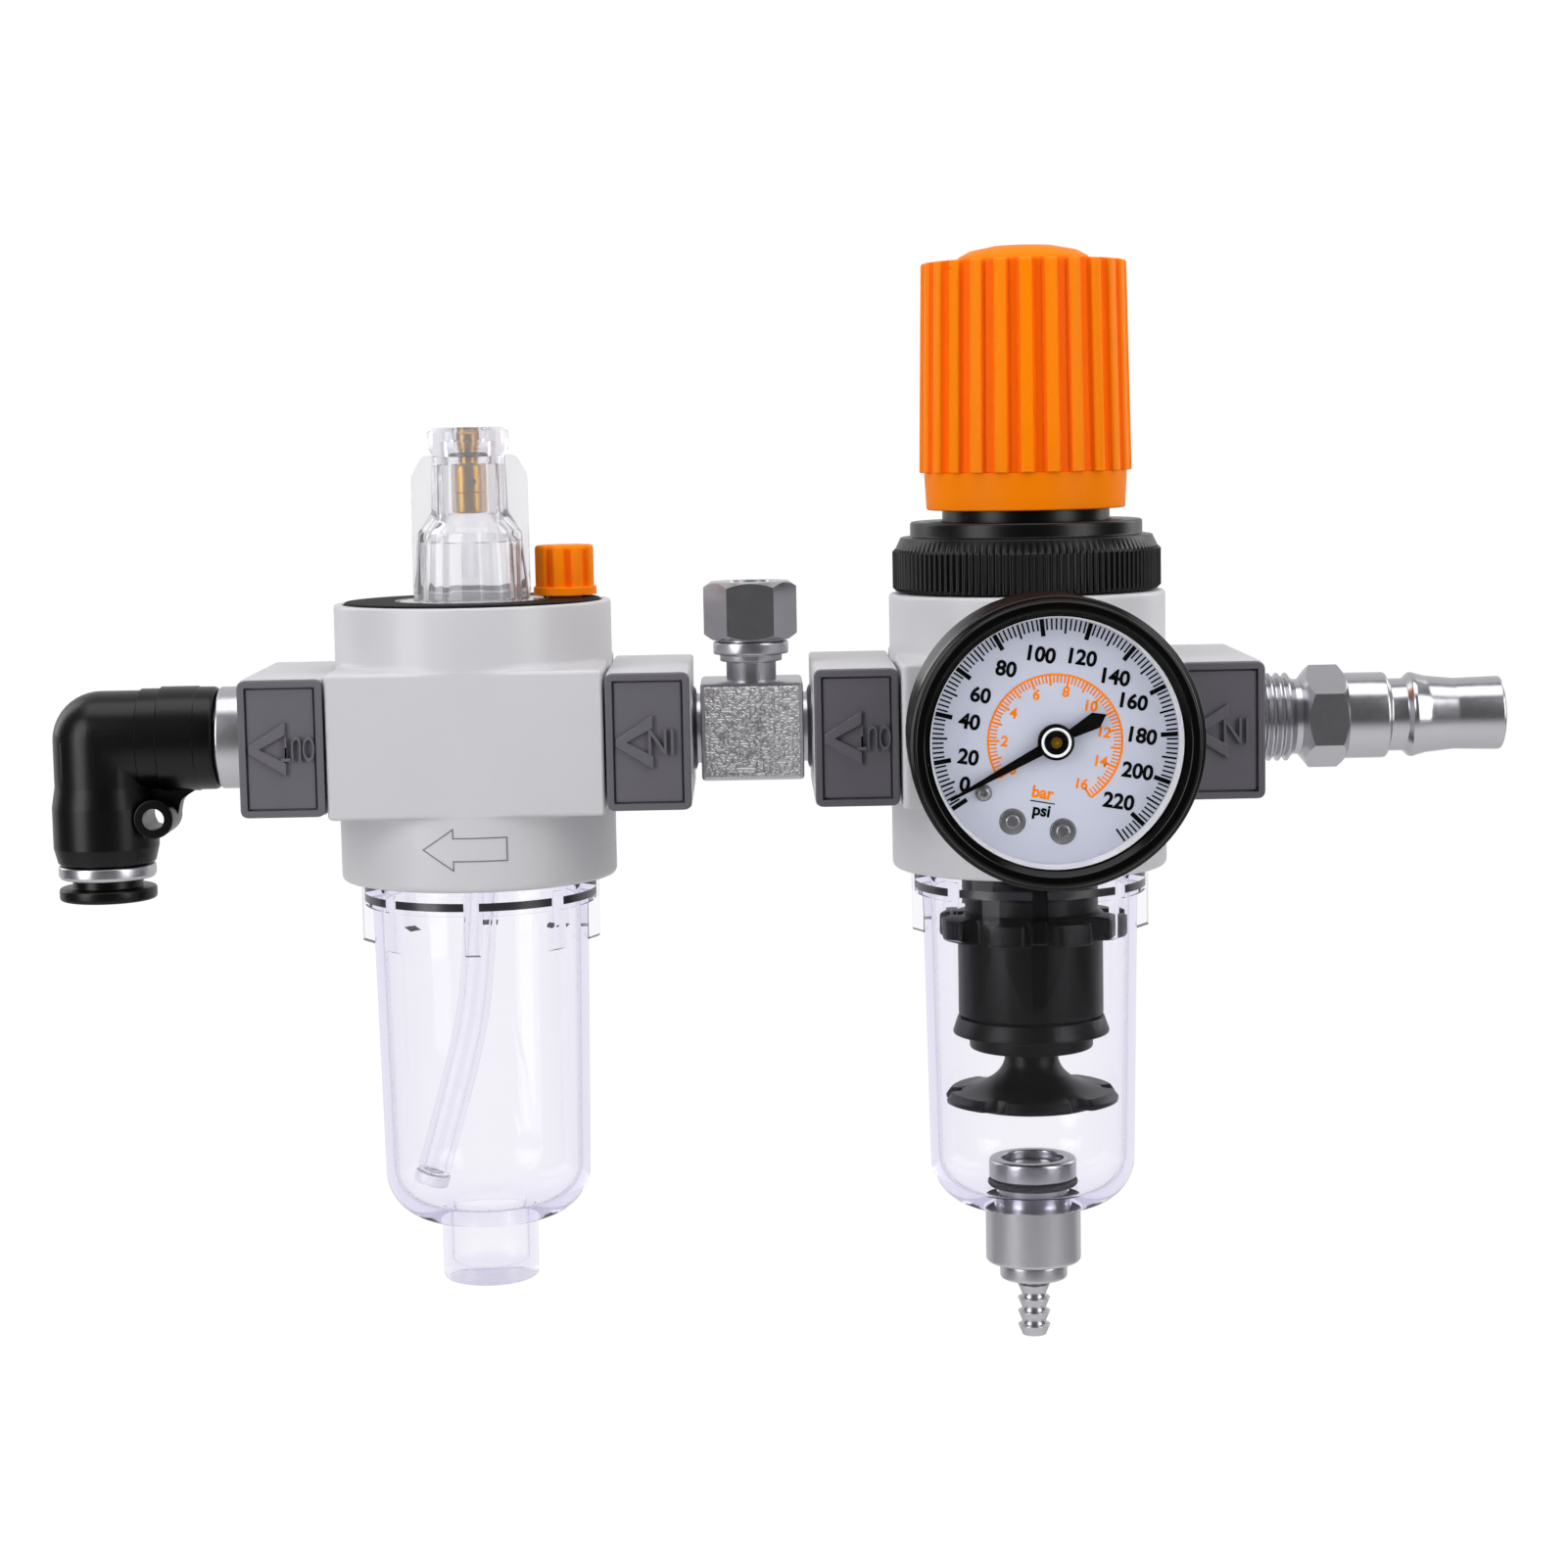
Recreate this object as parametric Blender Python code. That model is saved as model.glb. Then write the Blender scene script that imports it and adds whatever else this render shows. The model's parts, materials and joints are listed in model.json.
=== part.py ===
"""Mini filter regulator and lubricator, modelled as an assembly of separate pieces.

Metres, +Z up. The origin is where the flow axis (X) meets the regulator's upright axis.
Air enters at +X and leaves at -X, and the front with the gauge faces -Y.
"""

import math

import bmesh
import bpy
import numpy as np
from mathutils import Matrix, Vector

for old in list(bpy.data.objects):
    bpy.data.objects.remove(old, do_unlink=True)

# Clearances: between fixed neighbours, around sliding or turning pieces, and overlap of joined shapes
SEAM = 0.0003
RUN = 0.0003
OVERLAP = 0.0004

# Sides of turned pieces
SIDES_LARGE = 32
SIDES_MEDIUM = 16
SIDES_SMALL = 12
SIDES_TINY = 8
O_RING_SIDES = 6

# Bodies of the two units
UNIT_PITCH = 0.0824
BODY_RADIUS = 0.0205
BODY_TOP = 0.0196
BODY_BOTTOM = -0.0214
BLOCK_HALF_WIDTH = 0.0199
BLOCK_HALF_DEPTH = 0.0206
BLOCK_HALF_HEIGHT = 0.0105
FLOW_BORE_RADIUS = 0.0052
FLOW_BORE_DEPTH = 0.0115
PASSAGE_RADIUS = 0.0028
PASSAGE_OFFSET = 0.0115
GAUGE_PASSAGE_RADIUS = 0.0014

# Port plates and covers
PLATE_THICKNESS = 0.0121
PLATE_HALF_HEIGHT = 0.00985
PLATE_BACK = 0.0184
COVER_FRONT = -0.0206
COVER_THICKNESS = 0.0019
COVER_RIM = 0.0009
COVER_PANEL_DEPTH = 0.0004
PORT_THREAD_RADIUS = 0.00658
PORT_THREAD_DEPTH = 0.0090

# Regulator top: spigot, diaphragm, bonnet, ring nut
SPIGOT_RADIUS = 0.0173
SPIGOT_HEIGHT = 0.0034
CHAMBER_RADIUS = 0.0146
CHAMBER_FLOOR = 0.0130
DIAPHRAGM_THICKNESS = 0.0008
DIAPHRAGM_HOLE = 0.0022
BONNET_FLANGE_THICKNESS = 0.0026
BONNET_RADIUS = 0.0124
BONNET_WALL = 0.0020
BONNET_HEIGHT = 0.0335
BONNET_ROOF = 0.0030
RING_NUT_RADIUS = 0.0199
RING_NUT_KNURL_HEIGHT = 0.0063
RING_NUT_CHAMFER_RADIUS = 0.01865
RING_NUT_CHAMFER_HEIGHT = 0.0016
RING_NUT_STEP_RADIUS = 0.0172
RING_NUT_STEP_HEIGHT = 0.0023

# Knob and spindle
KNOB_NECK_GAP = 0.0017
KNOB_SKIRT_RADIUS = 0.0150
KNOB_SKIRT_FOOT_RADIUS = 0.0147
KNOB_SKIRT_HEIGHT = 0.0055
KNOB_RIB_FOOT_RADIUS = 0.0157
KNOB_RIB_TOP_RADIUS = 0.0151
KNOB_RIB_DEPTH = 0.0009
KNOB_RIB_COUNT = 25
KNOB_RIB_SHARE = 0.52
KNOB_RIB_HEIGHT = 0.0306
KNOB_DOME_RADIUS = 0.0099
KNOB_DOME_HEIGHT = 0.0026
KNOB_DOME_SHOULDER_RADIUS = 0.0071
KNOB_DOME_SHOULDER_HEIGHT = 0.0019
SPINDLE_RADIUS = 0.0030
SPINDLE_COLLAR_RADIUS = 0.0062
SPINDLE_COLLAR_HEIGHT = 0.0022
SPINDLE_HEAD_ACROSS = 0.0056
SPINDLE_HEAD_LENGTH = 0.0070
SPINDLE_THREAD_LENGTH = 0.0190
LOCK_TRAVEL = 0.0014

# Adjusting spring, its seat nut, diaphragm plate
SEAT_NUT_THICKNESS = 0.0030
SEAT_NUT_DROP = 0.0014
DIAPHRAGM_PLATE_RADIUS = 0.0088
DIAPHRAGM_PLATE_THICKNESS = 0.0014
DIAPHRAGM_BOSS_LENGTH = 0.0010
ADJUSTING_WIRE_RADIUS = 0.0008
ADJUSTING_COIL_RADIUS = 0.0068
ADJUSTING_TURNS = 4.5
COIL_POINTS = 8
LEAST_COIL_GAP = 0.0004

# Valve and its spring
VALVE_BORE_RADIUS = 0.0065
VALVE_SEAT_LEVEL = 0.0040
VALVE_SEAT_THICKNESS = 0.0030
VALVE_SEAT_RADIUS = 0.0032
VALVE_HEAD_RADIUS = 0.0046
VALVE_HEAD_HEIGHT = 0.0025
VALVE_STEM_RADIUS = 0.0014
VALVE_GUIDE_RADIUS = 0.0022
VALVE_GUIDE_LENGTH = 0.0105
VALVE_WIRE_RADIUS = 0.0004
VALVE_COIL_RADIUS = 0.0034
VALVE_TURNS = 4.5

# Bowls, shared by both units
SOCKET_RADIUS = 0.0163
SOCKET_ROOF = -0.0118
BOWL_SPIGOT_LENGTH = 0.0078
BOWL_WALL = 0.0018
BOWL_COLLAR_RADIUS = 0.0173
BOWL_COLLAR_HEIGHT = 0.0036
BOWL_TOP_RADIUS = 0.0161
BOWL_LOW_RADIUS = 0.0154
BOWL_LENGTH = 0.0516
BOWL_ROUND = 0.0085
BOWL_ROUND_STEPS = 4
BOWL_FLOOR = 0.0024
BOWL_NECK_RADIUS = 0.0072
BOWL_NECK_BORE = 0.0056
BOWL_RIB_COUNT = 8
BOWL_RIB_WIDTH = 0.0022
BOWL_RIB_DROP = 0.0062
BOWL_RIB_SPAN = 0.0018
BOWL_RING_RADIUS = 0.0008
FILTER_NECK_LENGTH = 0.0088
OIL_NECK_LENGTH = 0.0095
OIL_NECK_FLOOR = 0.0026

# Filter holder, element, baffle
HOLDER_RADIUS = 0.0102
HOLDER_LOW_RADIUS = 0.0109
HOLDER_SPIGOT_LENGTH = 0.0036
HOLDER_FLANGE_RADIUS = 0.0137
HOLDER_FLANGE_LEVEL = -0.0286
HOLDER_FLANGE_THICKNESS = 0.0036
HOLDER_FOOT = -0.0440
HOLDER_WALL = 0.0020
HOLDER_ROOF_LEVEL = -0.0180
HOLDER_BOSS_RADIUS = 0.0039
HOLDER_BOSS_LENGTH = 0.0080
HOLDER_VANE_COUNT = 8
HOLDER_NOTCH_WIDTH = 0.0040
HOLDER_AIR_HOLE_RADIUS = 0.0009
HOLDER_AIR_HOLE_OFFSET = 0.0049
HOLDER_AIR_HOLE_COUNT = 4
HOLDER_GUIDE_DEPTH = 0.0045
ELEMENT_WALL = 0.0028
BAFFLE_STUD_RADIUS = 0.0025
BAFFLE_STUD_LENGTH = 0.0230
BAFFLE_FLARE_RADIUS = 0.0119
BAFFLE_FLARE_THICKNESS = 0.0026
BAFFLE_FLARE_SLOPE = 0.0009
BAFFLE_STEP_RADIUS = 0.0095
BAFFLE_STEP_HEIGHT = 0.0029
BAFFLE_STEM_RADIUS = 0.0041
BAFFLE_STEM_LENGTH = 0.0058
BAFFLE_DISC_RADIUS = 0.0131
BAFFLE_DISC_THICKNESS = 0.0024
BAFFLE_DISC_EDGE = 0.0012
BAFFLE_FILLET = 0.0029
BAFFLE_FILLET_POINTS = 4
BAFFLE_LOBE_COUNT = 4
BAFFLE_LOBE_DEPTH = 0.0020
BAFFLE_LOBE_TURN = math.radians(45.0)
BAFFLE_NOTCH_RADIUS = 0.0040

# Drain
DRAIN_FLANGE_RADIUS = 0.0066
DRAIN_FLANGE_HEIGHT = 0.0030
DRAIN_RING_RADIUS = 0.0007
DRAIN_SLEEVE_LENGTH = 0.0098
DRAIN_STEM_RADIUS = 0.0024
DRAIN_HEAD_RADIUS = 0.0042
DRAIN_HEAD_HEIGHT = 0.0016
DRAIN_SHOULDER_RADIUS = 0.0051
DRAIN_SHOULDER_HEIGHT = 0.0024
DRAIN_TRAVEL = 0.0025
DRAIN_STOP_GAP = 0.0009
DRAIN_BORE_RADIUS = 0.0011
BARB_RADIUS = 0.00245
BARB_ROOT_RADIUS = 0.0019
BARB_COUNT = 4
BARB_PITCH = 0.0021
BARB_LENGTH = 0.0017
BARB_LEAD = 0.0005

# Pressure gauge
GAUGE_HEIGHT = 0.0012
GAUGE_FRONT = 0.0488
GAUGE_BEZEL_RADIUS = 0.0201
GAUGE_BEZEL_DEPTH = 0.0046
GAUGE_BEZEL_WALL = 0.0016
GAUGE_LENS_HOLD = 0.0009
GAUGE_LENS_RECESS = 0.0012
GAUGE_CASE_STEP = 0.0004
GAUGE_CASE_SPIGOT_WALL = 0.0007
GAUGE_CASE_SPIGOT_HEIGHT = 0.0020
GAUGE_CASE_WALL = 0.0015
GAUGE_CASE_BACK = 0.0268
GAUGE_CASE_EDGE = 0.0020
GAUGE_DIAL_DEPTH = 0.0056
GAUGE_DIAL_THICKNESS = 0.0006
GAUGE_STEM_THREAD_RADIUS = 0.0045
GAUGE_STEM_HEX_ACROSS = 0.0120
GAUGE_PORT_DEPTH = 0.0100
GAUGE_NECK_RADIUS = 0.0040
GAUGE_PLATE_HALF_WIDTH = 0.0050
GAUGE_PLATE_THICKNESS = 0.0026
GAUGE_PLATE_RISE = 0.0105
GAUGE_POST_LEFT = -0.0085
GAUGE_POST_RIGHT = 0.0068
GAUGE_POST_INSET = 0.0033
GAUGE_POST_HEIGHT = 0.0050
GAUGE_ARBOR_RADIUS = 0.0008
GAUGE_HUB_RADIUS = 0.0024
GAUGE_HUB_HEIGHT = 0.0012
GAUGE_ZERO_ANGLE = math.radians(208.0)
NEEDLE_THICKNESS = 0.0005
NEEDLE_LIFT = 0.0010
NEEDLE_TIP_GAP = 0.0007
NEEDLE_ROOT_WIDTH = 0.0013
NEEDLE_TIP_WIDTH = 0.0004
NEEDLE_TAIL_LENGTH = 0.0078
NEEDLE_TAIL_WIDTH = 0.0017
NEEDLE_TAIL_NECK_WIDTH = 0.0011
NEEDLE_TAIL_NECK_REACH = 0.0023
NEEDLE_TAIL_SHOULDER_REACH = 0.0062
STOP_PIN_RADIUS = 0.0005
STOP_PIN_REACH = 0.0120
STOP_PIN_HEIGHT = 0.0020
DIAL_SCREW_RADIUS = 0.0013
DIAL_SCREW_HEIGHT = 0.0005
DIAL_SCREW_INSET = 0.0051
DIAL_SCREW_ANGLES = (math.radians(241.4), math.radians(274.3))
DIAL_SCREW_SHANK_RADIUS = 0.0006
BOURDON_RADIUS = 0.0130
BOURDON_TUBE_RADIUS = 0.0013
BOURDON_POINTS = 14
BOURDON_LEVEL = 0.0370
BOURDON_START = math.radians(-52.0)
BOURDON_END = math.radians(200.0)
SECTOR_PIVOT_RISE = 0.0080
SECTOR_LEVEL = 0.0346
SECTOR_THICKNESS = 0.0008
SECTOR_SPREAD = math.radians(56.0)
SECTOR_LEAN = math.radians(22.0)
SECTOR_POINTS = 7
SECTOR_HUB_RADIUS = 0.0022
SECTOR_POST_RADIUS = 0.0007
PINION_RADIUS = 0.0011
PINION_LENGTH = 0.0016

# Tee
TEE_WIDTH = 0.0151
TEE_DEPTH = 0.0150
TEE_HEIGHT = 0.0144
TEE_EDGE = 0.0008
TEE_BORE_RADIUS = 0.0025
TEE_STEM_RADIUS = 0.0037
TEE_STEM_LENGTH = 0.0028
TEE_RELIEF_RADIUS = 0.0046
TEE_RELIEF_HEIGHT = 0.0010
TEE_COLLAR_RADIUS = 0.0056
TEE_COLLAR_HEIGHT = 0.0019
TEE_MALE_RADIUS = 0.0046
TEE_MALE_LENGTH = 0.0056
TEE_NUT_ACROSS = 0.0120
TEE_NUT_HEIGHT = 0.0086
TEE_NUT_CHAMFER = 0.0008
TEE_NUT_ROOF = 0.0018
TEE_NUT_HOLE_RADIUS = 0.0031
FERRULE_BORE_RADIUS = 0.0031

# Lubricator top
TOP_RIM_WIDTH = 0.0013
TOP_PLATE_THICKNESS = 0.0015
TOP_PLATE_HOLE = 0.0110
DOME_FLANGE_RADIUS = 0.0106
DOME_FLANGE_HEIGHT = 0.0012
DOME_SPIGOT_RADIUS = 0.0080
DOME_SPIGOT_LENGTH = 0.0050
DOME_BASE_RADIUS = 0.0088
DOME_BASE_TOP_RADIUS = 0.0080
DOME_BASE_HEIGHT = 0.0102
DOME_NECK_RISE = 0.0030
DOME_UPPER_RADIUS = 0.0057
DOME_APEX = 0.0453
DOME_EDGE = 0.0010
DOME_LOWER_BORE = 0.0060
DOME_UPPER_BORE = 0.0040
DOME_SEAL_BORE = 0.0031
DOME_TOP_BORE = 0.0022
DOME_WING_REACH = 0.0086
DOME_WING_THICKNESS = 0.0016
DOME_WING_TOP = 0.0412
DRIP_BARREL_RADIUS = 0.0026
DRIP_BARREL_FOOT = 0.0323
DRIP_BARREL_TOP = 0.0398
DRIP_NECK_RADIUS = 0.0015
DRIP_NECK_LENGTH = 0.0028
DRIP_RING_RISE = 0.0017
DRIP_HEAD_RADIUS = 0.0017
DRIP_HEAD_HEIGHT = 0.0018
DRIP_SLOT_WIDTH = 0.0007
DRIP_SLOT_DEPTH = 0.0010
DRIP_RING_RADIUS = 0.0006
DRIP_TUBE_RADIUS = 0.0007
DRIP_TUBE_LENGTH = 0.0120
DRIP_TUBE_SEAT_DEPTH = 0.0030
FILL_INSET = 0.0069
FILL_BACK = 0.0035
FILL_FLANGE_RADIUS = 0.0046
FILL_FLANGE_HEIGHT = 0.0010
FILL_HEAD_RADIUS = 0.0044
FILL_HEAD_HEIGHT = 0.0054
FILL_FLUTE_COUNT = 9
FILL_FLUTE_DEPTH = 0.0005
FILL_FLUTE_SHARE = 0.6
FILL_THREAD_RADIUS = 0.0028
FILL_THREAD_LENGTH = 0.0085
FILL_RING_RADIUS = 0.0005

# Oil tube: points of its centre line as shares of its reach along X and of its fall from the socket's roof
OIL_TUBE_RADIUS = 0.00245
OIL_TUBE_WALL = 0.0009
OIL_TUBE_STEPS = 2
OIL_TUBE_SOCKET_DEPTH = 0.0040
OIL_TUBE_ROUTE = (
    (0.0, 0.150),
    (0.012, 0.267),
    (0.157, 0.502),
    (0.349, 0.652),
    (0.651, 0.819),
    (1.0, 1.0),
)
OIL_TUBE_REACH = -0.0083
OIL_TUBE_END_RISE = 0.0045
STRAINER_RADIUS = 0.0027
STRAINER_LENGTH = 0.0018

# Elbow
STUD_RADIUS = 0.0076
STUD_LENGTH = 0.0062
STUD_TAIL_RADIUS = 0.0050
STUD_TAIL_LENGTH = 0.0070
ELBOW_RADIUS = 0.0078
ELBOW_LEG = 0.0161
ELBOW_CORE_RADIUS = 0.0073
ELBOW_CORNER_POINTS = 9
ELBOW_CUFF_LENGTH = 0.0085
ELBOW_CUFF_CONE = 0.0030
ELBOW_DROP = 0.0183
ELBOW_TAPER = 0.0018
ELBOW_SOCKET_RADIUS = 0.0061
ELBOW_SOCKET_DEPTH = 0.0090
ELBOW_TUBE_RADIUS = 0.0040
LUG_RADIUS = 0.0029
LUG_HOLE_RADIUS = 0.0017
LUG_THICKNESS = 0.0050
LUG_REACH = 0.0082
LUG_DROP = 0.0114
END_RING_RADIUS = 0.0072
END_RING_HEIGHT = 0.0020
COLLAR_RADIUS = 0.0072
COLLAR_LIP_HEIGHT = 0.0019
COLLAR_GAP = 0.0014
COLLAR_BORE_RADIUS = 0.0041
COLLAR_SLEEVE_RADIUS = 0.0052
COLLAR_SLEEVE_LENGTH = 0.0058

# Inlet plug, lengths along the flow axis from the port plate
PLUG_THREAD_SHOWN = 0.0072
PLUG_RELIEF_RADIUS = 0.0056
PLUG_RELIEF_LENGTH = 0.0009
PLUG_HEX_ACROSS = 0.0133
PLUG_HEX_LENGTH = 0.0073
PLUG_HEX_CHAMFER = 0.0010
PLUG_BODY_RADIUS = 0.0064
PLUG_BODY_LENGTH = 0.0056
PLUG_GROOVE_RADIUS = 0.0054
PLUG_GROOVE_LENGTH = 0.0027
PLUG_HEAD_RADIUS = 0.0064
PLUG_HEAD_RISE = 0.0010
PLUG_WAIST_RADIUS = 0.0053
PLUG_WAIST_REACH = 0.0066
PLUG_END_RADIUS = 0.0055
PLUG_END_REACH = 0.0070
PLUG_BORE_RADIUS = 0.0034

# Colours are linear red, green, blue; then roughness and metallic
FINISHES = {
    "cast_grey": ((0.66, 0.66, 0.69), 0.45, 0.0),
    "cover_grey": ((0.09, 0.09, 0.10), 0.55, 0.0),
    "orange_plastic": ((1.0, 0.25, 0.01), 0.4, 0.0),
    "black_plastic": ((0.012, 0.012, 0.014), 0.4, 0.0),
    "rubber": ((0.01, 0.01, 0.01), 0.7, 0.0),
    "clear_plastic": ((0.90, 0.90, 0.94), 0.08, 0.0),
    "glass": ((0.95, 0.95, 0.97), 0.03, 0.0),
    "nickel": ((0.60, 0.60, 0.62), 0.25, 1.0),
    "steel": ((0.45, 0.45, 0.46), 0.35, 1.0),
    "brass": ((0.60, 0.40, 0.10), 0.3, 1.0),
    "dial_paint": ((0.50, 0.53, 0.60), 0.6, 0.0),
    "sinter": ((0.75, 0.73, 0.68), 0.8, 0.0),
}

# Shared helpers
TURN_OF_AXIS = {
    "Z": (0.0, 0.0, 0.0),
    "X": (0.0, math.pi / 2, 0.0),
    "-X": (0.0, -math.pi / 2, 0.0),
    "-Y": (math.pi / 2, 0.0, 0.0),
}
SHARP_ANGLE = math.radians(32.0)
WELD = 1e-7
FLUTE_FLANK_SHARE = 0.06


def make_material(name):
    colour, roughness, metallic = FINISHES[name]
    material = bpy.data.materials.new(name)
    material.use_nodes = True
    shader = material.node_tree.nodes["Principled BSDF"]
    shader.inputs["Base Color"].default_value = (*colour, 1.0)
    shader.inputs["Roughness"].default_value = roughness
    shader.inputs["Metallic"].default_value = metallic
    return material


MATERIALS = {name: make_material(name) for name in FINISHES}


def make_empty(name, at):
    empty = bpy.data.objects.new(name, None)
    empty.location = at
    bpy.context.scene.collection.objects.link(empty)
    return empty


def add_object(name, data, finish, parent, at, axis):
    obj = bpy.data.objects.new(name, data)
    data.materials.append(MATERIALS[finish])
    bpy.context.scene.collection.objects.link(obj)
    obj.parent = parent
    obj.location = at
    obj.rotation_euler = TURN_OF_AXIS[axis]
    return obj


def mesh_object(name, bm, finish, parent=None, at=(0, 0, 0), axis="Z"):
    """Closes the bmesh into a named object whose faces look outwards."""
    bmesh.ops.recalc_face_normals(bm, faces=bm.faces)
    mesh = bpy.data.meshes.new(name)
    bm.to_mesh(mesh)
    bm.free()
    mesh.shade_smooth()
    mesh.set_sharp_from_angle(angle=SHARP_ANGLE)
    return add_object(name, mesh, finish, parent, at, axis)


def turned(name, outline, finish, sides=SIDES_MEDIUM, **place):
    """Spins a closed outline of (radius, height) points about its Z axis."""
    bm = bmesh.new()
    verts = [bm.verts.new((radius, 0, height)) for radius, height in outline]
    pairs = zip(verts, verts[1:] + verts[:1])
    edges = [bm.edges.new(pair) for pair in pairs if pair[0].co.x > WELD or pair[1].co.x > WELD]
    bmesh.ops.spin(
        bm, geom=verts + edges, axis=(0, 0, 1), cent=(0, 0, 0), angle=math.tau, steps=sides, use_merge=True
    )
    bmesh.ops.remove_doubles(bm, verts=bm.verts, dist=WELD)
    return mesh_object(name, bm, finish, **place)


def rod(name, radius, low, high, finish, **place):
    return turned(name, [(0, high), (radius, high), (radius, low), (0, low)], finish, **place)


def ring(name, outer, inner, low, high, finish, **place):
    return turned(name, [(outer, high), (outer, low), (inner, low), (inner, high)], finish, **place)


def o_ring(name, radius, section, level, sides=SIDES_MEDIUM, **place):
    outline = [
        (radius + section * math.cos(angle), level + section * math.sin(angle))
        for angle in np.linspace(0, math.tau, O_RING_SIDES, endpoint=False)
    ]
    return turned(name, outline, "rubber", sides, **place)


def prism(name, outline, low, high, finish, taper=1.0, **place):
    """Raises a flat outline along Z from low to high, its top scaled by taper."""
    bm = bmesh.new()
    foot = bm.faces.new([bm.verts.new((x, y, low)) for x, y in outline])
    raised = bmesh.ops.extrude_face_region(bm, geom=[foot])["geom"]
    top = [item for item in raised if isinstance(item, bmesh.types.BMVert)]
    for vert in top:
        vert.co = Vector((vert.co.x * taper, vert.co.y * taper, high))
    return mesh_object(name, bm, finish, **place)


def box(name, low, high, finish, **place):
    outline = [(low[0], low[1]), (high[0], low[1]), (high[0], high[1]), (low[0], high[1])]
    return prism(name, outline, low[2], high[2], finish, **place)


def polar(reach, angle):
    return reach * math.cos(angle), reach * math.sin(angle)


def regular_polygon(count, radius, start=0.0):
    return [polar(radius, start + math.tau * step / count) for step in range(count)]


def hexagon(across):
    return regular_polygon(6, across / math.sqrt(3))


def fluted_outline(count, radius, depth, share):
    """Round outline with flat-topped ribs, each taking this share of its step."""
    step = math.tau / count
    points = []
    flank = FLUTE_FLANK_SHARE
    corners = ((flank, 0), (share - flank, 0), (share + flank, depth), (1 - flank, depth))
    for index in range(count):
        for part, reach in corners:
            angle = (index + part - share / 2) * step
            points.append(polar(radius - reach, angle))
    return points


def combine(target, other, operation):
    modifier = target.modifiers.new(operation.lower(), "BOOLEAN")
    modifier.operation = operation
    modifier.object = other
    modifier.solver = "EXACT"
    other.hide_render = True
    other.display_type = "WIRE"


def cut(target, *cutters):
    for cutter in cutters:
        combine(target, cutter, "DIFFERENCE")


def join(target, *others):
    for other in others:
        combine(target, other, "UNION")


def chamfer(obj, width, angle=math.radians(40.0)):
    modifier = obj.modifiers.new("chamfer", "BEVEL")
    modifier.width = width
    modifier.segments = 1
    modifier.limit_method = "ANGLE"
    modifier.angle_limit = angle


def tube_object(name, points, radius, finish, parent=None, at=(0, 0, 0), resolution=1, closed=False):
    curve = bpy.data.curves.new(name, "CURVE")
    curve.dimensions = "3D"
    curve.bevel_depth = radius
    curve.bevel_resolution = resolution
    curve.use_fill_caps = not closed
    spline = curve.splines.new("POLY")
    spline.points.add(len(points) - 1)
    for point, place in zip(spline.points, points):
        point.co = (*place, 1.0)
    return add_object(name, curve, finish, parent, at, "Z")


def coil_points(coil_radius, low, high, turns):
    """Points of an evenly rising helix."""
    count = round(turns * COIL_POINTS) + 1
    places = []
    for step in range(count):
        share = step / (count - 1)
        angle = math.tau * turns * share
        height = low + (high - low) * share
        places.append((*polar(coil_radius, angle), height))
    return places


def coil_gap(points, wire_radius):
    """Least gap between one turn of a coil and the next."""
    track = np.array(points)
    apart = np.linalg.norm(track[:, None] - track[None], axis=2)
    index = np.arange(len(track))
    far = np.abs(index[:, None] - index[None]) > COIL_POINTS // 2
    return float(apart[far].min() - 2 * wire_radius)


def spring(name, coil_radius, wire_radius, low, high, turns, **place):
    points = coil_points(coil_radius, low + wire_radius, high - wire_radius, turns)
    gap = coil_gap(points, wire_radius)
    print(f"{name}: least gap between turns {gap * 1000:.2f} mm, wanted over {LEAST_COIL_GAP * 1000:.2f} mm")
    return tube_object(name, points, wire_radius, "steel", **place)


# Levels and places worked out from the sizes
LUBRICATOR_X = -UNIT_PITCH
PLATE_INNER = BLOCK_HALF_WIDTH + SEAM
PLATE_OUTER = PLATE_INNER + PLATE_THICKNESS
PORT_BORE_RADIUS = PORT_THREAD_RADIUS + SEAM
SPIGOT_TOP = BODY_TOP + SPIGOT_HEIGHT
DIAPHRAGM_FOOT = SPIGOT_TOP + SEAM
DIAPHRAGM_TOP = DIAPHRAGM_FOOT + DIAPHRAGM_THICKNESS
BONNET_FOOT = DIAPHRAGM_TOP + SEAM
BONNET_FLANGE_TOP = BONNET_FOOT + BONNET_FLANGE_THICKNESS
BONNET_TOP = BONNET_FOOT + BONNET_HEIGHT
BONNET_BORE = BONNET_RADIUS - BONNET_WALL
RING_NUT_FOOT = BODY_TOP + SEAM
RING_NUT_KNURL_TOP = RING_NUT_FOOT + RING_NUT_KNURL_HEIGHT
RING_NUT_CHAMFER_TOP = RING_NUT_KNURL_TOP + RING_NUT_CHAMFER_HEIGHT
RING_NUT_TOP = RING_NUT_CHAMFER_TOP + RING_NUT_STEP_HEIGHT
KNOB_FOOT = RING_NUT_TOP + KNOB_NECK_GAP
KNOB_SKIRT_TOP = KNOB_FOOT + KNOB_SKIRT_HEIGHT
KNOB_RIB_TOP = KNOB_SKIRT_TOP + KNOB_RIB_HEIGHT
SPINDLE_COLLAR_TOP = BONNET_TOP - BONNET_ROOF - RUN
SPINDLE_COLLAR_FOOT = SPINDLE_COLLAR_TOP - SPINDLE_COLLAR_HEIGHT
SPINDLE_HEAD_FOOT = BONNET_TOP + RUN
SPINDLE_HEAD_TOP = SPINDLE_HEAD_FOOT + SPINDLE_HEAD_LENGTH
SEAT_NUT_TOP = SPINDLE_COLLAR_FOOT - SEAT_NUT_DROP
SEAT_NUT_FOOT = SEAT_NUT_TOP - SEAT_NUT_THICKNESS
DIAPHRAGM_PLATE_FOOT = DIAPHRAGM_TOP + SEAM
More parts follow.
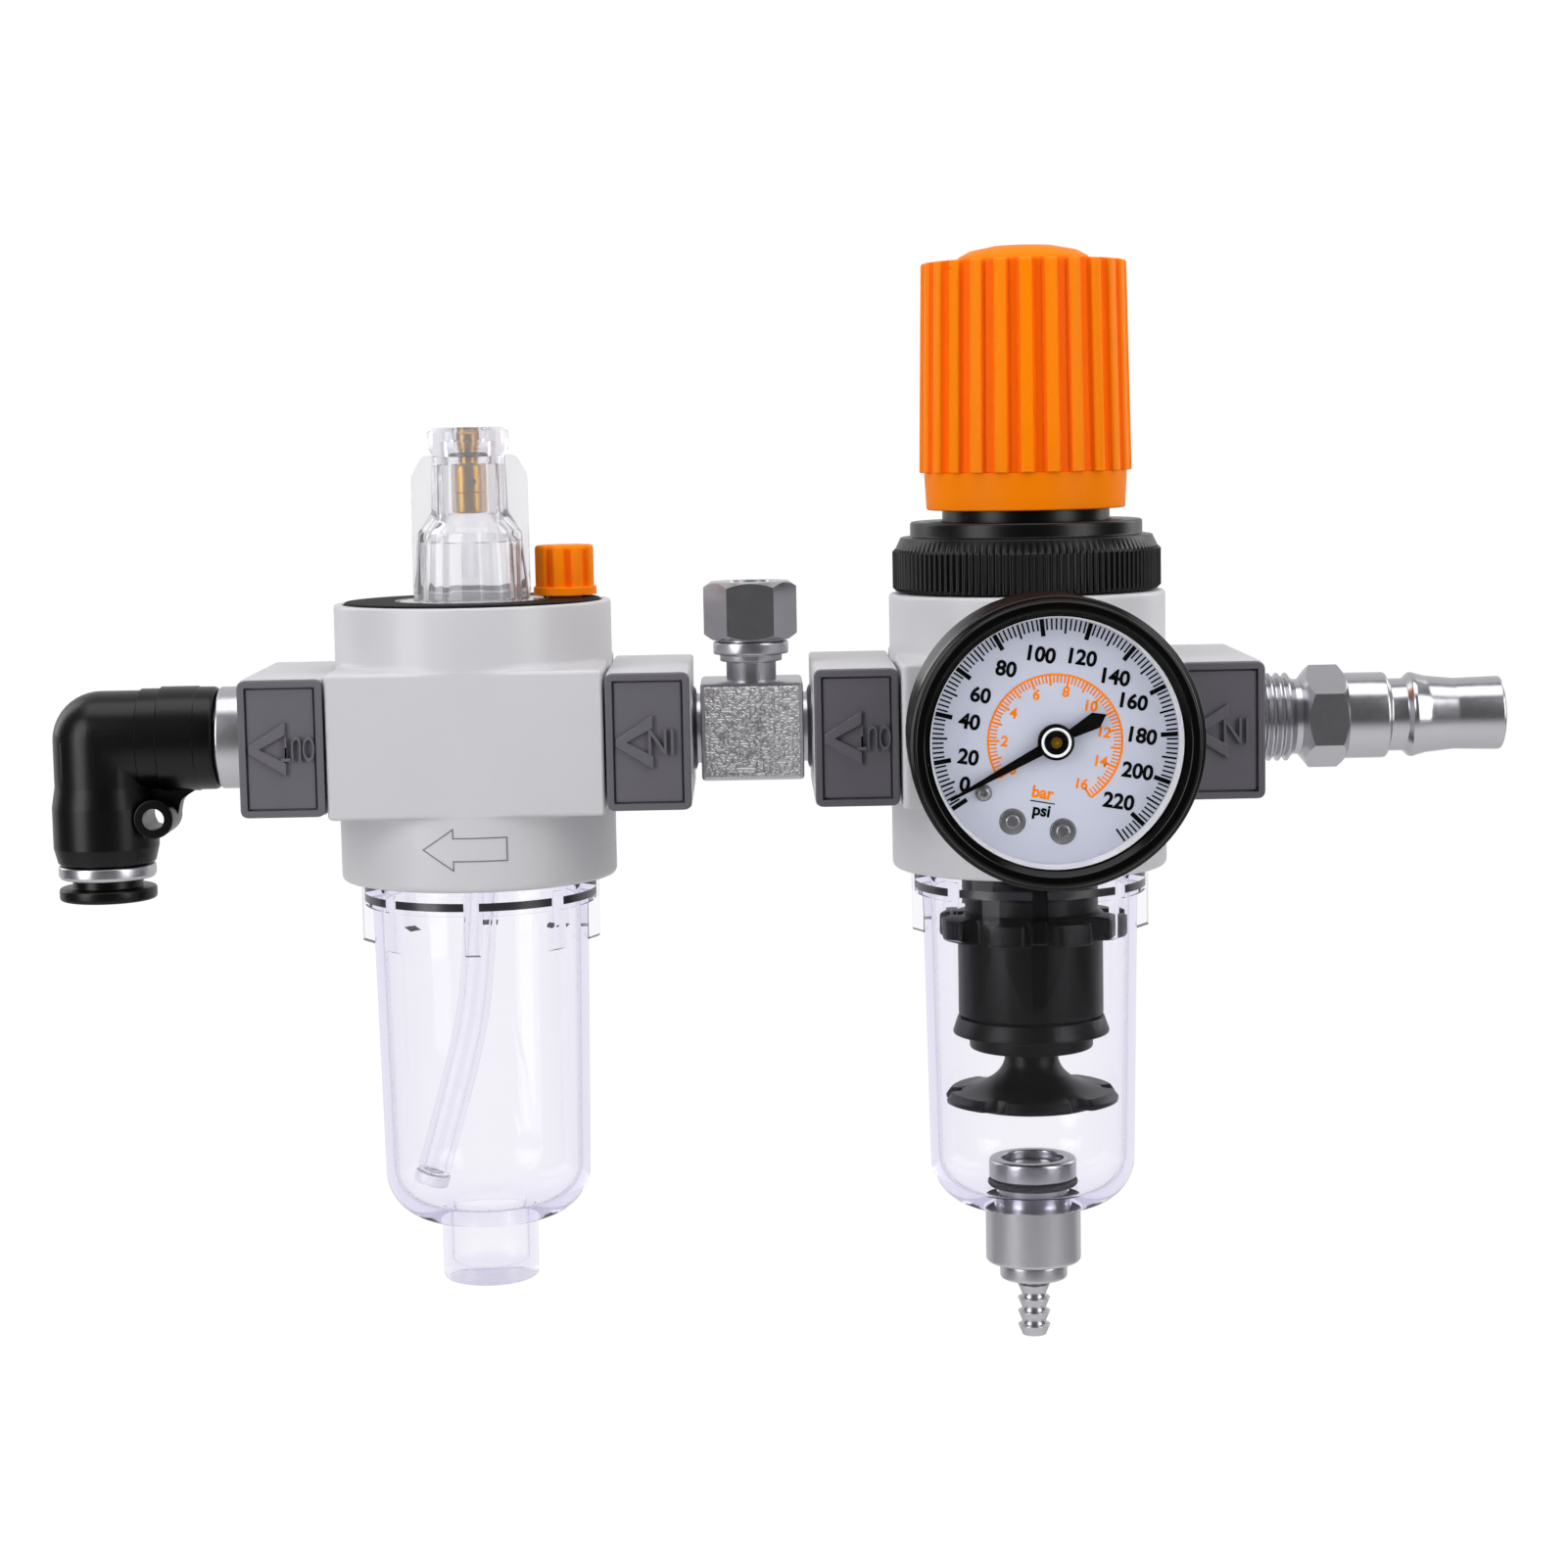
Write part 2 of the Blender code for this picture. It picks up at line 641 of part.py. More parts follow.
DIAPHRAGM_PLATE_TOP = DIAPHRAGM_PLATE_FOOT + DIAPHRAGM_PLATE_THICKNESS
DIAPHRAGM_BOSS_FOOT = DIAPHRAGM_FOOT - DIAPHRAGM_BOSS_LENGTH
VALVE_HEAD_TOP = VALVE_SEAT_LEVEL - SEAM
VALVE_HEAD_FOOT = VALVE_HEAD_TOP - VALVE_HEAD_HEIGHT
HOLDER_SHOULDER = SOCKET_ROOF - SEAM
HOLDER_TOP = HOLDER_SHOULDER + HOLDER_SPIGOT_LENGTH
HOLDER_BORE = HOLDER_LOW_RADIUS - HOLDER_WALL
BAFFLE_TOP = HOLDER_FOOT - SEAM
BOWL_COLLAR_TOP = BODY_BOTTOM - SEAM
BOWL_SPIGOT_RADIUS = SOCKET_RADIUS - RUN
BOWL_SPIGOT_TOP = BOWL_COLLAR_TOP + BOWL_SPIGOT_LENGTH
BOWL_COLLAR_FOOT = BOWL_COLLAR_TOP - BOWL_COLLAR_HEIGHT
BOWL_FOOT = BOWL_COLLAR_TOP - BOWL_LENGTH
BOWL_FLOOR_LEVEL = BOWL_FOOT + BOWL_FLOOR
DRAIN_FLANGE_FOOT = BOWL_FLOOR_LEVEL + 2 * DRAIN_RING_RADIUS + SEAM
DRAIN_FLANGE_TOP = DRAIN_FLANGE_FOOT + DRAIN_FLANGE_HEIGHT
DRAIN_SLEEVE_RADIUS = BOWL_NECK_BORE - SEAM
DRAIN_SLEEVE_FOOT = DRAIN_FLANGE_FOOT - DRAIN_SLEEVE_LENGTH
DRAIN_SHOULDER_TOP = DRAIN_SLEEVE_FOOT - DRAIN_TRAVEL - DRAIN_STOP_GAP
BARB_TOP = DRAIN_SHOULDER_TOP - DRAIN_SHOULDER_HEIGHT
BARB_FOOT = BARB_TOP - BARB_LEAD - BARB_COUNT * BARB_PITCH
TOP_RECESS_RADIUS = BODY_RADIUS - TOP_RIM_WIDTH
FILL_OFFSET = (BODY_RADIUS - FILL_INSET, FILL_BACK)
GAUGE_CASE_RADIUS = GAUGE_BEZEL_RADIUS - GAUGE_CASE_STEP
GAUGE_CASE_SPIGOT_RADIUS = GAUGE_BEZEL_RADIUS - GAUGE_BEZEL_WALL - SEAM
GAUGE_CASE_BORE = GAUGE_CASE_SPIGOT_RADIUS - GAUGE_CASE_SPIGOT_WALL
GAUGE_OPENING_RADIUS = GAUGE_CASE_SPIGOT_RADIUS - GAUGE_LENS_HOLD
GAUGE_POST_FOOT = GAUGE_POST_INSET - GAUGE_CASE_BORE
GAUGE_POST_TOP = GAUGE_POST_FOOT + GAUGE_POST_HEIGHT
NEEDLE_LENGTH = GAUGE_CASE_BORE - NEEDLE_TIP_GAP
DIAL_SCREW_REACH = GAUGE_CASE_BORE - DIAL_SCREW_INSET
GAUGE_DIAL_TOP = GAUGE_FRONT - GAUGE_DIAL_DEPTH
GAUGE_DIAL_FOOT = GAUGE_DIAL_TOP - GAUGE_DIAL_THICKNESS
GAUGE_CASE_FRONT = GAUGE_FRONT - GAUGE_BEZEL_DEPTH - SEAM
GAUGE_CASE_RIM = GAUGE_CASE_FRONT + GAUGE_CASE_SPIGOT_HEIGHT
GAUGE_LENS_TOP = GAUGE_FRONT - GAUGE_LENS_RECESS
GAUGE_LENS_FOOT = GAUGE_CASE_RIM + SEAM
GAUGE_CASE_FLOOR = GAUGE_CASE_BACK + GAUGE_CASE_WALL
GAUGE_PLATE_FOOT = GAUGE_CASE_FLOOR + SEAM
GAUGE_PLATE_TOP = GAUGE_PLATE_FOOT + GAUGE_PLATE_THICKNESS
NEEDLE_FOOT = GAUGE_DIAL_TOP + NEEDLE_LIFT
HUB_TOP = NEEDLE_FOOT + GAUGE_HUB_HEIGHT
TEE_X = LUBRICATOR_X / 2
TEE_TOP = TEE_HEIGHT / 2
TEE_RELIEF_FOOT = TEE_TOP + TEE_STEM_LENGTH
TEE_COLLAR_FOOT = TEE_RELIEF_FOOT + TEE_RELIEF_HEIGHT
TEE_COLLAR_TOP = TEE_COLLAR_FOOT + TEE_COLLAR_HEIGHT
TEE_MALE_TOP = TEE_COLLAR_TOP + TEE_MALE_LENGTH
TEE_NUT_FOOT = TEE_COLLAR_TOP + RUN
TEE_NUT_TOP = TEE_NUT_FOOT + TEE_NUT_HEIGHT
TOP_PLATE_TOP = BODY_TOP + SEAM
TOP_PLATE_FOOT = TOP_PLATE_TOP - TOP_PLATE_THICKNESS
TOP_RECESS_FLOOR = TOP_PLATE_FOOT - SEAM
DOME_FLANGE_TOP = TOP_PLATE_FOOT + DOME_FLANGE_HEIGHT
DOME_BASE_TOP = DOME_FLANGE_TOP + DOME_BASE_HEIGHT
DOME_NECK_TOP = DOME_BASE_TOP + DOME_NECK_RISE
DOME_SPIGOT_FOOT = TOP_PLATE_FOOT - DOME_SPIGOT_LENGTH
DRIP_RING_LEVEL = DRIP_BARREL_TOP + DRIP_RING_RISE
FILL_RING_LEVEL = TOP_PLATE_TOP + FILL_RING_RADIUS + SEAM / 2
FILL_FLANGE_FOOT = FILL_RING_LEVEL + FILL_RING_RADIUS + SEAM / 2
FILL_FLANGE_TOP = FILL_FLANGE_FOOT + FILL_FLANGE_HEIGHT
STUD_START = PLATE_OUTER + SEAM
ELBOW_START = STUD_START + STUD_LENGTH + RUN
ELBOW_AXIS_X = LUBRICATOR_X - ELBOW_START - ELBOW_LEG
END_RING_TOP = -ELBOW_DROP - SEAM
END_RING_FOOT = END_RING_TOP - END_RING_HEIGHT
COLLAR_LIP_TOP = END_RING_FOOT - COLLAR_GAP
COLLAR_LIP_FOOT = COLLAR_LIP_TOP - COLLAR_LIP_HEIGHT

REGULATOR = make_empty("regulator", (0, 0, 0))
LUBRICATOR = make_empty("lubricator", (LUBRICATOR_X, 0, 0))
GAUGE = make_empty("gauge", (0, 0, GAUGE_HEIGHT))
TEE = make_empty("tee", (TEE_X, 0, 0))
ELBOW = make_empty("elbow", (ELBOW_AXIS_X, 0, 0))


def unit_body(name, unit):
    """Round casting with a square waist that carries the port plates, and the bowl's socket."""
    reach = Vector((BLOCK_HALF_WIDTH, BLOCK_HALF_DEPTH, BLOCK_HALF_HEIGHT))
    body = box(name, -reach, reach, "cast_grey", parent=unit)
    waist = BLOCK_HALF_HEIGHT - OVERLAP
    place = {"sides": SIDES_LARGE, "parent": unit}
    upper = rod(f"{name}_upper", BODY_RADIUS, waist, BODY_TOP, "cast_grey", **place)
    lower = rod(f"{name}_lower", BODY_RADIUS, BODY_BOTTOM, -waist, "cast_grey", **place)
    join(body, upper, lower)
    cut(body, rod(f"{name}_socket", SOCKET_RADIUS, BODY_BOTTOM - OVERLAP, SOCKET_ROOF, "cast_grey", **place))
    return body


def regulator_body():
    body = unit_body("regulator_body", REGULATOR)

    def bore(name, radius, low, high, sides=SIDES_SMALL, **place):
        return rod(f"body_{name}", radius, low, high, "cast_grey", sides=sides, parent=REGULATOR, **place)

    spigot = bore("spigot", SPIGOT_RADIUS, BODY_TOP - OVERLAP, SPIGOT_TOP, sides=SIDES_LARGE)
    join(body, spigot)
    seat_top = VALVE_SEAT_LEVEL + VALVE_SEAT_THICKNESS
    flow_end = BLOCK_HALF_WIDTH - FLOW_BORE_DEPTH
    flow_mouth = BLOCK_HALF_WIDTH + OVERLAP
    port_end = BLOCK_HALF_DEPTH - GAUGE_PORT_DEPTH
    port_mouth = BLOCK_HALF_DEPTH + OVERLAP
    port_radius = GAUGE_STEM_THREAD_RADIUS + SEAM
    cut(
        body,
        bore("chamber", CHAMBER_RADIUS, CHAMBER_FLOOR, SPIGOT_TOP + OVERLAP, sides=SIDES_LARGE),
        bore("valve_bore", VALVE_BORE_RADIUS, SOCKET_ROOF - OVERLAP, VALVE_SEAT_LEVEL),
        bore("seat_hole", VALVE_SEAT_RADIUS, VALVE_SEAT_LEVEL - OVERLAP, seat_top + OVERLAP),
        bore("outlet_well", VALVE_BORE_RADIUS, seat_top, CHAMBER_FLOOR + OVERLAP),
        bore("inlet", FLOW_BORE_RADIUS, flow_end, flow_mouth, axis="X"),
        bore("outlet", FLOW_BORE_RADIUS, flow_end, flow_mouth, axis="-X"),
        bore("inlet_fall", PASSAGE_RADIUS, SOCKET_ROOF - OVERLAP, 0, at=(PASSAGE_OFFSET, 0, 0)),
        bore("outlet_rise", PASSAGE_RADIUS, 0, CHAMBER_FLOOR + OVERLAP, at=(-PASSAGE_OFFSET, 0, 0)),
        bore("gauge_port", port_radius, port_end, port_mouth, at=(0, 0, GAUGE_HEIGHT), axis="-Y"),
        bore("gauge_rise", GAUGE_PASSAGE_RADIUS, 0, CHAMBER_FLOOR + OVERLAP, at=(0, -PASSAGE_OFFSET, 0)),
    )


def bonnet_and_ring_nut():
    roof = BONNET_TOP - BONNET_ROOF
    spindle_hole = SPINDLE_RADIUS + RUN
    outline = [
        (SPIGOT_RADIUS, BONNET_FOOT),
        (SPIGOT_RADIUS, BONNET_FLANGE_TOP),
        (BONNET_RADIUS, BONNET_FLANGE_TOP),
        (BONNET_RADIUS, BONNET_TOP),
        (spindle_hole, BONNET_TOP),
        (spindle_hole, roof),
        (BONNET_BORE, roof),
        (BONNET_BORE, BONNET_FOOT),
    ]
    turned("regulator_bonnet", outline, "black_plastic", parent=REGULATOR)
    thread = SPIGOT_RADIUS + SEAM
    lip = BONNET_RADIUS + SEAM
    lip_foot = BONNET_FLANGE_TOP + SEAM
    outline = [
        (RING_NUT_RADIUS, RING_NUT_FOOT),
        (RING_NUT_RADIUS, RING_NUT_KNURL_TOP),
        (RING_NUT_CHAMFER_RADIUS, RING_NUT_CHAMFER_TOP),
        (RING_NUT_STEP_RADIUS, RING_NUT_CHAMFER_TOP),
        (RING_NUT_STEP_RADIUS, RING_NUT_TOP),
        (lip, RING_NUT_TOP),
        (lip, lip_foot),
        (thread, lip_foot),
        (thread, RING_NUT_FOOT),
    ]
    turned("bonnet_ring_nut", outline, "black_plastic", SIDES_LARGE, parent=REGULATOR)


def pressure_knob():
    ribs = fluted_outline(KNOB_RIB_COUNT, KNOB_RIB_FOOT_RADIUS, KNOB_RIB_DEPTH, KNOB_RIB_SHARE)
    taper = KNOB_RIB_TOP_RADIUS / KNOB_RIB_FOOT_RADIUS
    knob = prism(
        "pressure_knob", ribs, KNOB_SKIRT_TOP, KNOB_RIB_TOP, "orange_plastic", taper=taper, parent=REGULATOR
    )
    skirt_top = KNOB_SKIRT_TOP + OVERLAP
    skirt = turned(
        "knob_skirt",
        [(0, skirt_top), (KNOB_SKIRT_RADIUS, skirt_top), (KNOB_SKIRT_FOOT_RADIUS, KNOB_FOOT), (0, KNOB_FOOT)],
        "orange_plastic",
        SIDES_LARGE,
        parent=REGULATOR,
    )
    dome_top = KNOB_RIB_TOP + KNOB_DOME_HEIGHT
    dome_foot = KNOB_RIB_TOP - OVERLAP
    dome = turned(
        "knob_dome",
        [
            (0, dome_top),
            (KNOB_DOME_SHOULDER_RADIUS, KNOB_RIB_TOP + KNOB_DOME_SHOULDER_HEIGHT),
            (KNOB_DOME_RADIUS, KNOB_RIB_TOP),
            (KNOB_DOME_RADIUS, dome_foot),
            (0, dome_foot),
        ],
        "orange_plastic",
        parent=REGULATOR,
    )
    join(knob, skirt, dome)
    cavity_top = BONNET_TOP + LOCK_TRAVEL + 2 * RUN
    cavity_foot = KNOB_FOOT - OVERLAP
    cavity_radius = BONNET_RADIUS + RUN
    cavity = rod("knob_cavity", cavity_radius, cavity_foot, cavity_top, "orange_plastic", parent=REGULATOR)
    socket = prism(
        "knob_socket",
        hexagon(SPINDLE_HEAD_ACROSS + 2 * RUN),
        cavity_top - OVERLAP,
        SPINDLE_HEAD_TOP + LOCK_TRAVEL + RUN,
        "orange_plastic",
        parent=REGULATOR,
    )
    cut(knob, cavity, socket)


def spindle_and_seat_nut():
    outline = [
        (0, SPINDLE_HEAD_FOOT + OVERLAP),
        (SPINDLE_RADIUS, SPINDLE_HEAD_FOOT + OVERLAP),
        (SPINDLE_RADIUS, SPINDLE_COLLAR_TOP),
        (SPINDLE_COLLAR_RADIUS, SPINDLE_COLLAR_TOP),
        (SPINDLE_COLLAR_RADIUS, SPINDLE_COLLAR_FOOT),
        (SPINDLE_RADIUS, SPINDLE_COLLAR_FOOT),
        (SPINDLE_RADIUS, SPINDLE_COLLAR_FOOT - SPINDLE_THREAD_LENGTH),
        (0, SPINDLE_COLLAR_FOOT - SPINDLE_THREAD_LENGTH),
    ]
    spindle = turned("adjusting_spindle", outline, "steel", SIDES_SMALL, parent=REGULATOR)
    head = prism(
        "spindle_head",
        hexagon(SPINDLE_HEAD_ACROSS),
        SPINDLE_HEAD_FOOT,
        SPINDLE_HEAD_TOP,
        "steel",
        parent=REGULATOR,
    )
    join(spindle, head)
    ring(
        "spring_seat_nut",
        BONNET_BORE - RUN,
        SPINDLE_RADIUS + RUN,
        SEAT_NUT_FOOT,
        SEAT_NUT_TOP,
        "brass",
        parent=REGULATOR,
    )
    spring(
        "adjusting_spring",
        ADJUSTING_COIL_RADIUS,
        ADJUSTING_WIRE_RADIUS,
        DIAPHRAGM_PLATE_TOP + SEAM,
        SEAT_NUT_FOOT - SEAM,
        ADJUSTING_TURNS,
        parent=REGULATOR,
    )


def diaphragm_and_valve():
    ring(
        "diaphragm",
        SPIGOT_RADIUS,
        DIAPHRAGM_HOLE,
        DIAPHRAGM_FOOT,
        DIAPHRAGM_TOP,
        "rubber",
        parent=REGULATOR,
    )
    boss = DIAPHRAGM_HOLE - SEAM
    outline = [
        (0, DIAPHRAGM_PLATE_TOP),
        (DIAPHRAGM_PLATE_RADIUS, DIAPHRAGM_PLATE_TOP),
        (DIAPHRAGM_PLATE_RADIUS, DIAPHRAGM_PLATE_FOOT),
        (boss, DIAPHRAGM_PLATE_FOOT),
        (boss, DIAPHRAGM_BOSS_FOOT),
        (0, DIAPHRAGM_BOSS_FOOT),
    ]
    turned("diaphragm_plate", outline, "steel", SIDES_SMALL, parent=REGULATOR)
    stem_top = DIAPHRAGM_BOSS_FOOT - SEAM
    guide_foot = VALVE_HEAD_FOOT - VALVE_GUIDE_LENGTH
    outline = [
        (0, stem_top),
        (VALVE_STEM_RADIUS, stem_top),
        (VALVE_STEM_RADIUS, VALVE_HEAD_TOP),
        (VALVE_HEAD_RADIUS, VALVE_HEAD_TOP),
        (VALVE_HEAD_RADIUS, VALVE_HEAD_FOOT),
        (VALVE_GUIDE_RADIUS, VALVE_HEAD_FOOT),
        (VALVE_GUIDE_RADIUS, guide_foot),
        (0, guide_foot),
    ]
    turned("regulator_valve", outline, "brass", SIDES_SMALL, parent=REGULATOR)
    spring(
        "valve_spring",
        VALVE_COIL_RADIUS,
        VALVE_WIRE_RADIUS,
        HOLDER_TOP + SEAM,
        VALVE_HEAD_FOOT - SEAM,
        VALVE_TURNS,
        parent=REGULATOR,
    )


def filter_holder_and_element():
    outline = [
        (0, HOLDER_TOP),
        (VALVE_BORE_RADIUS - SEAM, HOLDER_TOP),
        (VALVE_BORE_RADIUS - SEAM, HOLDER_SHOULDER),
        (HOLDER_RADIUS, HOLDER_SHOULDER),
        (HOLDER_RADIUS, HOLDER_FLANGE_LEVEL),
        (HOLDER_FLANGE_RADIUS, HOLDER_FLANGE_LEVEL),
        (HOLDER_FLANGE_RADIUS, HOLDER_FLANGE_LEVEL - HOLDER_FLANGE_THICKNESS),
        (HOLDER_LOW_RADIUS, HOLDER_FLANGE_LEVEL - HOLDER_FLANGE_THICKNESS),
        (HOLDER_LOW_RADIUS, HOLDER_FOOT),
        (HOLDER_BORE, HOLDER_FOOT),
        (HOLDER_BORE, HOLDER_ROOF_LEVEL),
        (HOLDER_BOSS_RADIUS, HOLDER_ROOF_LEVEL),
        (HOLDER_BOSS_RADIUS, HOLDER_ROOF_LEVEL - HOLDER_BOSS_LENGTH),
        (0, HOLDER_ROOF_LEVEL - HOLDER_BOSS_LENGTH),
    ]
    holder = turned("filter_holder", outline, "black_plastic", parent=REGULATOR)

    def hole(name, radius, low, high, **place):
        place.update(sides=SIDES_TINY, parent=REGULATOR)
        return rod(f"holder_{name}", radius, low, high, "black_plastic", **place)

    boss_foot = HOLDER_ROOF_LEVEL - HOLDER_BOSS_LENGTH - OVERLAP
    guide_foot = HOLDER_TOP - HOLDER_GUIDE_DEPTH
    cut(holder, hole("guide", VALVE_GUIDE_RADIUS + RUN, guide_foot, HOLDER_TOP + OVERLAP))
    cut(holder, hole("stud_bore", BAFFLE_STUD_RADIUS + SEAM, boss_foot, HOLDER_ROOF_LEVEL))
    for x, y in regular_polygon(HOLDER_AIR_HOLE_COUNT, HOLDER_AIR_HOLE_OFFSET):
        low, high = HOLDER_ROOF_LEVEL - OVERLAP, HOLDER_TOP + OVERLAP
        cut(holder, hole("air_hole", HOLDER_AIR_HOLE_RADIUS, low, high, at=(x, y, 0)))
    half = HOLDER_NOTCH_WIDTH / 2
    flange_foot = HOLDER_FLANGE_LEVEL - HOLDER_FLANGE_THICKNESS
    for index in range(HOLDER_VANE_COUNT):
        notch = box(
            "holder_notch",
            (HOLDER_LOW_RADIUS + 2 * OVERLAP, -half, flange_foot - OVERLAP),
            (HOLDER_FLANGE_RADIUS + OVERLAP, half, HOLDER_FLANGE_LEVEL + OVERLAP),
            "black_plastic",
            parent=REGULATOR,
        )
        notch.rotation_euler.z = (index + 0.5) * math.tau / HOLDER_VANE_COUNT
        cut(holder, notch)
    outer = HOLDER_BORE - SEAM
    ring(
        "filter_element",
        outer,
        outer - ELEMENT_WALL,
        HOLDER_FOOT,
        HOLDER_ROOF_LEVEL - SEAM,
        "sinter",
        parent=REGULATOR,
    )


def filter_baffle():
    flare_foot = BAFFLE_TOP - BAFFLE_FLARE_THICKNESS
    step_foot = flare_foot - BAFFLE_STEP_HEIGHT
    disc_top = step_foot - BAFFLE_STEM_LENGTH
    disc_foot = disc_top - BAFFLE_DISC_THICKNESS
    centre = Vector((BAFFLE_STEM_RADIUS + BAFFLE_FILLET, disc_top + BAFFLE_FILLET))
    angles = np.linspace(math.pi, math.pi * 3 / 2, BAFFLE_FILLET_POINTS)
    outline = [
        (0, BAFFLE_TOP + BAFFLE_STUD_LENGTH),
        (BAFFLE_STUD_RADIUS, BAFFLE_TOP + BAFFLE_STUD_LENGTH),
        (BAFFLE_STUD_RADIUS, BAFFLE_TOP),
        (BAFFLE_FLARE_RADIUS - BAFFLE_FLARE_SLOPE, BAFFLE_TOP),
        (BAFFLE_FLARE_RADIUS, flare_foot),
        (BAFFLE_STEP_RADIUS, flare_foot),
        (BAFFLE_STEP_RADIUS, step_foot),
        (BAFFLE_STEM_RADIUS, step_foot),
        *(tuple(centre + Vector(polar(BAFFLE_FILLET, angle))) for angle in angles),
        (BAFFLE_DISC_RADIUS, disc_foot + BAFFLE_DISC_EDGE),
        (BAFFLE_DISC_RADIUS, disc_foot),
        (0, disc_foot),
    ]
    baffle = turned("filter_baffle", outline, "black_plastic", parent=REGULATOR)
    notch_reach = BAFFLE_DISC_RADIUS + BAFFLE_LOBE_DEPTH
    for x, y in regular_polygon(BAFFLE_LOBE_COUNT, notch_reach, BAFFLE_LOBE_TURN):
        notch = rod(
            "baffle_notch",
            BAFFLE_NOTCH_RADIUS,
            disc_foot - OVERLAP,
            disc_top + OVERLAP,
            "black_plastic",
            sides=SIDES_TINY,
            parent=REGULATOR,
            at=(x, y, 0),
        )
        cut(baffle, notch)


def bowl_outline(neck_length, neck_floor):
    """Half section of a bowl: spigot, collar, tapered wall, rounded foot and neck."""
    wall_foot = BOWL_FOOT + BOWL_ROUND
    outline = [
        (BOWL_SPIGOT_RADIUS, BOWL_SPIGOT_TOP),
        (BOWL_SPIGOT_RADIUS, BOWL_COLLAR_TOP),
        (BOWL_COLLAR_RADIUS, BOWL_COLLAR_TOP),
        (BOWL_COLLAR_RADIUS, BOWL_COLLAR_FOOT),
        (BOWL_TOP_RADIUS, BOWL_COLLAR_FOOT),
    ]
    angles = np.linspace(0, math.pi / 2, BOWL_ROUND_STEPS)
    centre = BOWL_LOW_RADIUS - BOWL_ROUND
    outline += [(centre + BOWL_ROUND * math.cos(a), wall_foot - BOWL_ROUND * math.sin(a)) for a in angles]
    neck_foot = BOWL_FOOT - neck_length
    outline += [(BOWL_NECK_RADIUS, BOWL_FOOT - OVERLAP), (BOWL_NECK_RADIUS, neck_foot)]
    if neck_floor:
        outline += [(0, neck_foot), (0, neck_foot + neck_floor), (BOWL_NECK_BORE, neck_foot + neck_floor)]
    else:
        outline += [(BOWL_NECK_BORE, neck_foot)]
    outline += [(BOWL_NECK_BORE, BOWL_FLOOR_LEVEL)]
    inner = BOWL_ROUND - BOWL_WALL
    rise = BOWL_FLOOR_LEVEL + inner
    outline += [(centre + inner * math.cos(a), rise - inner * math.sin(a)) for a in reversed(angles)]
    outline += [(BOWL_TOP_RADIUS - BOWL_WALL, BOWL_COLLAR_FOOT)]
    outline += [(BOWL_SPIGOT_RADIUS - BOWL_WALL, BOWL_SPIGOT_TOP)]
    return outline


def clear_bowl(prefix, unit, neck_length, neck_floor=0.0):
    outline = bowl_outline(neck_length, neck_floor)
    bowl = turned(f"{prefix}_bowl", outline, "clear_plastic", SIDES_LARGE, parent=unit)
    half = BOWL_RIB_WIDTH / 2
    for index in range(BOWL_RIB_COUNT):
        rib = box(
            f"{prefix}_bowl_rib",
            (BOWL_COLLAR_RADIUS - BOWL_RIB_SPAN, -half, BOWL_COLLAR_FOOT - BOWL_RIB_DROP),
            (BOWL_COLLAR_RADIUS - SEAM, half, BOWL_COLLAR_FOOT + OVERLAP),
            "clear_plastic",
            parent=unit,
        )
        rib.rotation_euler.z = index * math.tau / BOWL_RIB_COUNT
        join(bowl, rib)
    level = (BOWL_SPIGOT_TOP + SOCKET_ROOF) / 2
    radius = BOWL_SPIGOT_RADIUS - BOWL_WALL / 2
    o_ring(f"{prefix}_bowl_o_ring", radius, BOWL_RING_RADIUS, level, parent=unit)


def drain():
    bore = DRAIN_STEM_RADIUS + RUN
    outline = [
        (DRAIN_FLANGE_RADIUS, DRAIN_FLANGE_TOP),
        (DRAIN_FLANGE_RADIUS, DRAIN_FLANGE_FOOT),
        (DRAIN_SLEEVE_RADIUS, DRAIN_FLANGE_FOOT),
        (DRAIN_SLEEVE_RADIUS, DRAIN_SLEEVE_FOOT),
        (bore, DRAIN_SLEEVE_FOOT),
        (bore, DRAIN_FLANGE_TOP),
    ]
    turned("drain_body", outline, "nickel", parent=REGULATOR)
    ring_radius = DRAIN_SLEEVE_RADIUS + DRAIN_RING_RADIUS + SEAM / 2
    ring_level = BOWL_FLOOR_LEVEL + DRAIN_RING_RADIUS + SEAM / 2
    o_ring("drain_o_ring", ring_radius, DRAIN_RING_RADIUS, ring_level, SIDES_SMALL, parent=REGULATOR)
    head_foot = DRAIN_FLANGE_TOP + RUN
    outline = [
        (DRAIN_HEAD_RADIUS, head_foot + DRAIN_HEAD_HEIGHT),
        (DRAIN_HEAD_RADIUS, head_foot),
        (DRAIN_STEM_RADIUS, head_foot),
        (DRAIN_STEM_RADIUS, DRAIN_SHOULDER_TOP),
        (DRAIN_SHOULDER_RADIUS, DRAIN_SHOULDER_TOP),
        (DRAIN_SHOULDER_RADIUS, BARB_TOP),
    ]
    for index in range(BARB_COUNT):
        top = BARB_TOP - BARB_LEAD - index * BARB_PITCH
        outline += [(BARB_ROOT_RADIUS, top), (BARB_RADIUS, top), (BARB_ROOT_RADIUS, top - BARB_LENGTH)]
    outline += [
        (BARB_ROOT_RADIUS, BARB_FOOT),
        (DRAIN_BORE_RADIUS, BARB_FOOT),
        (DRAIN_BORE_RADIUS, head_foot + DRAIN_HEAD_HEIGHT),
    ]
    turned("drain_stem", outline, "nickel", SIDES_SMALL, parent=REGULATOR)


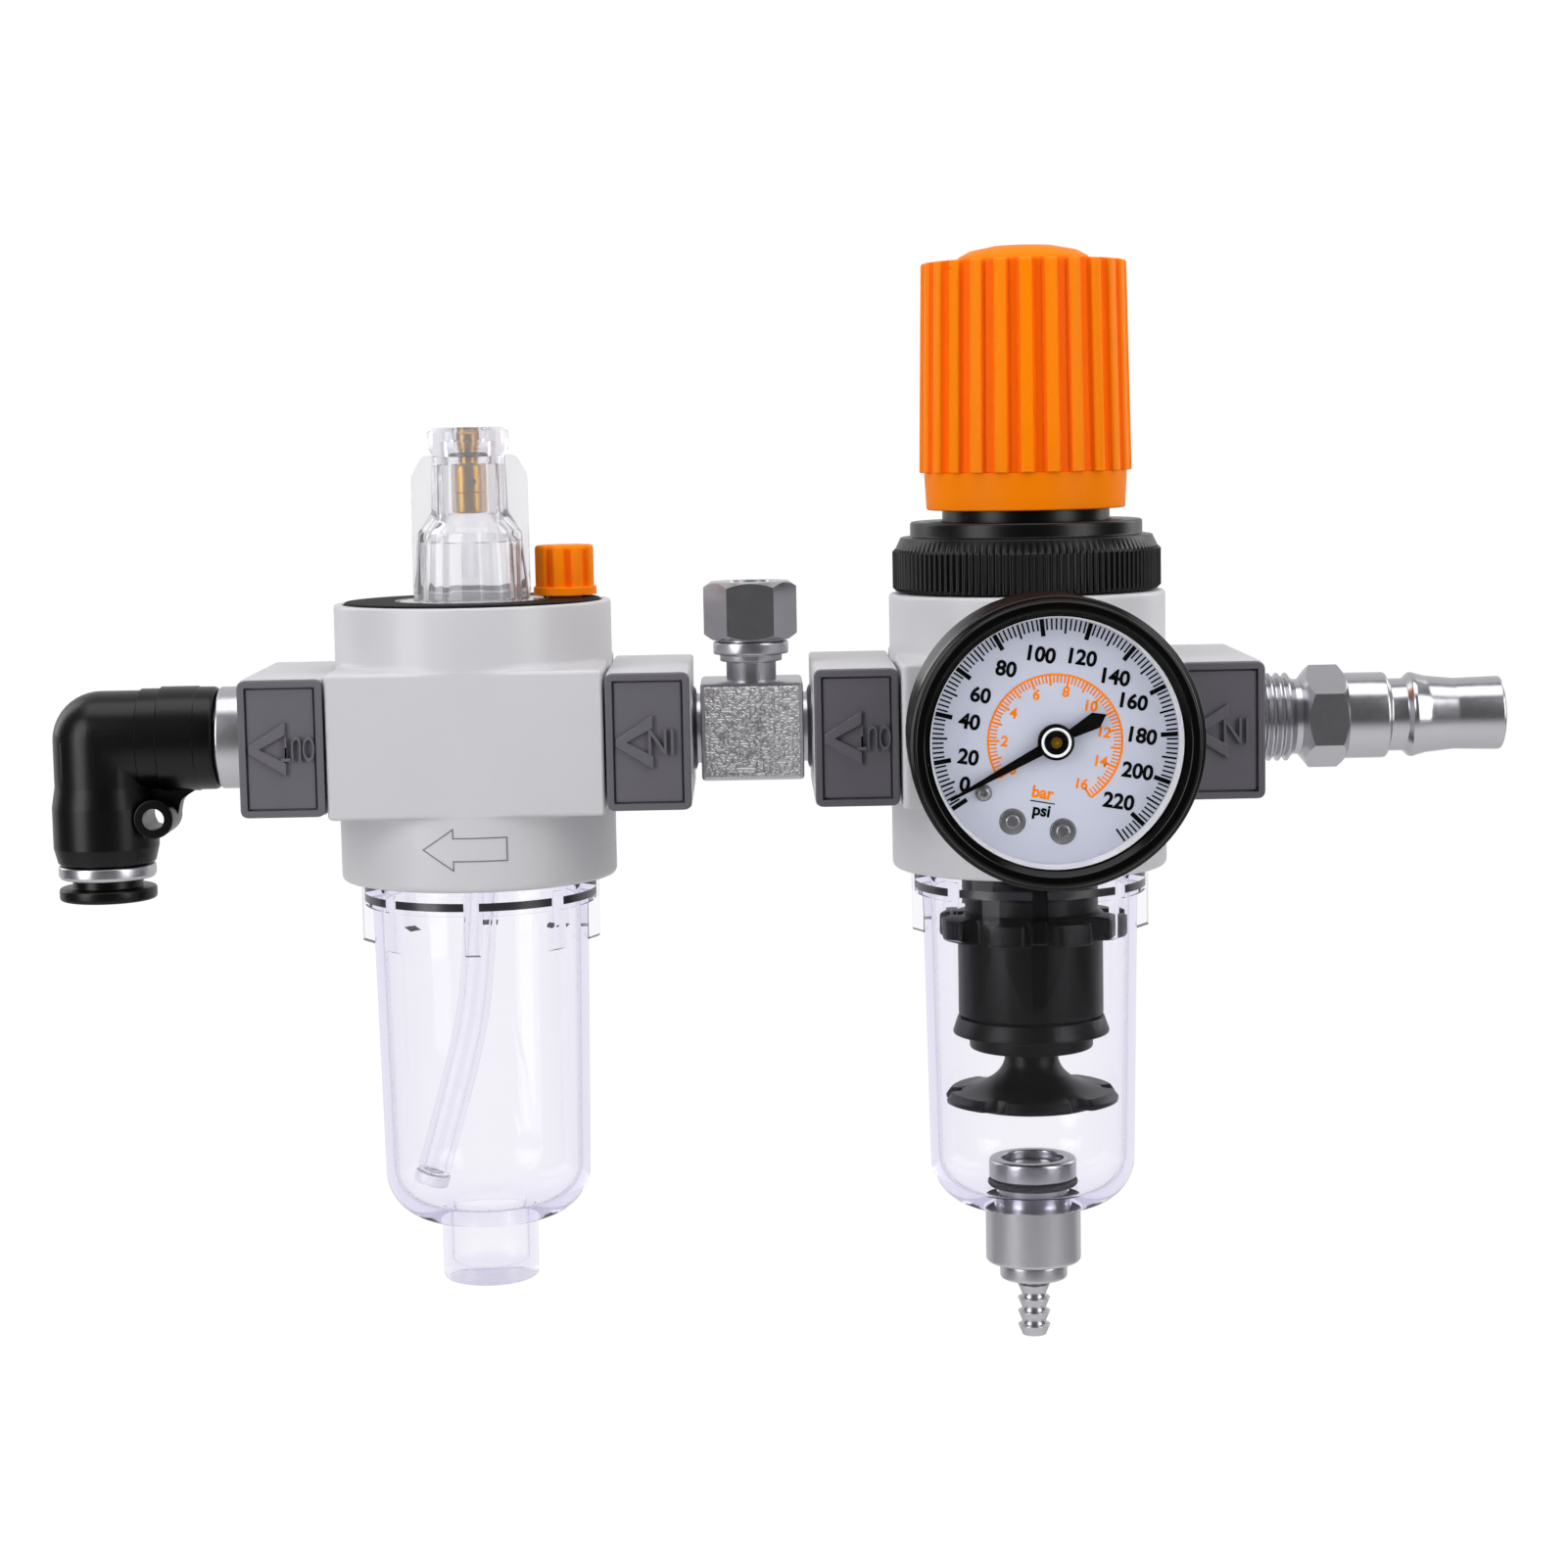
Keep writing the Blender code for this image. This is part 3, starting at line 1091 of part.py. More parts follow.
def gauge_housing():
    """Stem with its socket block, case, bezel and lens; heights run forward along -Y."""
    place = {"parent": GAUGE, "axis": "-Y"}
    thread_end = BLOCK_HALF_DEPTH - GAUGE_PORT_DEPTH + SEAM
    hex_back = BLOCK_HALF_DEPTH + SEAM
    thread_top = hex_back + OVERLAP
    stem = rod(
        "gauge_stem", GAUGE_STEM_THREAD_RADIUS, thread_end, thread_top, "brass", sides=SIDES_SMALL, **place
    )
    hex_nut = prism(
        "stem_hex", hexagon(GAUGE_STEM_HEX_ACROSS), hex_back, GAUGE_CASE_BACK - SEAM, "brass", **place
    )
    neck = rod(
        "stem_neck",
        GAUGE_NECK_RADIUS,
        GAUGE_CASE_BACK - SEAM - OVERLAP,
        GAUGE_PLATE_FOOT + OVERLAP,
        "brass",
        sides=SIDES_SMALL,
        **place,
    )
    plate = box(
        "stem_plate",
        (-GAUGE_PLATE_HALF_WIDTH, GAUGE_POST_FOOT + OVERLAP, GAUGE_PLATE_FOOT),
        (GAUGE_PLATE_HALF_WIDTH, GAUGE_PLATE_RISE, GAUGE_PLATE_TOP),
        "brass",
        **place,
    )
    post = box(
        "stem_post",
        (GAUGE_POST_LEFT, GAUGE_POST_FOOT, GAUGE_PLATE_TOP - OVERLAP),
        (GAUGE_POST_RIGHT, GAUGE_POST_TOP, GAUGE_DIAL_FOOT - SEAM),
        "brass",
        **place,
    )
    pivot = rod(
        "sector_post",
        SECTOR_POST_RADIUS,
        GAUGE_PLATE_TOP - OVERLAP,
        SECTOR_LEVEL + SECTOR_THICKNESS,
        "brass",
        sides=SIDES_TINY,
        parent=GAUGE,
        axis="-Y",
        at=(0, 0, SECTOR_PIVOT_RISE),
    )
    join(stem, hex_nut, neck, plate, post, pivot)
    neck_hole = GAUGE_NECK_RADIUS + SEAM
    outline = [
        (GAUGE_CASE_SPIGOT_RADIUS, GAUGE_CASE_RIM),
        (GAUGE_CASE_SPIGOT_RADIUS, GAUGE_CASE_FRONT),
        (GAUGE_CASE_RADIUS, GAUGE_CASE_FRONT),
        (GAUGE_CASE_RADIUS, GAUGE_CASE_BACK + GAUGE_CASE_EDGE),
        (GAUGE_CASE_RADIUS - GAUGE_CASE_EDGE, GAUGE_CASE_BACK),
        (neck_hole, GAUGE_CASE_BACK),
        (neck_hole, GAUGE_CASE_FLOOR),
        (GAUGE_CASE_BORE, GAUGE_CASE_FLOOR),
        (GAUGE_CASE_BORE, GAUGE_CASE_RIM),
    ]
    turned("gauge_case", outline, "black_plastic", SIDES_LARGE, **place)
    pocket = GAUGE_CASE_SPIGOT_RADIUS + SEAM
    back = GAUGE_FRONT - GAUGE_BEZEL_DEPTH
    lip_back = GAUGE_LENS_TOP + SEAM
    edge = (GAUGE_FRONT - lip_back) / 2
    outline = [
        (GAUGE_BEZEL_RADIUS - edge, GAUGE_FRONT),
        (GAUGE_BEZEL_RADIUS, GAUGE_FRONT - edge),
        (GAUGE_BEZEL_RADIUS, back),
        (pocket, back),
        (pocket, lip_back),
        (GAUGE_OPENING_RADIUS, lip_back),
        (GAUGE_OPENING_RADIUS, GAUGE_FRONT - edge),
        (GAUGE_OPENING_RADIUS + edge, GAUGE_FRONT),
    ]
    turned("gauge_bezel", outline, "black_plastic", SIDES_LARGE, **place)
    rod(
        "gauge_lens",
        GAUGE_CASE_SPIGOT_RADIUS,
        GAUGE_LENS_FOOT,
        GAUGE_LENS_TOP,
        "glass",
        sides=SIDES_LARGE,
        **place,
    )


def gauge_face():
    """Dial, its screws and stop pin, needle and arbor, seen from the front with X right and Z up."""
    place = {"parent": GAUGE, "axis": "-Y"}
    arbor_hole = GAUGE_ARBOR_RADIUS + RUN
    dial = ring(
        "gauge_dial",
        GAUGE_CASE_BORE - SEAM,
        arbor_hole,
        GAUGE_DIAL_FOOT,
        GAUGE_DIAL_TOP,
        "dial_paint",
        sides=SIDES_LARGE,
        **place,
    )
    head_foot = GAUGE_DIAL_TOP + SEAM
    for side, angle in zip(("left", "right"), DIAL_SCREW_ANGLES):
        x, z = polar(DIAL_SCREW_REACH, angle)
        spot = {"parent": GAUGE, "axis": "-Y", "at": (x, 0, z)}
        outline = [
            (0, head_foot + DIAL_SCREW_HEIGHT),
            (DIAL_SCREW_RADIUS, head_foot + DIAL_SCREW_HEIGHT),
            (DIAL_SCREW_RADIUS, head_foot),
            (DIAL_SCREW_SHANK_RADIUS, head_foot),
            (DIAL_SCREW_SHANK_RADIUS, GAUGE_DIAL_FOOT),
            (0, GAUGE_DIAL_FOOT),
        ]
        turned(f"dial_screw_{side}", outline, "steel", SIDES_TINY, **spot)
        hole = rod(
            f"dial_hole_{side}",
            DIAL_SCREW_SHANK_RADIUS + SEAM,
            GAUGE_DIAL_FOOT - OVERLAP,
            GAUGE_DIAL_TOP + OVERLAP,
            "dial_paint",
            sides=SIDES_TINY,
            **spot,
        )
        cut(dial, hole)
    aside = NEEDLE_ROOT_WIDTH / 2 + STOP_PIN_RADIUS + RUN
    x, z = polar(STOP_PIN_REACH, GAUGE_ZERO_ANGLE + aside / STOP_PIN_REACH)
    rod(
        "needle_stop_pin",
        STOP_PIN_RADIUS,
        head_foot,
        head_foot + STOP_PIN_HEIGHT,
        "steel",
        sides=SIDES_TINY,
        parent=GAUGE,
        axis="-Y",
        at=(x, 0, z),
    )
    outline = [
        (NEEDLE_LENGTH, -NEEDLE_TIP_WIDTH / 2),
        (NEEDLE_LENGTH, NEEDLE_TIP_WIDTH / 2),
        (0, NEEDLE_ROOT_WIDTH / 2),
        (-NEEDLE_TAIL_NECK_REACH, NEEDLE_TAIL_NECK_WIDTH / 2),
        (-NEEDLE_TAIL_SHOULDER_REACH, NEEDLE_TAIL_WIDTH / 2),
        (-NEEDLE_TAIL_LENGTH, 0),
        (-NEEDLE_TAIL_SHOULDER_REACH, -NEEDLE_TAIL_WIDTH / 2),
        (-NEEDLE_TAIL_NECK_REACH, -NEEDLE_TAIL_NECK_WIDTH / 2),
        (0, -NEEDLE_ROOT_WIDTH / 2),
    ]
    turn = Matrix.Rotation(GAUGE_ZERO_ANGLE, 2)
    outline = [tuple(turn @ Vector(point)) for point in outline]
    needle_top = NEEDLE_FOOT + NEEDLE_THICKNESS
    needle = prism("gauge_needle", outline, NEEDLE_FOOT, needle_top, "black_plastic", **place)
    hub = rod(
        "needle_hub", GAUGE_HUB_RADIUS, NEEDLE_FOOT, HUB_TOP, "black_plastic", sides=SIDES_SMALL, **place
    )
    hub_hole = rod(
        "needle_hub_hole",
        arbor_hole,
        NEEDLE_FOOT - OVERLAP,
        HUB_TOP + OVERLAP,
        "black_plastic",
        sides=SIDES_TINY,
        **place,
    )
    join(needle, hub)
    cut(needle, hub_hole)
    pinion_foot = SECTOR_LEVEL + SECTOR_THICKNESS / 2 - PINION_LENGTH / 2
    outline = [
        (0, HUB_TOP),
        (GAUGE_ARBOR_RADIUS, HUB_TOP),
        (GAUGE_ARBOR_RADIUS, pinion_foot + PINION_LENGTH),
        (PINION_RADIUS, pinion_foot + PINION_LENGTH),
        (PINION_RADIUS, pinion_foot),
        (GAUGE_ARBOR_RADIUS, pinion_foot),
        (GAUGE_ARBOR_RADIUS, GAUGE_PLATE_TOP + RUN),
        (0, GAUGE_PLATE_TOP + RUN),
    ]
    turned("gauge_arbor", outline, "brass", SIDES_TINY, **place)


def gauge_movement():
    bends = np.linspace(BOURDON_START, BOURDON_END, BOURDON_POINTS)
    track = [polar(BOURDON_RADIUS, angle) for angle in bends]
    points = [(x, -BOURDON_LEVEL, z) for x, z in track]
    tube_object("bourdon_tube", points, BOURDON_TUBE_RADIUS, "brass", parent=GAUGE)
    reach = SECTOR_PIVOT_RISE - PINION_RADIUS - RUN
    middle = -math.pi / 2 - SECTOR_LEAN
    angles = np.linspace(middle - SECTOR_SPREAD / 2, middle + SECTOR_SPREAD / 2, SECTOR_POINTS)
    rim = [polar(reach, angle) for angle in angles]
    back = [polar(SECTOR_HUB_RADIUS, angle) for angle in np.linspace(0, math.pi, SECTOR_POINTS)]
    place = {"parent": GAUGE, "axis": "-Y", "at": (0, 0, SECTOR_PIVOT_RISE)}
    sector = prism("sector_gear", rim + back, SECTOR_LEVEL, SECTOR_LEVEL + SECTOR_THICKNESS, "brass", **place)
    hole = rod(
        "sector_hole",
        SECTOR_POST_RADIUS + RUN,
        SECTOR_LEVEL - OVERLAP,
        SECTOR_LEVEL + SECTOR_THICKNESS + OVERLAP,
        "brass",
        sides=SIDES_TINY,
        **place,
    )
    cut(sector, hole)


def port_plate(unit_name, unit, side, way):
    """Block on one side of a body (way is +1 or -1 along X) and the dark cover over its front."""
    name = f"{unit_name}_{side}"
    front = COVER_FRONT + COVER_THICKNESS + SEAM
    spans = sorted((way * PLATE_INNER, way * PLATE_OUTER))
    plate = box(
        f"{name}_port_plate",
        (spans[0], front, -PLATE_HALF_HEIGHT),
        (spans[1], PLATE_BACK, PLATE_HALF_HEIGHT),
        "cast_grey",
        parent=unit,
    )
    axis = "X" if way > 0 else "-X"
    thread_end = PLATE_OUTER - PORT_THREAD_DEPTH
    flow = rod(
        f"{name}_flow",
        FLOW_BORE_RADIUS,
        PLATE_INNER - OVERLAP,
        thread_end + OVERLAP,
        "cast_grey",
        sides=SIDES_SMALL,
        parent=unit,
        axis=axis,
    )
    thread = rod(
        f"{name}_thread",
        PORT_BORE_RADIUS,
        thread_end,
        PLATE_OUTER + OVERLAP,
        "cast_grey",
        sides=SIDES_MEDIUM,
        parent=unit,
        axis=axis,
    )
    cut(plate, flow, thread)
    cover = box(
        f"{name}_port_cover",
        (spans[0], COVER_FRONT, -PLATE_HALF_HEIGHT),
        (spans[1], COVER_FRONT + COVER_THICKNESS, PLATE_HALF_HEIGHT),
        "cover_grey",
        parent=unit,
    )
    panel = box(
        f"{name}_cover_panel",
        (spans[0] + COVER_RIM, COVER_FRONT - OVERLAP, -PLATE_HALF_HEIGHT + COVER_RIM),
        (spans[1] - COVER_RIM, COVER_FRONT + COVER_PANEL_DEPTH, PLATE_HALF_HEIGHT - COVER_RIM),
        "cover_grey",
        parent=unit,
    )
    cut(cover, panel)


def chamfered_hexagon(name, across, low, high, edge, finish, **place):
    """Hexagon prism whose corners are turned down by this height at both ends."""
    corner = across / math.sqrt(3)
    fall = corner - across / 2
    prism_part = prism(name, hexagon(across), low, high, finish, **place)
    cone = turned(
        f"{name}_turning",
        [
            (0, high + OVERLAP),
            (corner - fall - OVERLAP * fall / edge, high + OVERLAP),
            (corner + OVERLAP, high - edge - OVERLAP * edge / fall),
            (corner + OVERLAP, low + edge + OVERLAP * edge / fall),
            (corner - fall - OVERLAP * fall / edge, low - OVERLAP),
            (0, low - OVERLAP),
        ],
        finish,
        **place,
    )
    combine(prism_part, cone, "INTERSECT")
    return prism_part


def tee():
    half = Vector((TEE_WIDTH / 2, TEE_DEPTH / 2, TEE_HEIGHT / 2))
    block = box("tee_block", -half, half, "nickel", parent=TEE)
    chamfer(block, TEE_EDGE)
    plate_face = UNIT_PITCH / 2 - PLATE_OUTER
    thread_end = plate_face + PORT_THREAD_DEPTH - SEAM
    for axis in ("X", "-X"):
        thread = rod(
            f"tee_thread{axis}",
            PORT_THREAD_RADIUS,
            TEE_WIDTH / 2 - OVERLAP,
            thread_end,
            "nickel",
            parent=TEE,
            axis=axis,
        )
        join(block, thread)
    stem = turned(
        "tee_stem",
        [
            (0, TEE_MALE_TOP),
            (TEE_MALE_RADIUS, TEE_MALE_TOP),
            (TEE_MALE_RADIUS, TEE_COLLAR_TOP),
            (TEE_COLLAR_RADIUS, TEE_COLLAR_TOP),
            (TEE_COLLAR_RADIUS, TEE_COLLAR_FOOT),
            (TEE_RELIEF_RADIUS, TEE_COLLAR_FOOT),
            (TEE_RELIEF_RADIUS, TEE_RELIEF_FOOT),
            (TEE_STEM_RADIUS, TEE_RELIEF_FOOT),
            (TEE_STEM_RADIUS, TEE_TOP - OVERLAP),
            (0, TEE_TOP - OVERLAP),
        ],
        "nickel",
        SIDES_SMALL,
        parent=TEE,
    )
    join(block, stem)
    reach = thread_end + OVERLAP
    small = {"sides": SIDES_SMALL, "parent": TEE}
    through = rod("tee_bore", FLOW_BORE_RADIUS, -reach, reach, "nickel", axis="X", **small)
    rise = rod("tee_rise", TEE_BORE_RADIUS, 0, TEE_MALE_TOP + OVERLAP, "nickel", **small)
    cut(block, through, rise)
    nut = chamfered_hexagon(
        "tee_nut", TEE_NUT_ACROSS, TEE_NUT_FOOT, TEE_NUT_TOP, TEE_NUT_CHAMFER, "nickel", parent=TEE
    )
    roof = TEE_NUT_TOP - TEE_NUT_ROOF
    low, high = TEE_NUT_FOOT - OVERLAP, TEE_NUT_TOP + OVERLAP
    thread_bore = rod("tee_nut_thread", TEE_MALE_RADIUS + RUN, low, roof, "nickel", **small)
    mouth = rod("tee_nut_mouth", TEE_NUT_HOLE_RADIUS, roof - OVERLAP, high, "nickel", **small)
    cut(nut, thread_bore, mouth)
    ring(
        "tee_ferrule",
        TEE_MALE_RADIUS,
        FERRULE_BORE_RADIUS,
        TEE_MALE_TOP + RUN,
        roof - RUN,
        "brass",
        **small,
    )


def lubricator_body():
    body = unit_body("lubricator_body", LUBRICATOR)
    reach = BLOCK_HALF_WIDTH + OVERLAP
    spigot_hole = DOME_SPIGOT_RADIUS + SEAM
    oil_roof = SOCKET_ROOF + OIL_TUBE_SOCKET_DEPTH

    def bore(name, radius, low, high, sides=SIDES_SMALL, **place):
        return rod(f"oil_{name}", radius, low, high, "cast_grey", sides=sides, parent=LUBRICATOR, **place)

    cut(
        body,
        bore("recess", TOP_RECESS_RADIUS, TOP_RECESS_FLOOR, BODY_TOP + OVERLAP, sides=SIDES_LARGE),
        bore("dome_socket", spigot_hole, DOME_SPIGOT_FOOT - SEAM, TOP_RECESS_FLOOR + OVERLAP, SIDES_MEDIUM),
        bore("flow", FLOW_BORE_RADIUS, -reach, reach, axis="X"),
        bore("drip_hole", DRIP_TUBE_RADIUS + RUN, 0, DOME_SPIGOT_FOOT, sides=SIDES_TINY),
        bore("tube_socket", OIL_TUBE_RADIUS + SEAM, SOCKET_ROOF - OVERLAP, oil_roof, sides=SIDES_TINY),
        bore(
            "fill_hole",
            FILL_THREAD_RADIUS + RUN,
            FILL_FLANGE_FOOT - FILL_THREAD_LENGTH - RUN,
            TOP_RECESS_FLOOR + OVERLAP,
            at=(*FILL_OFFSET, 0),
        ),
    )


def lubricator_top():
    plate = ring(
        "lubricator_top_plate",
        TOP_RECESS_RADIUS - SEAM,
        TOP_PLATE_HOLE,
        TOP_PLATE_FOOT,
        TOP_PLATE_TOP,
        "cover_grey",
        sides=SIDES_LARGE,
        parent=LUBRICATOR,
    )
    hole = rod(
        "plate_fill_hole",
        FILL_THREAD_RADIUS + RUN,
        TOP_PLATE_FOOT - OVERLAP,
        TOP_PLATE_TOP + OVERLAP,
        "cover_grey",
        sides=SIDES_SMALL,
        parent=LUBRICATOR,
        at=(*FILL_OFFSET, 0),
    )
    cut(plate, hole)


def sight_dome():
    outline = [
        (0, DOME_APEX),
        (DOME_UPPER_RADIUS - DOME_EDGE, DOME_APEX),
        (DOME_UPPER_RADIUS, DOME_APEX - DOME_EDGE),
        (DOME_UPPER_RADIUS, DOME_NECK_TOP),
        (DOME_BASE_TOP_RADIUS, DOME_BASE_TOP),
        (DOME_BASE_RADIUS, DOME_FLANGE_TOP),
        (DOME_FLANGE_RADIUS, DOME_FLANGE_TOP),
        (DOME_FLANGE_RADIUS, TOP_PLATE_FOOT),
        (DOME_SPIGOT_RADIUS, TOP_PLATE_FOOT),
        (DOME_SPIGOT_RADIUS, DOME_SPIGOT_FOOT),
        (0, DOME_SPIGOT_FOOT),
    ]
    dome = turned("sight_dome", outline, "clear_plastic", parent=LUBRICATOR)
    wings = box(
        "dome_wings",
        (-DOME_WING_REACH, -DOME_WING_THICKNESS / 2, DOME_FLANGE_TOP - OVERLAP),
        (DOME_WING_REACH, DOME_WING_THICKNESS / 2, DOME_WING_TOP),
        "clear_plastic",
        parent=LUBRICATOR,
    )
    join(dome, wings)
    seal_foot = DRIP_BARREL_TOP + OVERLAP
    seal_top = DRIP_RING_LEVEL + DRIP_RING_RADIUS + SEAM
    outline = [
        (0, DOME_APEX + OVERLAP),
        (DOME_TOP_BORE, DOME_APEX + OVERLAP),
        (DOME_TOP_BORE, seal_top),
        (DOME_SEAL_BORE, seal_top),
        (DOME_SEAL_BORE, seal_foot),
        (DOME_UPPER_BORE, seal_foot),
        (DOME_UPPER_BORE, DOME_NECK_TOP),
        (DOME_LOWER_BORE, DOME_BASE_TOP),
        (DOME_LOWER_BORE, DOME_SPIGOT_FOOT - OVERLAP),
        (0, DOME_SPIGOT_FOOT - OVERLAP),
    ]
    cut(dome, turned("dome_bore", outline, "clear_plastic", parent=LUBRICATOR))


def drip_feed():
    head_foot = DRIP_BARREL_TOP + DRIP_NECK_LENGTH
    head_top = head_foot + DRIP_HEAD_HEIGHT
    seat_top = DRIP_BARREL_FOOT + DRIP_TUBE_SEAT_DEPTH
    seat_radius = DRIP_TUBE_RADIUS + SEAM
    outline = [
        (0, head_top),
        (DRIP_HEAD_RADIUS, head_top),
        (DRIP_HEAD_RADIUS, head_foot),
        (DRIP_NECK_RADIUS, head_foot),
        (DRIP_NECK_RADIUS, DRIP_BARREL_TOP),
        (DRIP_BARREL_RADIUS, DRIP_BARREL_TOP),
        (DRIP_BARREL_RADIUS, DRIP_BARREL_FOOT),
        (seat_radius, DRIP_BARREL_FOOT),
        (seat_radius, seat_top),
        (0, seat_top),
    ]
    screw = turned("drip_screw", outline, "brass", SIDES_SMALL, parent=LUBRICATOR)
    half = DRIP_SLOT_WIDTH / 2
    slot = box(
        "drip_slot",
        (-half, -2 * DRIP_HEAD_RADIUS, head_top - DRIP_SLOT_DEPTH),
        (half, 2 * DRIP_HEAD_RADIUS, head_top + OVERLAP),
        "brass",
        parent=LUBRICATOR,
    )
    cut(screw, slot)
    tube_top = seat_top - SEAM
    rod(
        "drip_tube",
        DRIP_TUBE_RADIUS,
        tube_top - DRIP_TUBE_LENGTH,
        tube_top,
        "clear_plastic",
        sides=SIDES_TINY,
        parent=LUBRICATOR,
    )
    ring_radius = DRIP_NECK_RADIUS + SEAM + DRIP_RING_RADIUS
    o_ring(
        "drip_screw_o_ring", ring_radius, DRIP_RING_RADIUS, DRIP_RING_LEVEL, SIDES_SMALL, parent=LUBRICATOR
    )


def fill_plug():
    at = (*FILL_OFFSET, 0)
    outline = fluted_outline(FILL_FLUTE_COUNT, FILL_HEAD_RADIUS, FILL_FLUTE_DEPTH, FILL_FLUTE_SHARE)
    plug = prism(
        "fill_plug",
        outline,
        FILL_FLANGE_TOP - OVERLAP,
        FILL_FLANGE_TOP + FILL_HEAD_HEIGHT,
        "orange_plastic",
        parent=LUBRICATOR,
        at=at,
    )
    foot = FILL_FLANGE_FOOT - FILL_THREAD_LENGTH
    shank = turned(
        "fill_plug_shank",
        [
            (0, FILL_FLANGE_TOP),
            (FILL_FLANGE_RADIUS, FILL_FLANGE_TOP),
            (FILL_FLANGE_RADIUS, FILL_FLANGE_FOOT),
            (FILL_THREAD_RADIUS, FILL_FLANGE_FOOT),
            (FILL_THREAD_RADIUS, foot),
            (0, foot),
        ],
        "orange_plastic",
        SIDES_SMALL,
        parent=LUBRICATOR,
        at=at,
    )
    join(plug, shank)
    ring_radius = FILL_THREAD_RADIUS + SEAM + FILL_RING_RADIUS
    place = {"parent": LUBRICATOR, "at": at}
    o_ring("fill_plug_o_ring", ring_radius, FILL_RING_RADIUS, FILL_RING_LEVEL, SIDES_SMALL, **place)


def smooth_route(points, steps):
    """Catmull-Rom curve through the points, with this many steps between neighbours."""
    track = [Vector(point) for point in points]
    track = [2 * track[0] - track[1], *track, 2 * track[-1] - track[-2]]
    places = [track[1]]
    for before, start, end, after in zip(track, track[1:], track[2:], track[3:]):
        for step in range(1, steps + 1):
            t = step / steps
            bend = 2 * before - 5 * start + 4 * end - after
            twist = 3 * start - before - 3 * end + after
            places.append((2 * start + (end - before) * t + bend * t**2 + twist * t**3) / 2)
    return places


def oil_pickup():
    top = SOCKET_ROOF + OIL_TUBE_SOCKET_DEPTH - SEAM
    fall = SOCKET_ROOF - BOWL_FLOOR_LEVEL - OIL_TUBE_END_RISE
    bends = [(out * OIL_TUBE_REACH, 0, SOCKET_ROOF - down * fall) for out, down in OIL_TUBE_ROUTE]
    route = smooth_route([(0, 0, top), *bends], OIL_TUBE_STEPS)
    form = {"parent": LUBRICATOR, "resolution": 2}
    tube = tube_object("oil_tube", route, OIL_TUBE_RADIUS, "clear_plastic", **form)
    along = (route[-1] - route[-2]).normalized()
    bore_route = [route[0] + Vector((0, 0, OVERLAP)), *route[1:-1], route[-1] + OVERLAP * along]
    bore_radius = OIL_TUBE_RADIUS - OIL_TUBE_WALL
    bore = tube_object("oil_tube_bore", bore_route, bore_radius, "clear_plastic", **form)
    bpy.context.view_layer.update()
    graph = bpy.context.evaluated_depsgraph_get()
    for piece in (tube, bore):
        solid = bpy.data.meshes.new_from_object(piece.evaluated_get(graph))
        name, parent = piece.name, piece.parent
        bpy.data.objects.remove(piece, do_unlink=True)
        bm = bmesh.new()
        bm.from_mesh(solid)
        bmesh.ops.remove_doubles(bm, verts=bm.verts, dist=WELD)
        mesh_object(name, bm, "clear_plastic", parent=parent)
    cut(bpy.data.objects["oil_tube"], bpy.data.objects["oil_tube_bore"])
    strainer = ring(
        "oil_strainer",
        STRAINER_RADIUS,
        bore_radius,
        SEAM,
        SEAM + STRAINER_LENGTH,
        "steel",
        sides=SIDES_SMALL,
        parent=LUBRICATOR,
        at=route[-1],
    )
    strainer.rotation_euler.y = math.atan2(along.x, along.z)


def elbow_stud():
    thread_end = PLATE_OUTER - PORT_THREAD_DEPTH + SEAM
    shoulder = STUD_START + STUD_LENGTH
    outline = [
        (PORT_THREAD_RADIUS, thread_end),
        (PORT_THREAD_RADIUS, STUD_START),
        (STUD_RADIUS, STUD_START),
        (STUD_RADIUS, shoulder),
        (STUD_TAIL_RADIUS, shoulder),
        (STUD_TAIL_RADIUS, shoulder + STUD_TAIL_LENGTH),
        (ELBOW_TUBE_RADIUS, shoulder + STUD_TAIL_LENGTH),
        (ELBOW_TUBE_RADIUS, thread_end),
    ]
    turned("elbow_stud", outline, "nickel", parent=LUBRICATOR, axis="-X")


def elbow_leg_outline(length, cuff_start, foot_radius):
    """Half section of a leg whose thicker cuff starts at cuff_start and ends, slightly tapered, at length."""
    return [
        (0, 0),
        (ELBOW_CORE_RADIUS, 0),
        (ELBOW_CORE_RADIUS, cuff_start - ELBOW_CUFF_CONE),
        (ELBOW_RADIUS, cuff_start),
        (ELBOW_RADIUS, length - ELBOW_TAPER),
        (foot_radius, length),
        (0, length),
    ]


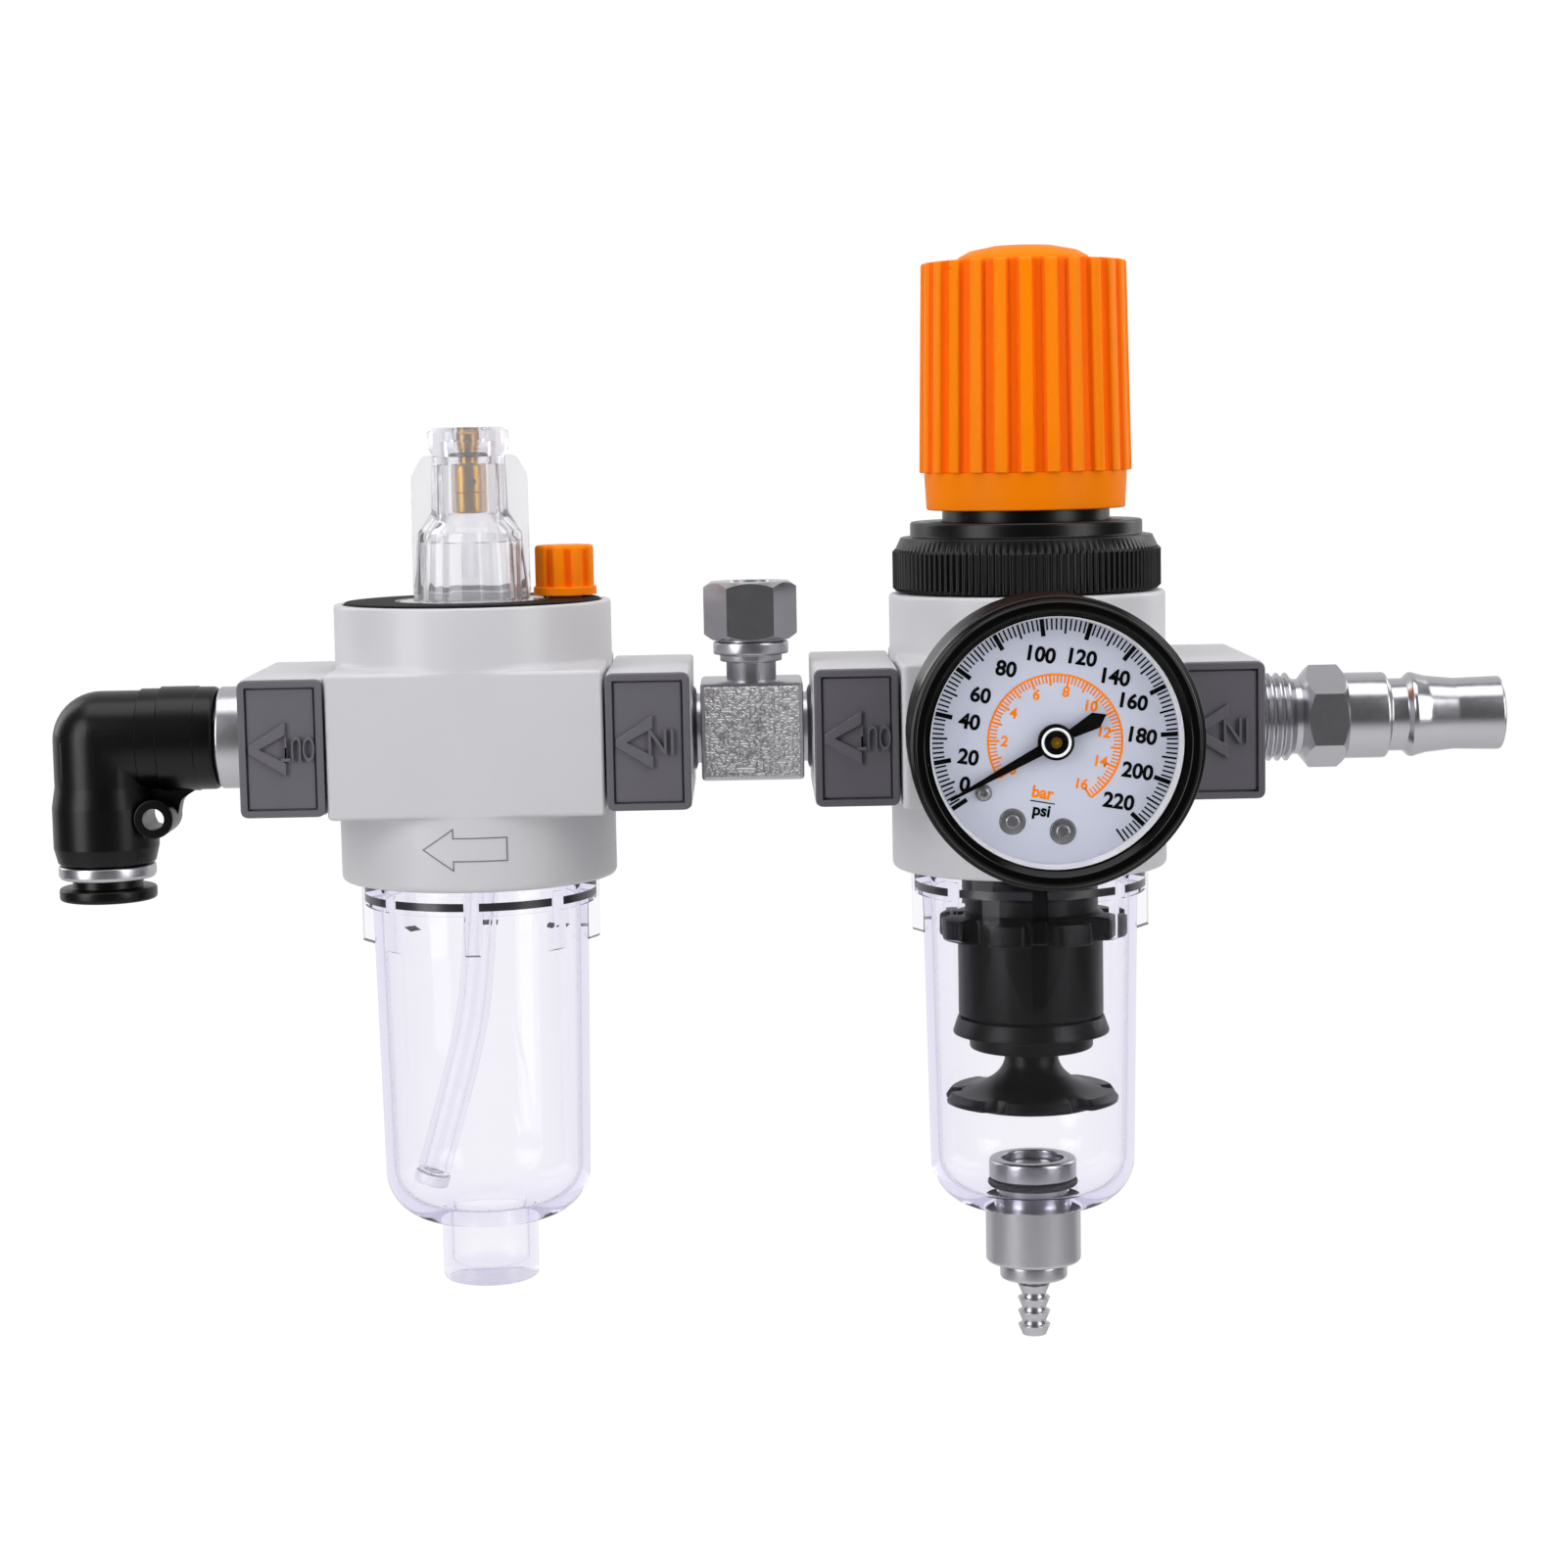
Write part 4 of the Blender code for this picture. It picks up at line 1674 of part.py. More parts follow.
def elbow_fitting():
    """Elbow that swivels on the stud; its pieces are placed from the corner where the two legs meet."""
    level = elbow_leg_outline(ELBOW_LEG, ELBOW_LEG - ELBOW_CUFF_LENGTH, ELBOW_RADIUS)
    body = turned("elbow_body", level, "black_plastic", parent=ELBOW, axis="X")
    down = elbow_leg_outline(ELBOW_DROP, ELBOW_DROP - ELBOW_CUFF_LENGTH, END_RING_RADIUS)
    leg = turned("elbow_leg", [(r, -h) for r, h in down], "black_plastic", parent=ELBOW)
    angles = np.linspace(math.pi / 2, -math.pi / 2, ELBOW_CORNER_POINTS)
    corner_outline = [(ELBOW_CORE_RADIUS * math.cos(a), ELBOW_CORE_RADIUS * math.sin(a)) for a in angles]
    corner_outline[0], corner_outline[-1] = (0, ELBOW_CORE_RADIUS), (0, -ELBOW_CORE_RADIUS)
    corner = turned("elbow_corner", corner_outline, "black_plastic", parent=ELBOW)
    half = LUG_THICKNESS / 2
    lug_place = {"parent": ELBOW, "at": (LUG_REACH, 0, -LUG_DROP), "axis": "-Y"}
    lug = rod("elbow_lug", LUG_RADIUS, -half, half, "black_plastic", sides=SIDES_SMALL, **lug_place)
    web = box(
        "elbow_web",
        (ELBOW_CORE_RADIUS - LUG_RADIUS, -half / 2, -LUG_DROP),
        (LUG_REACH, half / 2, -ELBOW_CORE_RADIUS + LUG_RADIUS / 2),
        "black_plastic",
        parent=ELBOW,
    )
    join(body, leg, corner, lug, web)

    def bore(name, radius, low, high, **place):
        place.update(sides=SIDES_SMALL, parent=ELBOW)
        return rod(f"elbow_{name}", radius, low, high, "black_plastic", **place)

    tail_end = ELBOW_LEG - STUD_TAIL_LENGTH - RUN
    socket_end = -ELBOW_DROP + ELBOW_SOCKET_DEPTH
    cut(
        body,
        bore("lug_hole", LUG_HOLE_RADIUS, -LUG_THICKNESS, LUG_THICKNESS, **lug_place),
        bore("tail_bore", STUD_TAIL_RADIUS + RUN, tail_end, ELBOW_LEG + OVERLAP, axis="X"),
        bore("level_bore", ELBOW_TUBE_RADIUS, 0, tail_end + OVERLAP, axis="X"),
        bore("socket", ELBOW_SOCKET_RADIUS, -ELBOW_DROP - OVERLAP, socket_end),
        bore("fall_bore", ELBOW_TUBE_RADIUS, socket_end - OVERLAP, ELBOW_TUBE_RADIUS / 2),
    )
    sleeve_hole = COLLAR_SLEEVE_RADIUS + RUN
    ring("elbow_end_ring", END_RING_RADIUS, sleeve_hole, END_RING_FOOT, END_RING_TOP, "nickel", parent=ELBOW)
    sleeve_top = COLLAR_LIP_TOP + COLLAR_SLEEVE_LENGTH
    outline = [
        (COLLAR_SLEEVE_RADIUS, sleeve_top),
        (COLLAR_SLEEVE_RADIUS, COLLAR_LIP_TOP),
        (COLLAR_RADIUS, COLLAR_LIP_TOP),
        (COLLAR_RADIUS, COLLAR_LIP_FOOT),
        (COLLAR_BORE_RADIUS, COLLAR_LIP_FOOT),
        (COLLAR_BORE_RADIUS, sleeve_top),
    ]
    turned("release_collar", outline, "black_plastic", parent=ELBOW)


def inlet_plug():
    """Quick-connect plug along +X: thread, relief, hexagon, body, latch groove and waisted nose."""
    relief = PLATE_OUTER + PLUG_THREAD_SHOWN
    hex_start = relief + PLUG_RELIEF_LENGTH
    hex_end = hex_start + PLUG_HEX_LENGTH
    groove = hex_end + PLUG_BODY_LENGTH
    head = groove + PLUG_GROOVE_LENGTH
    crest = head + PLUG_HEAD_RISE
    waist = crest + PLUG_WAIST_REACH
    end = waist + PLUG_END_REACH
    start = PLATE_OUTER - PORT_THREAD_DEPTH + SEAM
    outline = [
        (0, start),
        (PORT_THREAD_RADIUS, start),
        (PORT_THREAD_RADIUS, relief),
        (PLUG_RELIEF_RADIUS, relief),
        (PLUG_RELIEF_RADIUS, hex_end - OVERLAP),
        (PLUG_BODY_RADIUS, hex_end - OVERLAP),
        (PLUG_BODY_RADIUS, groove),
        (PLUG_GROOVE_RADIUS, groove),
        (PLUG_GROOVE_RADIUS, head),
        (PLUG_HEAD_RADIUS, crest),
        ((PLUG_HEAD_RADIUS + PLUG_WAIST_RADIUS) / 2 - PLUG_HEAD_RISE / 4, (crest + waist) / 2),
        (PLUG_WAIST_RADIUS, waist),
        (PLUG_END_RADIUS, end),
        (0, end),
    ]
    plug = turned("inlet_plug", outline, "nickel", axis="X")
    hexagon_part = chamfered_hexagon(
        "plug_hex", PLUG_HEX_ACROSS, hex_start, hex_end, PLUG_HEX_CHAMFER, "nickel", axis="X"
    )
    join(plug, hexagon_part)
    spans = (start - OVERLAP, end + OVERLAP)
    cut(plug, rod("plug_bore", PLUG_BORE_RADIUS, *spans, "nickel", sides=SIDES_SMALL, axis="X"))


regulator_body()
bonnet_and_ring_nut()
pressure_knob()
spindle_and_seat_nut()
diaphragm_and_valve()
filter_holder_and_element()
filter_baffle()
clear_bowl("filter", REGULATOR, FILTER_NECK_LENGTH)
drain()
gauge_housing()
gauge_face()
gauge_movement()
for unit_name, unit in (("regulator", REGULATOR), ("lubricator", LUBRICATOR)):
    port_plate(unit_name, unit, "inlet", 1)
    port_plate(unit_name, unit, "outlet", -1)
tee()
lubricator_body()
lubricator_top()
sight_dome()
drip_feed()
fill_plug()
clear_bowl("lubricator", LUBRICATOR, OIL_NECK_LENGTH, OIL_NECK_FLOOR)
oil_pickup()
elbow_stud()
elbow_fitting()
inlet_plug()
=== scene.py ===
"""Looks of a mini air filter regulator with its lubricator: detailed pieces, finishes, light and camera."""

import json
import math

import bpy
from mathutils import Matrix, Vector


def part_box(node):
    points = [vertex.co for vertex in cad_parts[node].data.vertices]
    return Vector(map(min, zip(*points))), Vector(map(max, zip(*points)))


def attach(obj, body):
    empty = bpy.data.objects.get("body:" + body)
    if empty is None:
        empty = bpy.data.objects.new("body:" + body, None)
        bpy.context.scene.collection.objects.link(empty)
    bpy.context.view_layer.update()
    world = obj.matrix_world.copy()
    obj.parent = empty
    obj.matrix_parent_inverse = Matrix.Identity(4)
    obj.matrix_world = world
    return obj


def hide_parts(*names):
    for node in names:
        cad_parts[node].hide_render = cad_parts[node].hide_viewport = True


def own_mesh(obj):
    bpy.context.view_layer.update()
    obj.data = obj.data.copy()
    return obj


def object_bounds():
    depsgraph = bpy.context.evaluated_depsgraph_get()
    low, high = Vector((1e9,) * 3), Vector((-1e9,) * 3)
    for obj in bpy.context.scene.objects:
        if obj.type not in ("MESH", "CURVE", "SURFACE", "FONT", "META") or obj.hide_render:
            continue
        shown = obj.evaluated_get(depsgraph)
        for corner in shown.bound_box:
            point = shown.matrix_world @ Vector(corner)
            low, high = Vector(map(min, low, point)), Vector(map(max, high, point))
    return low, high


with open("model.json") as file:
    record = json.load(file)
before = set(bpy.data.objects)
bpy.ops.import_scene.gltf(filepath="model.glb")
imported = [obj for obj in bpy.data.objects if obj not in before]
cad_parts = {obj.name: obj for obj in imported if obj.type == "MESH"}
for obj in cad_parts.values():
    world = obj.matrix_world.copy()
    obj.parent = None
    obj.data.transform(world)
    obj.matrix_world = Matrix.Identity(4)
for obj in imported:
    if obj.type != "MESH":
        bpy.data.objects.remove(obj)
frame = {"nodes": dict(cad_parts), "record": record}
CAD_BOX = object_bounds()
MM = 0.001
MERGE = 0.002 * MM
CARVE_TRIES = 4
FINE = 128
SMALL = 48
CORNER_STEPS = 5
SMOOTH = math.radians(35)
CRISP = math.radians(25)
CAST_EDGE = math.radians(28)
MOULD_EDGE = math.radians(30)
CLEAR_EDGE = math.radians(40)
FLAT_EDGE = math.radians(12)
TURN_OF_AXIS = {
    "Z": (0, 0, 0), "X": (0, math.pi / 2, 0), "-X": (0, -math.pi / 2, 0), "-Y": (math.pi / 2, 0, 0),
}


# Tools of the bench

def deselect():
    bpy.ops.object.select_all(action="DESELECT")


def pick(piece):
    deselect()
    piece.select_set(True)
    bpy.context.view_layer.objects.active = piece


def apply_place(piece):
    pick(piece)
    bpy.ops.object.transform_apply(location=True, rotation=True, scale=True)
    return piece


def place(piece, at=(0, 0, 0), axis="Z"):
    """Stands a piece that was made about Z on another axis, at a point."""
    piece.rotation_euler = TURN_OF_AXIS[axis]
    piece.location = at
    return apply_place(piece)


def rounded(corners, closed):
    """Outline through corners given as (across, up) or (across, up, radius), the latter rounded."""
    spots = [Vector(corner[:2]) for corner in corners]
    points = []
    for index, corner in enumerate(corners):
        inner = closed or 0 < index < len(corners) - 1
        if len(corner) == 2 or not inner:
            points.append(spots[index])
            continue
        here = spots[index]
        back = spots[index - 1] - here
        ahead = spots[(index + 1) % len(spots)] - here
        half = back.angle(ahead) / 2
        reach = min(corner[2] / math.tan(half), 0.49 * back.length, 0.49 * ahead.length)
        start = here + reach * back.normalized()
        end = here + reach * ahead.normalized()
        for step in range(CORNER_STEPS + 1):
            t = step / CORNER_STEPS
            points.append((1 - t) ** 2 * start + 2 * t * (1 - t) * here + t ** 2 * end)
    return points


def chain(name, points):
    """Starts a piece, in edit mode, as one chain of edges through the points."""
    deselect()
    bpy.ops.mesh.primitive_plane_add(size=MM)
    piece = bpy.context.object
    piece.name = piece.data.name = name
    bpy.ops.object.mode_set(mode="EDIT")
    bpy.ops.mesh.select_all(action="SELECT")
    bpy.ops.mesh.merge(type="CENTER")
    bpy.ops.transform.translate(value=points[0])
    for here, there in zip(points, points[1:]):
        step = Vector(there) - Vector(here)
        bpy.ops.mesh.extrude_region_move(TRANSFORM_OT_translate={"value": step})
    bpy.ops.mesh.select_all(action="SELECT")
    return piece


def leave_edit(angle=SMOOTH):
    bpy.ops.mesh.select_all(action="SELECT")
    bpy.ops.mesh.remove_doubles(threshold=MERGE)
    bpy.ops.mesh.normals_make_consistent(inside=False)
    bpy.ops.object.mode_set(mode="OBJECT")
    bpy.ops.object.shade_smooth_by_angle(angle=angle)


def spun(name, corners, sides=FINE, angle=SMOOTH):
    """Turns a half section of (radius, height) corners about Z; one that leaves the axis closes on itself."""
    closed = corners[0][0] > 0
    points = [(spot.x, 0, spot.y) for spot in rounded(corners, closed)]
    if closed:
        points.append(points[0])
    piece = chain(name, points)
    bpy.ops.mesh.spin(steps=sides, angle=math.tau, center=(0, 0, 0), axis=(0, 0, 1))
    leave_edit(angle)
    return piece


def rod(name, radius, low, high, sides=SMALL):
    """Plain round bar about Z."""
    return spun(name, [(0, low), (radius, low), (radius, high), (0, high)], sides)


def tube(name, inner, outer, low, high, sides=FINE):
    """Plain ring about Z."""
    return spun(name, [(inner, low), (outer, low), (outer, high), (inner, high)], sides)


def on_circle(reach, turn):
    return reach * math.cos(turn), reach * math.sin(turn)


def six_corners(reach):
    """Corners of a hexagon at a reach from its middle."""
    return [on_circle(reach, math.tau * side / 6) for side in range(6)]


def raised(name, corners, low, high):
    """Raises a flat closed outline along Z from low to high."""
    outline = [(spot.x, spot.y, low) for spot in rounded(corners, True)]
    piece = chain(name, outline)
    bpy.ops.mesh.edge_face_add()
    bpy.ops.mesh.extrude_region_move(TRANSFORM_OT_translate={"value": (0, 0, high - low)})
    leave_edit()
    return piece


def block(name, low, high):
    """Plain box between two corners."""
    deselect()
    low, high = Vector(low), Vector(high)
    bpy.ops.mesh.primitive_cube_add(size=1, location=(low + high) / 2)
    piece = bpy.context.object
    piece.name = piece.data.name = name
    piece.scale = high - low
    return apply_place(piece)


def use_modifier(piece, kind, **settings):
    pick(piece)
    modifier = piece.modifiers.new(kind.lower(), kind)
    for key, value in settings.items():
        setattr(modifier, key, value)
    bpy.ops.object.modifier_apply(modifier=modifier.name)


def soften(piece, width, segments=3):
    use_modifier(piece, "BEVEL", width=width, segments=segments, limit_method="ANGLE", angle_limit=MOULD_EDGE)
    bpy.ops.object.shade_smooth_by_angle(angle=SMOOTH)


def carve(piece, tool, operation="DIFFERENCE", angle=SMOOTH):
    """Cuts, crosses or joins a piece with a tool, which goes; a result that comes out empty is made again."""
    spare = piece.data.copy()
    for _ in range(CARVE_TRIES):
        use_modifier(piece, "BOOLEAN", operation=operation, object=tool, solver="EXACT")
        if piece.data.polygons:
            break
        piece.data = spare.copy()
    piece.data.name = piece.name
    bpy.data.meshes.remove(spare)
    bpy.data.objects.remove(tool, do_unlink=True)
    bpy.ops.object.shade_smooth_by_angle(angle=angle)


def reshape(piece, rule):
    """Moves every point by a rule on (turn, radius, height) about Z, which gives radius and height."""
    for vert in piece.data.vertices:
        turn = math.atan2(vert.co.y, vert.co.x)
        radius, height = rule(turn, math.hypot(vert.co.x, vert.co.y), vert.co.z)
        vert.co = (radius * math.cos(turn), radius * math.sin(turn), height)
    piece.data.update()


def twin(piece, name):
    copy = piece.copy()
    copy.data = piece.data.copy()
    copy.name = copy.data.name = name
    bpy.context.collection.objects.link(copy)
    return copy


def fuse(name, pieces):
    """Makes one object of several pieces that stay separate shells."""
    deselect()
    for piece in pieces:
        piece.select_set(True)
    bpy.context.view_layer.objects.active = pieces[0]
    bpy.ops.object.join()
    pieces[0].name = pieces[0].data.name = name
    return pieces[0]


def lettering(name, words, height, depth, weight=0.0, width=None):
    """Raised words as a mesh, centred at the origin in the XY plane, its foot at Z = 0."""
    deselect()
    bpy.ops.object.text_add()
    piece = bpy.context.object
    piece.data.body = words
    piece.data.extrude = depth
    piece.data.resolution_u = 4
    piece.data.offset = weight
    bpy.ops.object.convert(target="MESH")
    piece.name = piece.data.name = name
    spots = [vert.co for vert in piece.data.vertices]
    low = Vector([min(spot[axis] for spot in spots) for axis in range(3)])
    high = Vector([max(spot[axis] for spot in spots) for axis in range(3)])
    grow = height / (high.y - low.y)
    middle = (low + high) / 2
    piece.data.transform(Matrix.Translation((-middle.x, -middle.y, -low.z)))
    stretch = width / (high.x - low.x) if width else grow
    piece.data.transform(Matrix.Diagonal((stretch, grow, depth / (high.z - low.z), 1)))
    bpy.ops.object.mode_set(mode="EDIT")
    leave_edit()
    return piece


# Finishes

def tint(red, green, blue):
    """Linear colour of an ordinary one from 0 to 255."""
    return tuple((level / 255) ** 2.2 for level in (red, green, blue))


def shader_group(name, inputs, outputs):
    group = bpy.data.node_groups.new(name, "ShaderNodeTree")
    for label in inputs:
        group.interface.new_socket(label, in_out="INPUT", socket_type="NodeSocketFloat")
    for label in outputs:
        group.interface.new_socket(label, in_out="OUTPUT", socket_type="NodeSocketFloat")
    return group, group.nodes.new("NodeGroupInput"), group.nodes.new("NodeGroupOutput")


def grain_group():
    """Shared effect: slow tone changes and a fine grain, placed on the object."""
    group, entry, result = shader_group("surface_grain", ("Scale",), ("Tone", "Grain"))
    places = group.nodes.new("ShaderNodeTexCoord")
    slow = group.nodes.new("ShaderNodeTexNoise")
    slow.inputs["Scale"].default_value = 70
    fine = group.nodes.new("ShaderNodeTexNoise")
    fine.inputs["Detail"].default_value = 4
    group.links.new(entry.outputs["Scale"], fine.inputs["Scale"])
    for texture, label in ((slow, "Tone"), (fine, "Grain")):
        group.links.new(places.outputs["Object"], texture.inputs["Vector"])
        group.links.new(texture.outputs[0], result.inputs[label])
    return group


def hammer_group():
    """Shared effect: the beaten grain of a raw forged face."""
    group, entry, result = shader_group("forged_grain", ("Scale",), ("Tone", "Grain"))
    places = group.nodes.new("ShaderNodeTexCoord")
    flatten = group.nodes.new("ShaderNodeMapping")
    flatten.inputs["Scale"].default_value = (1, 1, 1.7)
    creases = group.nodes.new("ShaderNodeTexNoise")
    creases.noise_type = "RIDGED_MULTIFRACTAL"
    creases.inputs["Detail"].default_value = 3
    group.links.new(places.outputs["Object"], flatten.inputs["Vector"])
    group.links.new(flatten.outputs["Vector"], creases.inputs["Vector"])
    group.links.new(entry.outputs["Scale"], creases.inputs["Scale"])
    for label in ("Tone", "Grain"):
        group.links.new(creases.outputs[0], result.inputs[label])
    return group


GRAIN = grain_group()
HAMMER = hammer_group()
MIX_SHARE, MIX_FIRST, MIX_SECOND, MIX_RESULT = 0, 6, 7, 2


def finish(name, colour, rough, spread=0.05, grain=900, bump=0.02, effect=GRAIN, **constants):
    """A surface whose colour, gloss and relief all vary a little with the shared grain."""
    material = bpy.data.materials.new(name)
    material.use_nodes = True
    nodes, links = material.node_tree.nodes, material.node_tree.links
    shader = nodes["Principled BSDF"]
    for label, value in constants.items():
        shader.inputs[label.replace("_", " ")].default_value = value
    group = nodes.new("ShaderNodeGroup")
    group.node_tree = effect
    group.inputs["Scale"].default_value = grain
    tone = nodes.new("ShaderNodeMix")
    tone.data_type = "RGBA"
    tone.inputs[MIX_FIRST].default_value = (*(level * (1 - spread) for level in colour), 1)
    tone.inputs[MIX_SECOND].default_value = (*(min(1, level * (1 + spread)) for level in colour), 1)
    gloss = nodes.new("ShaderNodeMapRange")
    gloss.inputs["To Min"].default_value = rough * 0.8
    gloss.inputs["To Max"].default_value = rough * 1.2
    relief = nodes.new("ShaderNodeBump")
    relief.inputs["Strength"].default_value = bump
    relief.inputs["Distance"].default_value = MM
    links.new(group.outputs["Tone"], tone.inputs[MIX_SHARE])
    links.new(tone.outputs[MIX_RESULT], shader.inputs["Base Color"])
    links.new(group.outputs["Grain"], gloss.inputs["Value"])
    links.new(gloss.outputs["Result"], shader.inputs["Roughness"])
    links.new(group.outputs["Grain"], relief.inputs["Height"])
    links.new(relief.outputs["Normal"], shader.inputs["Normal"])
    return material


def clear(name, colour, ior, soak, density, clarity=1.0):
    """A see-through finish that takes up some light on its way through the wall."""
    material = finish(
        name, colour, 0.02, 0.003, 300, 0.0005, Transmission_Weight=clarity, IOR=ior, Coat_Weight=0.3,
    )
    nodes = material.node_tree.nodes
    drink = nodes.new("ShaderNodeVolumeAbsorption")
    drink.inputs["Color"].default_value = (*soak, 1)
    drink.inputs["Density"].default_value = density
    material.node_tree.links.new(drink.outputs["Volume"], nodes["Material Output"].inputs["Volume"])
    return material


LAVENDER = (0.2, 0.13, 0.67)
FINISH = {
    "cast_body": finish("painted casting", tint(200, 200, 204), 0.42, 0.02, 2500, 0.03, Coat_Weight=0.1),
    "dark_cover": finish(
        "dark cover plastic", tint(98, 96, 103), 0.5, 0.05, 4000, 0.03, Specular_IOR_Level=0.4,
    ),
    "orange_plastic": finish(
        "orange plastic", tint(255, 132, 0), 0.45, 0.03, 1500, 0.01, Specular_IOR_Level=0.08,
    ),
    # Deeper orange for the knob's rib valleys and the fill plug's flutes: painted shade, where the same
    # plastic lies in shadow.
    "painted_shade_orange": finish(
        "orange plastic painted groove shade", tint(253, 106, 0), 0.5, 0.03, 1500, 0.01, Specular_IOR_Level=0.06,
    ),
    "black_plastic": finish("black plastic", tint(8, 8, 9), 0.32, 0.15, 3000, 0.004, Specular_IOR_Level=0.27),
    "inner_black": finish(
        "black inner plastic", tint(5, 5, 6), 0.34, 0.1, 300, 0.002, Specular_IOR_Level=0.22,
    ),
    "matt_black": finish(
        "matt black plastic", tint(14, 14, 15), 0.6, 0.15, 3000, 0.01, Specular_IOR_Level=0.12,
    ),
    "gloss_black": finish("glossy black", tint(5, 5, 6), 0.22, 0.15, 900, 0.005, Specular_IOR_Level=0.22),
    "rubber": finish("rubber", tint(16, 16, 16), 0.6, 0.15, 2000, 0.05),
    "nickel": finish("bright plating", tint(182, 182, 187), 0.24, 0.03, 900, 0.01, Metallic=1.0),
    "satin": finish("satin plating", tint(183, 183, 188), 0.3, 0.04, 1500, 0.02, Metallic=1.0),
    "forged": finish("plated forging", tint(236, 234, 238), 0.34, 0.35, 1450, 0.75, HAMMER, Metallic=0.6),
    "steel": finish("steel", tint(186, 186, 190), 0.28, 0.03, 400, 0.01, Metallic=1.0),
    "brass": finish("brass", tint(178, 132, 42), 0.32, 0.06, 900, 0.03, Metallic=1.0),
    "dial_paint": finish("dial paint", tint(178, 182, 196), 0.55, 0.02, 900, 0.01, Specular_IOR_Level=0.2),
    # White for the needle hub ring and for the thin ring at the dial's edge; the ring at the dial's edge is a
    # painted highlight.
    "white_ring_and_highlight": finish("white ring and painted highlight", tint(240, 240, 242), 0.4, 0.02),
    "black_print": finish("black print", tint(7, 7, 9), 0.6, 0.1, Specular_IOR_Level=0.1),
    "orange_print": finish("orange print", tint(226, 116, 0), 0.6, 0.05, Specular_IOR_Level=0.02),
    # Grey for the flow arrow's outline and for the rings round the dial screws; the rings are painted shadow
    # of the screw heads.
    "grey_print_and_shadow": finish("grey print and painted shadow", tint(105, 105, 111), 0.5, 0.05),
    "sinter": finish("porous element", tint(225, 220, 212), 0.8, 0.08, 2500, 0.4),
    # Dark tinted gloss on the bowls' collar band and rib ends: painted shade where the clear plastic looks
    # dark.
    "painted_shade_clear": finish("clear edge with painted shade", tint(48, 48, 53), 0.25, 0.1),
    "clear_plastic": clear("clear plastic", (0.985, 0.982, 0.994), 1.04, LAVENDER, 22),
    "dome_plastic": clear("clear dome plastic", tint(249, 249, 251), 1.3, (0.3, 0.28, 0.42), 36, 0.88),
    "thin_clear": finish(
        "clear lens", tint(253, 253, 254), 0.02, 0.01, 400, 0.003, Transmission_Weight=1.0, IOR=1.12,
    ),
}
SLOT_OF = {
    "gloss_black": "black_plastic", "matt_black": "black_plastic", "inner_black": "black_plastic",
    "satin": "nickel", "forged": "nickel", "dome_plastic": "clear_plastic", "thin_clear": "clear_plastic",
    "white_ring_and_highlight": "dial_paint", "black_print": "dial_paint", "orange_print": "dial_paint",
    "grey_print_and_shadow": "cast_body",
}
for part in frame["record"]["subparts"]:
    mesh = frame["nodes"][part["node"]].data
    mesh.materials.clear()
    mesh.materials.append(FINISH[part["material_slot"]])


def dress(piece, name, body, *nodes):
    """Gives a piece its finish and its body, and hides the plain nodes that it stands for."""
    piece.data.materials.clear()
    piece.data.materials.append(FINISH[name])
    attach(piece, body)
    if nodes:
        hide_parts(*nodes)
    SLOT_OF.get(name, name)
    return piece


def second_finish(piece, name, chosen):
    """Gives a second finish to the faces that a rule on their radius, height and normal chooses."""
    piece.data.materials.append(FINISH[name])
    for face in piece.data.polygons:
        if chosen(math.hypot(face.center.x, face.center.y), face.center.z, face.normal):
            face.material_index = len(piece.data.materials) - 1


# Levels and places read from the frame

SEAM = 0.3 * MM
LUB_LOW, LUB_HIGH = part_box("lubricator_body")
BODY_RADIUS = (LUB_HIGH.x - LUB_LOW.x) / 2
BODY_BOTTOM, BODY_TOP = LUB_LOW.z, LUB_HIGH.z
WAIST_DEPTH = BODY_RADIUS + 0.01 * MM
LUB_X = (LUB_LOW.x + LUB_HIGH.x) / 2
PLATE_LOW, PLATE_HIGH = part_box("regulator_inlet_port_plate")
WAIST_WIDTH = PLATE_LOW.x - SEAM
WAIST_RISE = PLATE_HIGH.z + 0.65 * MM
WAIST_EDGE = 0.7 * MM
WAIST_FILLET = 1.1 * MM
SOCKET_RADIUS = 16.3 * MM
SOCKET_ROOF = -11.8 * MM
DOME_LOW, DOME_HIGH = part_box("sight_dome")
TOP_LOW, TOP_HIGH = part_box("lubricator_top_plate")
TOP_RADIUS = (TOP_HIGH.x - TOP_LOW.x) / 2
FILL_LOW, FILL_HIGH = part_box("fill_plug")
FILL_AT = ((FILL_LOW.x + FILL_HIGH.x) / 2, (FILL_LOW.y + FILL_HIGH.y) / 2, 0)
LUB_AT = (LUB_X, 0, 0)


# Castings

def waist_levels():
    """Heights of the rings that shape the upper half of the square waist, from above down."""
    steps = [step / CORNER_STEPS for step in range(CORNER_STEPS + 1)]
    fillet = [WAIST_RISE + WAIST_FILLET * (1 - t) for t in steps]
    edge = [WAIST_RISE - WAIST_EDGE * t - 0.01 * MM for t in steps]
    return fillet + edge


def waist(turn, radius, height):
    """Brings the round wall out to the square waist, with a ledge, a fillet and a rounded edge."""
    level = abs(height)
    if radius < BODY_RADIUS - 0.2 * MM or level > WAIST_RISE + WAIST_FILLET:
        return radius, height
    square = 1 / max(abs(math.cos(turn)) / WAIST_WIDTH, abs(math.sin(turn)) / WAIST_DEPTH)
    depth = max(0.0, square - BODY_RADIUS)
    if level >= WAIST_RISE:
        t = (WAIST_RISE + WAIST_FILLET - level) / WAIST_FILLET
        return BODY_RADIUS + min(WAIST_FILLET, depth / 2) * (1 - math.sqrt(max(0.0, 1 - t * t))), height
    t = max(0.0, (level - WAIST_RISE + WAIST_EDGE) / WAIST_EDGE)
    edge = min(WAIST_EDGE, depth / 2)
    return BODY_RADIUS + depth - edge * (1 - math.sqrt(max(0.0, 1 - t * t))), height


